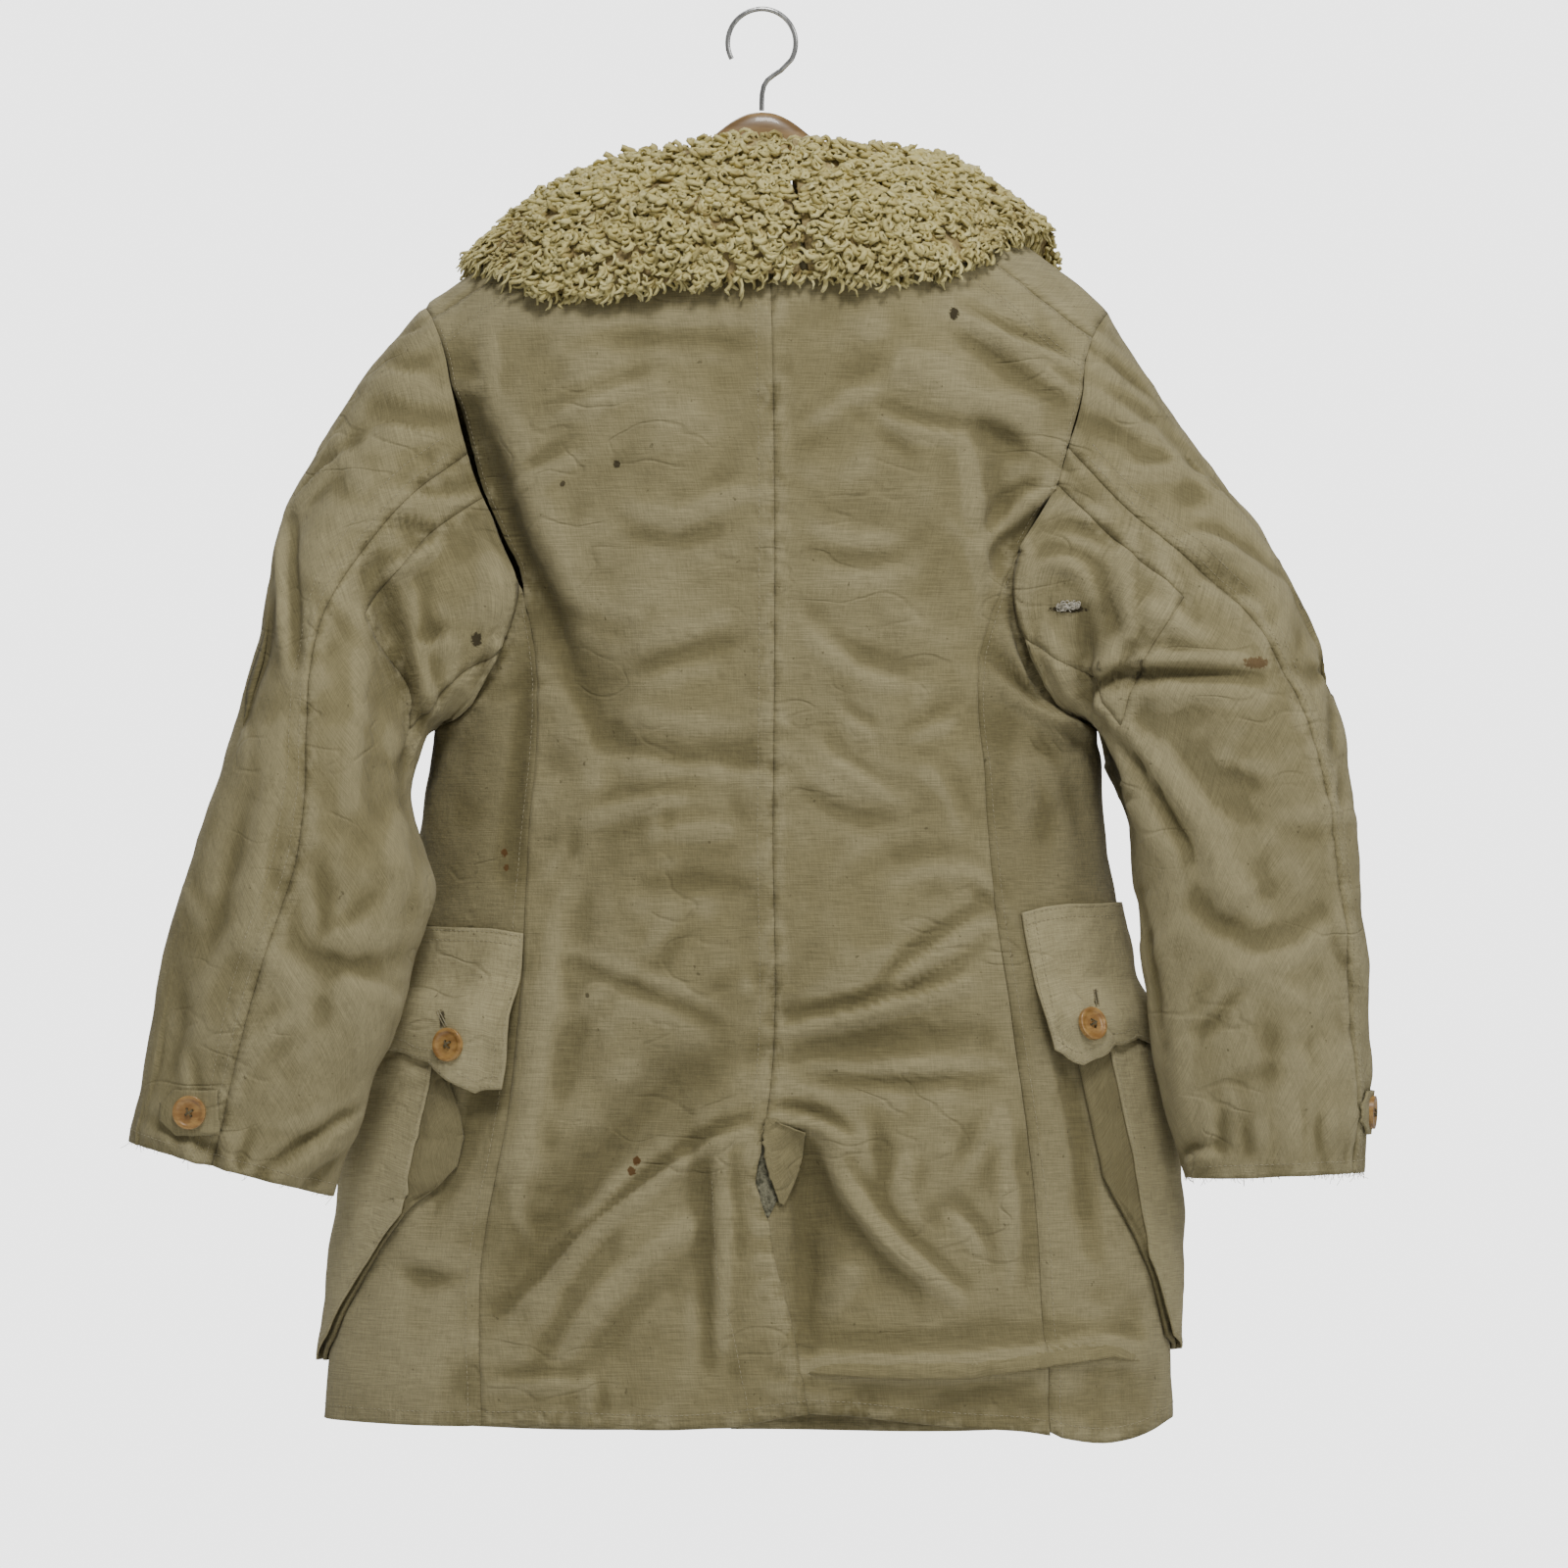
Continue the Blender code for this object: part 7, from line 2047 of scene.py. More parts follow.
@dataclass
class Vent:
    """The strip behind the centre vent and the woolly lining that shows beside it."""

    grids: dict[str, BodyGrid]
    finishes: Finishes

    def strip(self, name: str, hand: str, tops: tuple[float, float], depth: float, slot: str,
            surface: bpy.types.Material) -> None:
        """Build one strip behind the cloth."""
        share = np.linspace(0.0, 1.0, 61)
        points, normals = [], []
        for column in np.linspace(0.0, 1.0, 11):
            top = tops[0] + (tops[1] - tops[0]) * column
            p, n = self.grids[hand].at(float(column), top + (VENT_STRIP_END - top) * share)
            points.append(p)
            normals.append(n)
        base, ways = np.stack(points, axis=1), np.stack(normals, axis=1)
        lift = np.full(base.shape[:2], -(CLOTH * 2 + depth)) - 1.0 + Pocket.lumps(base, 14.0, 0.5, depth)
        slab = Slab(name, base, ways, lift, np.full(base.shape[:2], CLOTH))
        # A tone below a half adds painted shade to a strip that wears the canvas
        piece = slab.build(0.35)
        dress(piece, surface)
        register(piece, slot, name)

    def build(self) -> None:
        """Build both strips."""
        self.strip("vent_underlap", "left", (790.0, 790.0), 0.7, "canvas_dark",
            self.finishes.canvas_dark)
        self.strip("vent_lining", "right", (800.0, 812.0), 2.8, "lining", self.finishes.lining)


class Buttons:
    """Horn buttons with a rim, a dish and four holes, sewn on with thread."""

    def __init__(self, finishes: Finishes) -> None:
        """Keep the finishes and model the one button that is copied."""
        self.finishes = finishes
        self.points, self.faces = self.model()

    @staticmethod
    def model() -> tuple[np.ndarray, list[list[int]]]:
        """Model one button of radius one and height one, and return its points and faces."""
        bpy.ops.object.select_all(action="DESELECT")
        bpy.ops.mesh.primitive_cylinder_add(vertices=40, radius=1.0, depth=1.0, location=(0.0, 0.0, 0.5))
        blank = bpy.context.object
        bpy.ops.object.mode_set(mode="EDIT")
        bpy.ops.mesh.select_mode(type="FACE")
        bpy.ops.mesh.select_all(action="DESELECT")
        bpy.ops.object.mode_set(mode="OBJECT")
        for face in blank.data.polygons:
            face.select = face.normal.z > 0.9
        bpy.ops.object.mode_set(mode="EDIT")
        for thickness, rise in ((0.07, 0.0), (0.12, 0.0), (0.09, -0.22), (0.12, -0.1)):
            bpy.ops.mesh.inset(thickness=thickness, use_boundary=True)
            if rise:
                bpy.ops.transform.translate(value=(0.0, 0.0, rise))
        bpy.ops.object.mode_set(mode="OBJECT")
        bevel = blank.modifiers.new("rounded", "BEVEL")
        bevel.width = 0.06
        bevel.segments = 3
        bevel.limit_method = "ANGLE"
        bpy.ops.object.modifier_apply(modifier=bevel.name)
        drills = []
        for x, y in ((0.17, 0.17), (-0.17, 0.17), (-0.17, -0.17), (0.17, -0.17)):
            bpy.ops.object.select_all(action="DESELECT")
            bpy.ops.mesh.primitive_cylinder_add(vertices=12, radius=0.085, depth=3.0,
                location=(x, y, 0.5))
            drills.append(bpy.context.object)
        for number, drill in enumerate(drills):
            cut = blank.modifiers.new("hole_%d" % number, "BOOLEAN")
            cut.object = drill
            cut.solver = "EXACT"
            bpy.ops.object.select_all(action="DESELECT")
            blank.select_set(True)
            bpy.context.view_layer.objects.active = blank
            bpy.ops.object.modifier_apply(modifier=cut.name)
        points = np.array([tuple(v.co) for v in blank.data.vertices])
        faces = [list(p.vertices) for p in blank.data.polygons]
        for item in [blank, *drills]:
            bpy.data.objects.remove(item, do_unlink=True)
        return points, faces

    @staticmethod
    def place_of(node: str) -> tuple[np.ndarray, np.ndarray, float, float]:
        """Return a CAD button's underside, outward direction, radius and height."""
        item = bpy.data.objects[node]
        spots = np.array([tuple(v.co) for v in item.data.vertices]) / MM
        spots = np.unique(np.round(spots, 3), axis=0)
        middle = (spots.min(axis=0) + spots.max(axis=0)) / 2
        _, _, ways = np.linalg.svd(spots - spots.mean(axis=0), full_matrices=False)
        normal = ways[2]
        centre = np.array([math.copysign(330.0, middle[0]) if "cuff" in node else 0.0,
            -60.0 if "cuff" in node else 0.0, middle[2]])
        if float(np.dot(middle - centre, normal)) < 0:
            normal = -normal
        heights = (spots - middle) @ normal
        flat = spots - middle - heights[:, None] * normal
        radius = float(np.linalg.norm(flat, axis=1).max())
        return middle + normal * heights.min(), normal, radius, float(np.ptp(heights))

    def build(self) -> None:
        """Put a button where each of the frame's buttons is."""
        names = [n for n in frame["nodes"] if n.startswith("button_")]
        rng = np.random.default_rng(SEED)
        for name in sorted(names):
            self.one(name, rng)

    @staticmethod
    def under(name: str) -> BVHTree:
        """Return a tree of the piece that a button lies on."""
        carrier = "front_left"
        for kind, below in (("pocket", "pocket_flap"), ("cuff", "cuff_tab")):
            if kind in name:
                carrier = name.replace("button_" + kind, below)
        return piece_tree(carrier + "_cloth")

    def seated(self, name: str, base: np.ndarray, normal: np.ndarray,
            radius: float) -> tuple[np.ndarray, np.ndarray]:
        """Lay a button flat on the piece below it.

        Args:
            name: the button.
            base: the middle of its underside in the frame.
            normal: its outward direction in the frame.
            radius: its radius.

        Returns:
            The underside's middle and the outward direction on the cloth.
        """
        tree = self.under(name)
        side = unit(np.cross((0.0, 0.0, 1.0), normal))
        up = np.cross(normal, side)
        found = []
        for angle in np.linspace(0.0, 2 * math.pi, 13)[:-1]:
            for r in (0.0, 0.55 * radius, 0.95 * radius):
                spot = base + (side * math.cos(angle) + up * math.sin(angle)) * r
                hit, _, _, _ = tree.ray_cast(Vector(spot + normal * 30.0), Vector(-normal), 60.0)
                if hit is not None:
                    found.append(tuple(hit))
        if len(found) < 12:
            return base, normal
        points = np.array(found)
        middle = points.mean(axis=0)
        way = np.linalg.svd(points - middle, full_matrices=False)[2][2]
        way = way if float(np.dot(way, normal)) > 0 else -way
        rise = float(((points - middle) @ way).max()) + 0.15
        place = middle + way * rise
        LOG.info("%s seated %.2f mm from the frame's place", name, float(np.linalg.norm(place - base)))
        return place, way

    def one(self, name: str, rng: np.random.Generator) -> None:
        """Place one button and its thread."""
        base, normal, radius, height = self.place_of(name)
        base, normal = self.seated(name, base, normal, radius)
        side = unit(np.cross((0.0, 0.0, 1.0), normal))
        up = np.cross(normal, side)
        turn = rng.uniform(-0.5, 0.5)
        a = side * math.cos(turn) + up * math.sin(turn)
        b = np.cross(normal, a)
        axes = np.array([a * radius, b * radius, normal * height])
        points = base + self.points @ axes
        mesh = bpy.data.meshes.new(name + "_horn")
        mesh.from_pydata((points * MM).tolist(), [], self.faces)
        mesh.validate()
        mesh.shade_smooth()
        piece = bpy.data.objects.new(name + "_horn", mesh)
        bpy.context.scene.collection.objects.link(piece)
        bpy.ops.object.select_all(action="DESELECT")
        piece.select_set(True)
        bpy.context.view_layer.objects.active = piece
        bpy.ops.object.shade_smooth_by_angle(angle=math.radians(34))
        dress(piece, self.finishes.horn)
        register(piece, "horn", name)
        paths = []
        for x0, y0, x1, y1 in ((-0.17, -0.17, 0.17, 0.17), (-0.17, 0.17, 0.17, -0.17)):
            for shift in (-0.022, 0.022):
                t = np.linspace(0.0, 1.0, 7)
                bow = 0.66 + 0.16 * np.sin(math.pi * t) - 0.3 * (np.abs(t - 0.5) > 0.45)
                local = np.stack([x0 + (x1 - x0) * t + shift, y0 + (y1 - y0) * t - shift, bow], axis=1)
                paths.append(base + local @ axes)
        path = np.array(paths)
        thread = Collar.tubes(name + "_thread", path, np.full(path.shape[:2], 0.42), rng, 5)
        dress(thread, self.finishes.dark_thread)
        register(thread, "horn")


@dataclass
class CuffTab:
    """The pointed tab that a cuff's button closes."""

    hand: str
    shell: CoatShell
    finishes: Finishes

    def build(self) -> None:
        """Lay the tab on the sleeve, under its button."""
        cad = bpy.data.objects["cuff_tab_" + self.hand]
        spots = np.array([tuple(v.co) for v in cad.data.vertices]) / MM
        middle = (spots.min(axis=0) + spots.max(axis=0)) / 2
        region = Region.LEFT_SLEEVE if self.hand == "left" else Region.RIGHT_SLEEVE
        tree = self.shell.cloth.tree(region)
        left = self.hand == "left"
        way = Vector((0.0, 1.0, 0.0)) if left else Vector((-1.0, 0.0, 0.0))
        across = np.array([1.0, 0.0, 0.0]) if left else np.array([0.0, 1.0, 0.0])
        base, _, _, _ = Buttons.place_of("button_cuff_" + self.hand)
        start = base - np.array(way) * 150.0
        u_low, u_high = ((spots - base) @ across).min(), ((spots - base) @ across).max()
        v_low = (spots - base)[:, 2].min()
        v_high = (spots - base)[:, 2].max()
        half = (v_high - v_low) / 2
        lift_z = (v_high + v_low) / 2
        rows, columns = 25, 17
        point_end = u_high if abs(u_high) < abs(u_low) else u_low
        far_end = u_low if point_end == u_high else u_high
        points, normals = [], []
        for s in np.linspace(0.0, 1.0, rows):
            u = far_end + (point_end - far_end) * s
            narrow = 1.0 - 0.62 * ease((s - 0.72) / 0.28)
            row, ways = [], []
            for t in np.linspace(-1.0, 1.0, columns):
                spot = start + across * u + np.array([0, 0, lift_z + half * narrow * t])
                hit, normal, _, _ = tree.ray_cast(Vector(spot), way)
                if hit is None:
                    hit, normal, _, _ = tree.find_nearest(Vector(spot + np.array(way) * 150.0))
                if normal.dot(way) > 0:
                    normal = -normal
                row.append(tuple(hit))
                ways.append(tuple(normal))
            points.append(row)
            normals.append(ways)
        base_grid, ways = np.array(points), unit(np.array(normals))
        for _ in range(3):
            ways[1:-1, 1:-1] = unit(ways[1:-1, 1:-1] * 2 + ways[:-2, 1:-1] + ways[2:, 1:-1] +
                ways[1:-1, :-2] + ways[1:-1, 2:])
        slab = Slab("cuff_tab_" + self.hand, base_grid, ways, np.full(base_grid.shape[:2], 1.3),
            np.full(base_grid.shape[:2], 2.0))
        piece = slab.build(0.5)
        dress(piece, self.finishes.canvas)
        register(piece, "canvas", "cuff_tab_" + self.hand)
        LOG.info("tab at %s", np.round(middle, 1))


@dataclass
class ArmpitWool:
    """White wool that shows through the worn slit under the right arm."""

    shell: CoatShell
    finishes: Finishes
    count: int = 90

    def build(self) -> None:
        """Lay short curls along the slit."""
        rng = np.random.default_rng(SEED + 4)
        tree = self.shell.cloth.tree(Region.RIGHT_SLEEVE)
        px = rng.uniform(1079.0, 1100.0, self.count)
        py = 619.0 + rng.normal(0.0, 1.3, self.count) - 0.12 * (px - 1089.0)
        line = np.stack(seen(px, py), axis=1)
        root, up = self.shell.cloth.trace(line, tree, -1.0)
        t = np.linspace(0.0, 1.0, 7)
        start = rng.uniform(0.0, 2 * math.pi, self.count)
        way = unit(rng.normal(size=(self.count, 3)))
        lateral = unit(np.cross(up, way))
        phase = start[:, None] + 5.0 * t
        path = (root[:, None] - up[:, None] * 0.6 + up[:, None] * (2.6 * t)[None, :, None] +
            lateral[:, None] * (np.cos(phase) * 1.5)[..., None] + np.cross(up,
            lateral)[:, None] * (np.sin(phase) * 1.5)[..., None])
        piece = Collar.tubes("armpit_wool", path, np.full(path.shape[:2], 0.45), rng, 4)
        dress(piece, self.finishes.white_wool)
        register(piece, "lining")


def piece_tree(name: str) -> BVHTree:
    """Return a finished piece as a tree in millimetres, for casting rays."""
    mesh = bpy.data.objects[name].data
    return BVHTree.FromPolygons([v.co / MM for v in mesh.vertices],
        [list(p.vertices) for p in mesh.polygons])


@dataclass
class VentCorner:
    """The turned corner at the top of the vent and the woolly lining beside it."""

    shell: CoatShell
    finishes: Finishes

    def grid(self, left: tuple, right: tuple, rows: int,
            columns: int) -> tuple[np.ndarray, np.ndarray, np.ndarray, np.ndarray]:
        """Lay a grid on the cloth between two edges seen in the picture.

        Args:
            left: the first column's places in the picture, from top to bottom.
            right: the last column's places.
            rows: points down.
            columns: points across.

        Returns:
            The points, the outward directions, and the shares down and across.
        """
        t = np.linspace(0.0, 1.0, rows)
        sides = [np.stack([np.interp(t, np.linspace(0, 1, len(side)),
            np.array(side)[:, k]) for k in range(2)], axis=1) for side in (left, right)]
        s = np.linspace(0.0, 1.0, columns)
        px = sides[0][:, None] * (1 - s)[None, :, None] + sides[1][:, None] * s[None, :, None]
        line = np.stack(seen(px[..., 0].ravel(), px[..., 1].ravel()), axis=1)
        points, ways = self.shell.cloth.trace(line, self.shell.cloth.tree(Region.BODY), -1.0)
        shape = (rows, columns, 3)
        return points.reshape(shape), ways.reshape(shape), t[:, None], s[None]

    def build(self) -> None:
        """Lay the lining and turn the corner over beside it."""
        points, ways, t, s = self.grid(((779, 1146), (772, 1172), (766, 1197), (770, 1214), (778, 1238)),
            ((781, 1146), (783, 1172), (792, 1197), (794, 1220), (784, 1240)), 41, 13)
        edge = ease(np.minimum(np.minimum(t, 1 - t) * 9.0, np.minimum(s, 1 - s) * 4.0))
        slab = Slab("vent_corner_lining", points, ways, 0.5 + 0.0 * edge,
            0.4 + 0.9 * edge + Pocket.lumps(points, 3.0, 0.5, 3.0) * edge)
        slab.finish(0.5, self.finishes.lining, "lining", "back_right")
        points, ways, t, s = self.grid(((780, 1140), (777, 1160), (779, 1182), (786, 1205), (794, 1226)),
            ((785, 1139), (823, 1152), (819, 1178), (808, 1204), (798, 1228)), 45, 21)
        arch = np.sin(math.pi * np.clip(t, 0.02, 0.98)) ** 0.7
        lift = 1.0 + 3.6 * arch * (1 - s) ** 2 + 1.4 * arch * s ** 3
        slab = Slab("vent_corner", points, ways, lift, np.full(lift.shape, CLOTH))
        slab.finish(0.6, self.finishes.canvas, "canvas", "back_right")
        self.fold("hem_fold_right", ((816, 1362), (900, 1368), (990, 1370), (1097, 1357), (1135, 1356),
            (1168, 1368)), ((817, 1398), (900, 1402), (990, 1402), (1097, 1388), (1133, 1384),
            (1168, 1391)), 2.8)
        edge_rim = Slab("vent_left_rim", *self.grid(((777, 1150), (769, 1174), (762, 1198), (768, 1214),
            (775, 1236)), ((780, 1150), (773, 1174), (767, 1198), (771, 1214), (779, 1238)), 41, 5)[:2],
            np.full((41, 5), 0.9), np.full((41, 5), CLOTH))
        edge_rim.finish(0.65, self.finishes.canvas, "canvas", "back_left")

    def fold(self, name: str, upper: tuple, lower: tuple, proud: float) -> None:
        """Lay a fold whose lower edge stands proud of the cloth and whose upper edge runs in.

        Args:
            name: the fold's name.
            upper: its upper edge's places in the picture.
            lower: its lower edge's places.
            proud: how far the lower edge stands off.
        """
        points, ways, t, s = self.grid(upper, lower, 97, 15)
        points, ways = points.transpose(1, 0, 2), ways.transpose(1, 0, 2)
        taper = np.sin(math.pi * np.clip(t.T, 0.01, 0.99)) ** 0.5
        wave = 1.0 + 0.35 * np.sin(t.T * 17.0) * np.cos(t.T * 7.0)
        rise = s.T ** 2.2 * (CLOTH + 0.9 + (proud - CLOTH) * wave)
        lift = -CLOTH - 0.9 + rise * taper
        slab = Slab(name, points, ways, lift, np.full(lift.shape, CLOTH))
        slab.finish(0.52, self.finishes.canvas, "canvas", "back_right")


@dataclass
class Buttonholes:
    """Slits bound with thread beside the pocket and front buttons."""

    finishes: Finishes

    def build(self) -> None:
        """Sew each buttonhole on the sheet that it is cut in."""
        rows = Stitches("stitching_buttonholes", 1.0, 1.15, 1.0)
        for name, start, end in (("pocket_flap_left_cloth", (447, 1030), (457, 1048)),
                ("pocket_flap_right_cloth", (1117, 1009), (1120, 1027))):
            ends = np.array([seen(*start), seen(*end)])
            self.hole(rows, piece_tree(name), ends, -1.0)
        tree = piece_tree("front_left_cloth")
        for node in sorted(n for n in frame["nodes"] if n.startswith("button_front")):
            middle, _, radius, _ = Buttons.place_of(node)
            ends = np.array([[middle[0] - 1.0, -middle[2]], [middle[0] - radius - 6.0, -middle[2]]])
            self.hole(rows, tree, ends, 1.0)
        rows.build(self.finishes.thread)

    @staticmethod
    def hole(rows: Stitches, tree: BVHTree, ends: np.ndarray, side: float) -> None:
        """Sew the two bound edges of one buttonhole.

        Args:
            rows: the stitches that it joins.
            tree: the sheet that it is cut in.
            ends: x and drop of its two ends.
            side: -1 on the back and 1 in front.
        """
        way = (ends[1] - ends[0]) / np.linalg.norm(ends[1] - ends[0])
        for shift in (-0.9, 0.9):
            found = []
            for share in np.linspace(0.0, 1.0, 12):
                x, drop = (ends[0] + (ends[1] - ends[0]) * share + np.array([-way[1], way[0]]) * shift)
                hit, normal, _, _ = tree.ray_cast(Vector((x, side * 400.0, -drop)),
                    Vector((0.0, -side, 0.0)))
                if hit is not None:
                    found.append((tuple(hit), tuple(normal * (1 if normal.y * side > 0 else -1))))
            if len(found) > 3:
                points, normals = np.array(found).transpose(1, 0, 2)
                rows.row(points + normals * 0.15, normals)


@dataclass
class CuffFray:
    """Loose threads along the worn edges of the cuffs."""

    shell: CoatShell
    finishes: Finishes
    count: int = 260

    def build(self) -> None:
        """Hang threads from the right cuff and a few from the left."""
        rng = np.random.default_rng(SEED + 9)
        t = np.linspace(0.0, 1.0, 5)
        paths = []
        for hand, count in (("right", self.count), ("left", self.count // 4)):
            xyz, normals = self.shell.points_of("sleeve_" + hand)
            down = unit(xyz[-1] - xyz[-4])
            at = rng.uniform(0, len(xyz[-1]) - 1.001, count)
            low, share = at.astype(int), (at % 1.0)[:, None]
            root = xyz[-1][low] * (1 - share) + xyz[-1][low + 1] * share - normals[-1][low] * 0.8
            long = rng.gamma(2.0, 1.1, count).clip(0.6, 6.0)[:, None, None]
            curl = rng.normal(0.0, 0.55, (count, 3))[:, None] * long
            paths.append(root[:, None] + (down[low][:, None] * long) *
                t[None, :, None] + curl * (t ** 2)[None, :, None] - down[low][:, None] * 0.6)
        path = np.concatenate(paths)
        piece = Collar.tubes("cuff_fray", path, np.full(path.shape[:2], 0.17), rng, 3)
        dress(piece, self.finishes.thread)
        register(piece, "canvas")


@dataclass
class Hanger:
    """The wooden arm, drawn out of one oval end, and its wire hook."""

    finishes: Finishes
    arm: tuple[tuple[float, float, float, float], ...] = ((0, 70.5, 33.0, 13.0), (10, 71.8, 33.0, 13.0),
        (20, 76.5, 31.0, 13.0), (32, 85.5, 29.5, 13.0), (52, 103.5, 27.0, 13.0), (68, 119.5, 25.0, 13.0),
        (82, 123.5, 24.0, 13.0), (120, 138.5, 23.0, 13.0), (160, 157.5, 21.0, 14.0),
        (190, 175.0, 17.0, 14.0), (203, 185.0, 11.0, 10.0), (207, 189.0, 5.0, 5.0))

    def build(self) -> None:
        """Build the arm and the hook."""
        self.build_arm()
        self.build_hook()

    def build_arm(self) -> None:
        """Draw the arm out of an oval, station by station."""
        cad = np.array([tuple(v.co) for v in bpy.data.objects["hanger_wood"].data.vertices]) / MM
        half = np.array(self.arm, float)
        table = np.vstack([half[:0:-1] * (-1.0, 1.0, 1.0, 1.0), half])
        at = np.concatenate([np.linspace(-207.0, -40.0, 30), np.linspace(-36.0, 36.0, 25),
            np.linspace(40.0, 207.0, 30)])
        top, high, thick = (smooth(table, k, at) for k in (1, 2, 3))
        for i, x in enumerate(at):
            near = cad[np.abs(cad[:, 0] - x) < 17.0]
            if abs(x) > 60.0 and len(near):
                top[i] = max(top[i], -near[:, 2].max() + 0.4)
        bpy.ops.object.select_all(action="DESELECT")
        bpy.ops.mesh.primitive_circle_add(vertices=24, radius=0.5 * MM, fill_type="NGON",
            location=(0.0, 0.0, 0.0))
        arm = bpy.context.object
        arm.name = arm.data.name = "hanger_arm"
        bpy.ops.object.mode_set(mode="EDIT")
        bpy.ops.mesh.select_all(action="SELECT")
        bpy.ops.transform.rotate(value=math.pi / 2, orient_axis="Y", center_override=(0.0, 0.0, 0.0))
        size = (1.0, 1.0)
        place = np.zeros(3)
        for i, x in enumerate(at):
            goal = np.array([x, 0.0, -(top[i] + high[i] / 2)]) * MM
            if i:
                bpy.ops.mesh.extrude_region_move(TRANSFORM_OT_translate={"value": tuple(goal - place)})
            else:
                bpy.ops.transform.translate(value=tuple(goal))
            place = goal
            bpy.ops.transform.resize(value=(1.0, thick[i] / size[0], high[i] / size[1]))
            size = (thick[i], high[i])
        bpy.ops.mesh.select_all(action="SELECT")
        bpy.ops.mesh.normals_make_consistent(inside=False)
        bpy.ops.object.mode_set(mode="OBJECT")
        bpy.ops.object.shade_smooth()
        arm.data.update()
        dress(arm, self.finishes.wood)
        register(arm, "wood", "hanger_wood")

    def build_hook(self) -> None:
        """Bend the hook's wire along a curve and turn it into a mesh."""
        turn = np.radians(np.linspace(-38.0, 208.0, 60))
        bow = [(23.8 * math.cos(a), 0.0, -22.0 + 23.8 * math.sin(a)) for a in turn]
        stem = [(0.0, 0.0, -69.4), (0.0, 0.0, -64.0), (0.2, 0.0, -58.0), (1.5, 0.0, -52.0),
            (4.0, 0.0, -48.0), (8.5, 0.0, -44.4), (13.5, 0.0, -41.2)]
        path = np.array(stem + bow[2:]) * MM
        curve = bpy.data.curves.new("hook_wire", "CURVE")
        curve.dimensions = "3D"
        curve.bevel_depth = 1.75 * MM
        curve.bevel_resolution = 3
        curve.use_fill_caps = True
        spline = curve.splines.new("POLY")
        spline.points.add(len(path) - 1)
        spline.points.foreach_set("co", np.column_stack([path, np.ones(len(path))]).ravel())
        wire = bpy.data.objects.new("hook_wire", curve)
        bpy.context.scene.collection.objects.link(wire)
        bpy.ops.object.select_all(action="DESELECT")
        wire.select_set(True)
        bpy.context.view_layer.objects.active = wire
        bpy.ops.object.convert(target="MESH")
        wire = bpy.context.object
        bpy.ops.object.shade_smooth_by_angle(angle=math.radians(50))
        dress(wire, self.finishes.steel)
        register(wire, "steel", "hanger_hook")


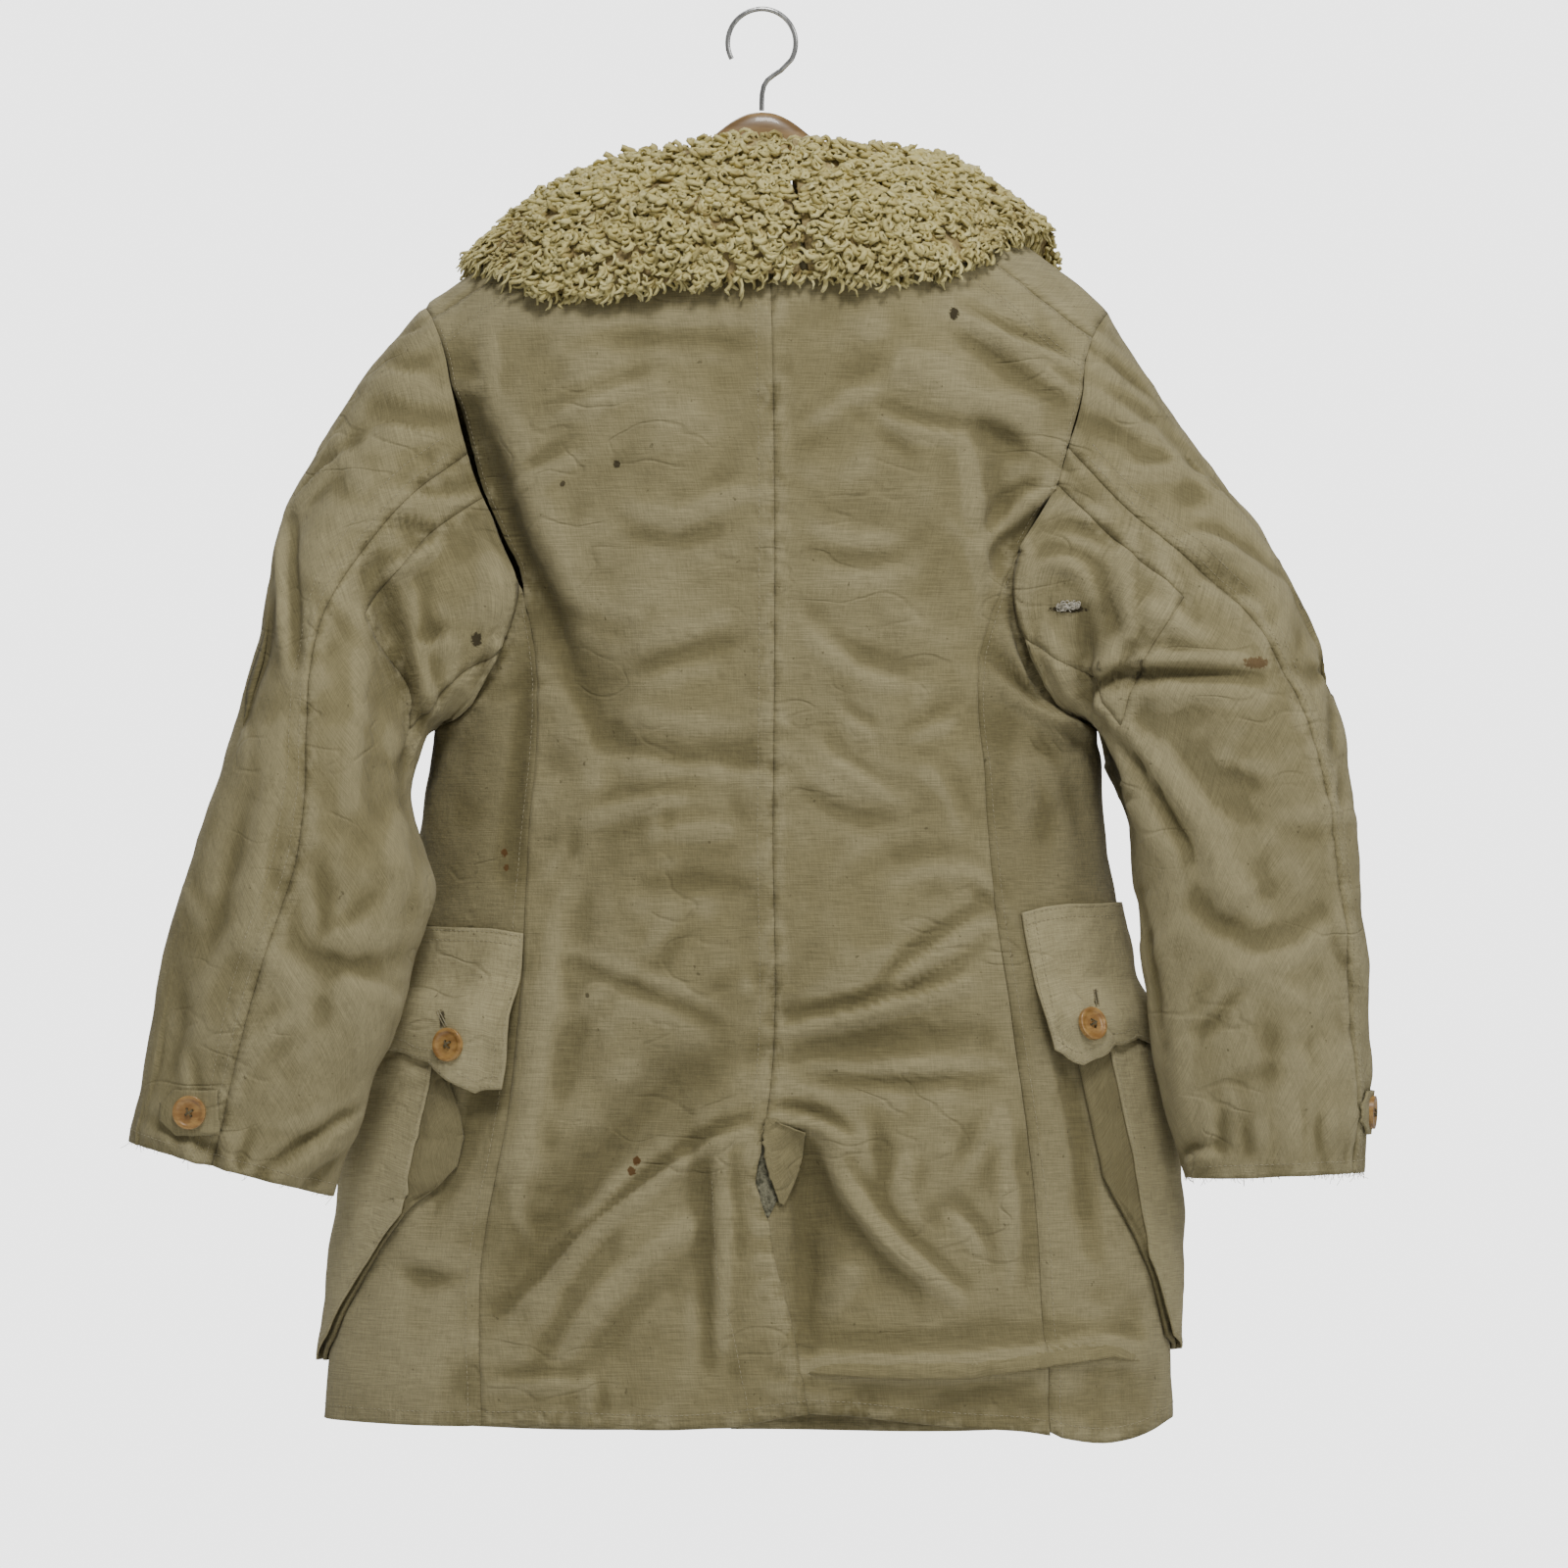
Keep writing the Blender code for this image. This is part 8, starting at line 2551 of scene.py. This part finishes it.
@dataclass
class Studio:
    """The pale floor, the soft lights and the camera at the picture's angle."""

    floor_z: float = -1.45
    distance: float = 7.0

    def build(self) -> None:
        """Make the floor, the world, the lights and the camera."""
        sheet, shader, made = new_surface("studio_floor")
        place = sheet.add("TexCoord").outputs["Object"]
        grain = sheet.noise(place, 3.0, 3.0)
        sheet.put(sheet.mix(sheet.steps(grain, 0.3, 0.7), (0.80, 0.80, 0.79, 1.0),
            (0.84, 0.84, 0.83, 1.0)), shader.inputs["Base Color"])
        shader.inputs["Roughness"].default_value = 0.9
        bpy.ops.object.select_all(action="DESELECT")
        bpy.ops.mesh.primitive_circle_add(vertices=64, radius=4.3, fill_type="NGON",
            location=(0.0, 0.0, 0.0))
        floor = bpy.context.object
        floor.name = floor.data.name = "studio_floor"
        bpy.ops.object.mode_set(mode="EDIT")
        bpy.ops.mesh.select_all(action="SELECT")
        bpy.ops.transform.translate(value=(0.0, 0.0, self.floor_z))
        bpy.ops.mesh.inset(thickness=1.5)
        bpy.ops.object.mode_set(mode="OBJECT")
        dress(floor, made)
        world = bpy.context.scene.world or bpy.data.worlds.new("studio")
        bpy.context.scene.world = world
        world.use_nodes = True
        back = world.node_tree.nodes["Background"]
        back.inputs["Color"].default_value = (1.0, 1.0, 1.0, 1.0)
        shown = world.node_tree.nodes.new("ShaderNodeLightPath")
        level = world.node_tree.nodes.new("ShaderNodeMapRange")
        world.node_tree.links.new(shown.outputs["Is Camera Ray"], level.inputs["Value"])
        level.inputs["To Min"].default_value = 0.31
        level.inputs["To Max"].default_value = 3.2
        world.node_tree.links.new(level.outputs[0], back.inputs["Strength"])
        self.light("key", (0.25, -2.5, 2.8), (0.0, 0.0, -0.5), 120.0, 1.1)
        self.light("fill", (3.4, -2.2, 1.2), (0.0, 0.0, -0.6), 44.0, 1.6)
        self.light("rim", (-0.9, 3.0, 2.4), (0.0, 0.0, -0.5), 70.0, 1.4)
        self.camera()

    @staticmethod
    def light(name: str, place: tuple[float, float, float], aim: tuple[float, float, float],
            power: float, size: float) -> None:
        """Hang one square soft light."""
        data = bpy.data.lights.new(name, "AREA")
        data.energy = power
        data.size = size
        item = bpy.data.objects.new(name, data)
        item.location = place
        item.rotation_euler = (Vector(aim) - Vector(place)).to_track_quat("-Z", "Y").to_euler()
        bpy.context.scene.collection.objects.link(item)

    def camera(self) -> None:
        """Stand the camera behind the coat, level with its middle."""
        data = bpy.data.cameras.new("camera")
        data.sensor_width = 36.0
        data.lens = 36.0 * (self.distance - 0.06) / 1.088
        item = bpy.data.objects.new("camera", data)
        item.location = (0.0156, -self.distance, -0.5406)
        item.rotation_euler = (math.pi / 2, 0.0, 0.0)
        bpy.context.scene.collection.objects.link(item)
        bpy.context.scene.camera = item


def main() -> None:
    """Build the coat piece by piece, then its studio."""
    logging.basicConfig(level=logging.INFO, format="%(name)s: %(message)s")
    finishes = Finishes()
    shell = CoatShell(finishes)
    shell.build()
    stitches = Stitches("stitching_pockets")
    for hand in ("left", "right"):
        Pocket(hand, shell.grids[hand], finishes).build(stitches)
        CuffTab(hand, shell, finishes).build()
    stitches.build(finishes.thread)
    Vent(shell.grids, finishes).build()
    Collar(finishes).build()
    Buttons(finishes).build()
    Buttonholes(finishes).build()
    VentCorner(shell, finishes).build()
    ArmpitWool(shell, finishes).build()
    CuffFray(shell, finishes).build()
    Hanger(finishes).build()
    Studio().build()


if __name__ == "__main__":
    main()
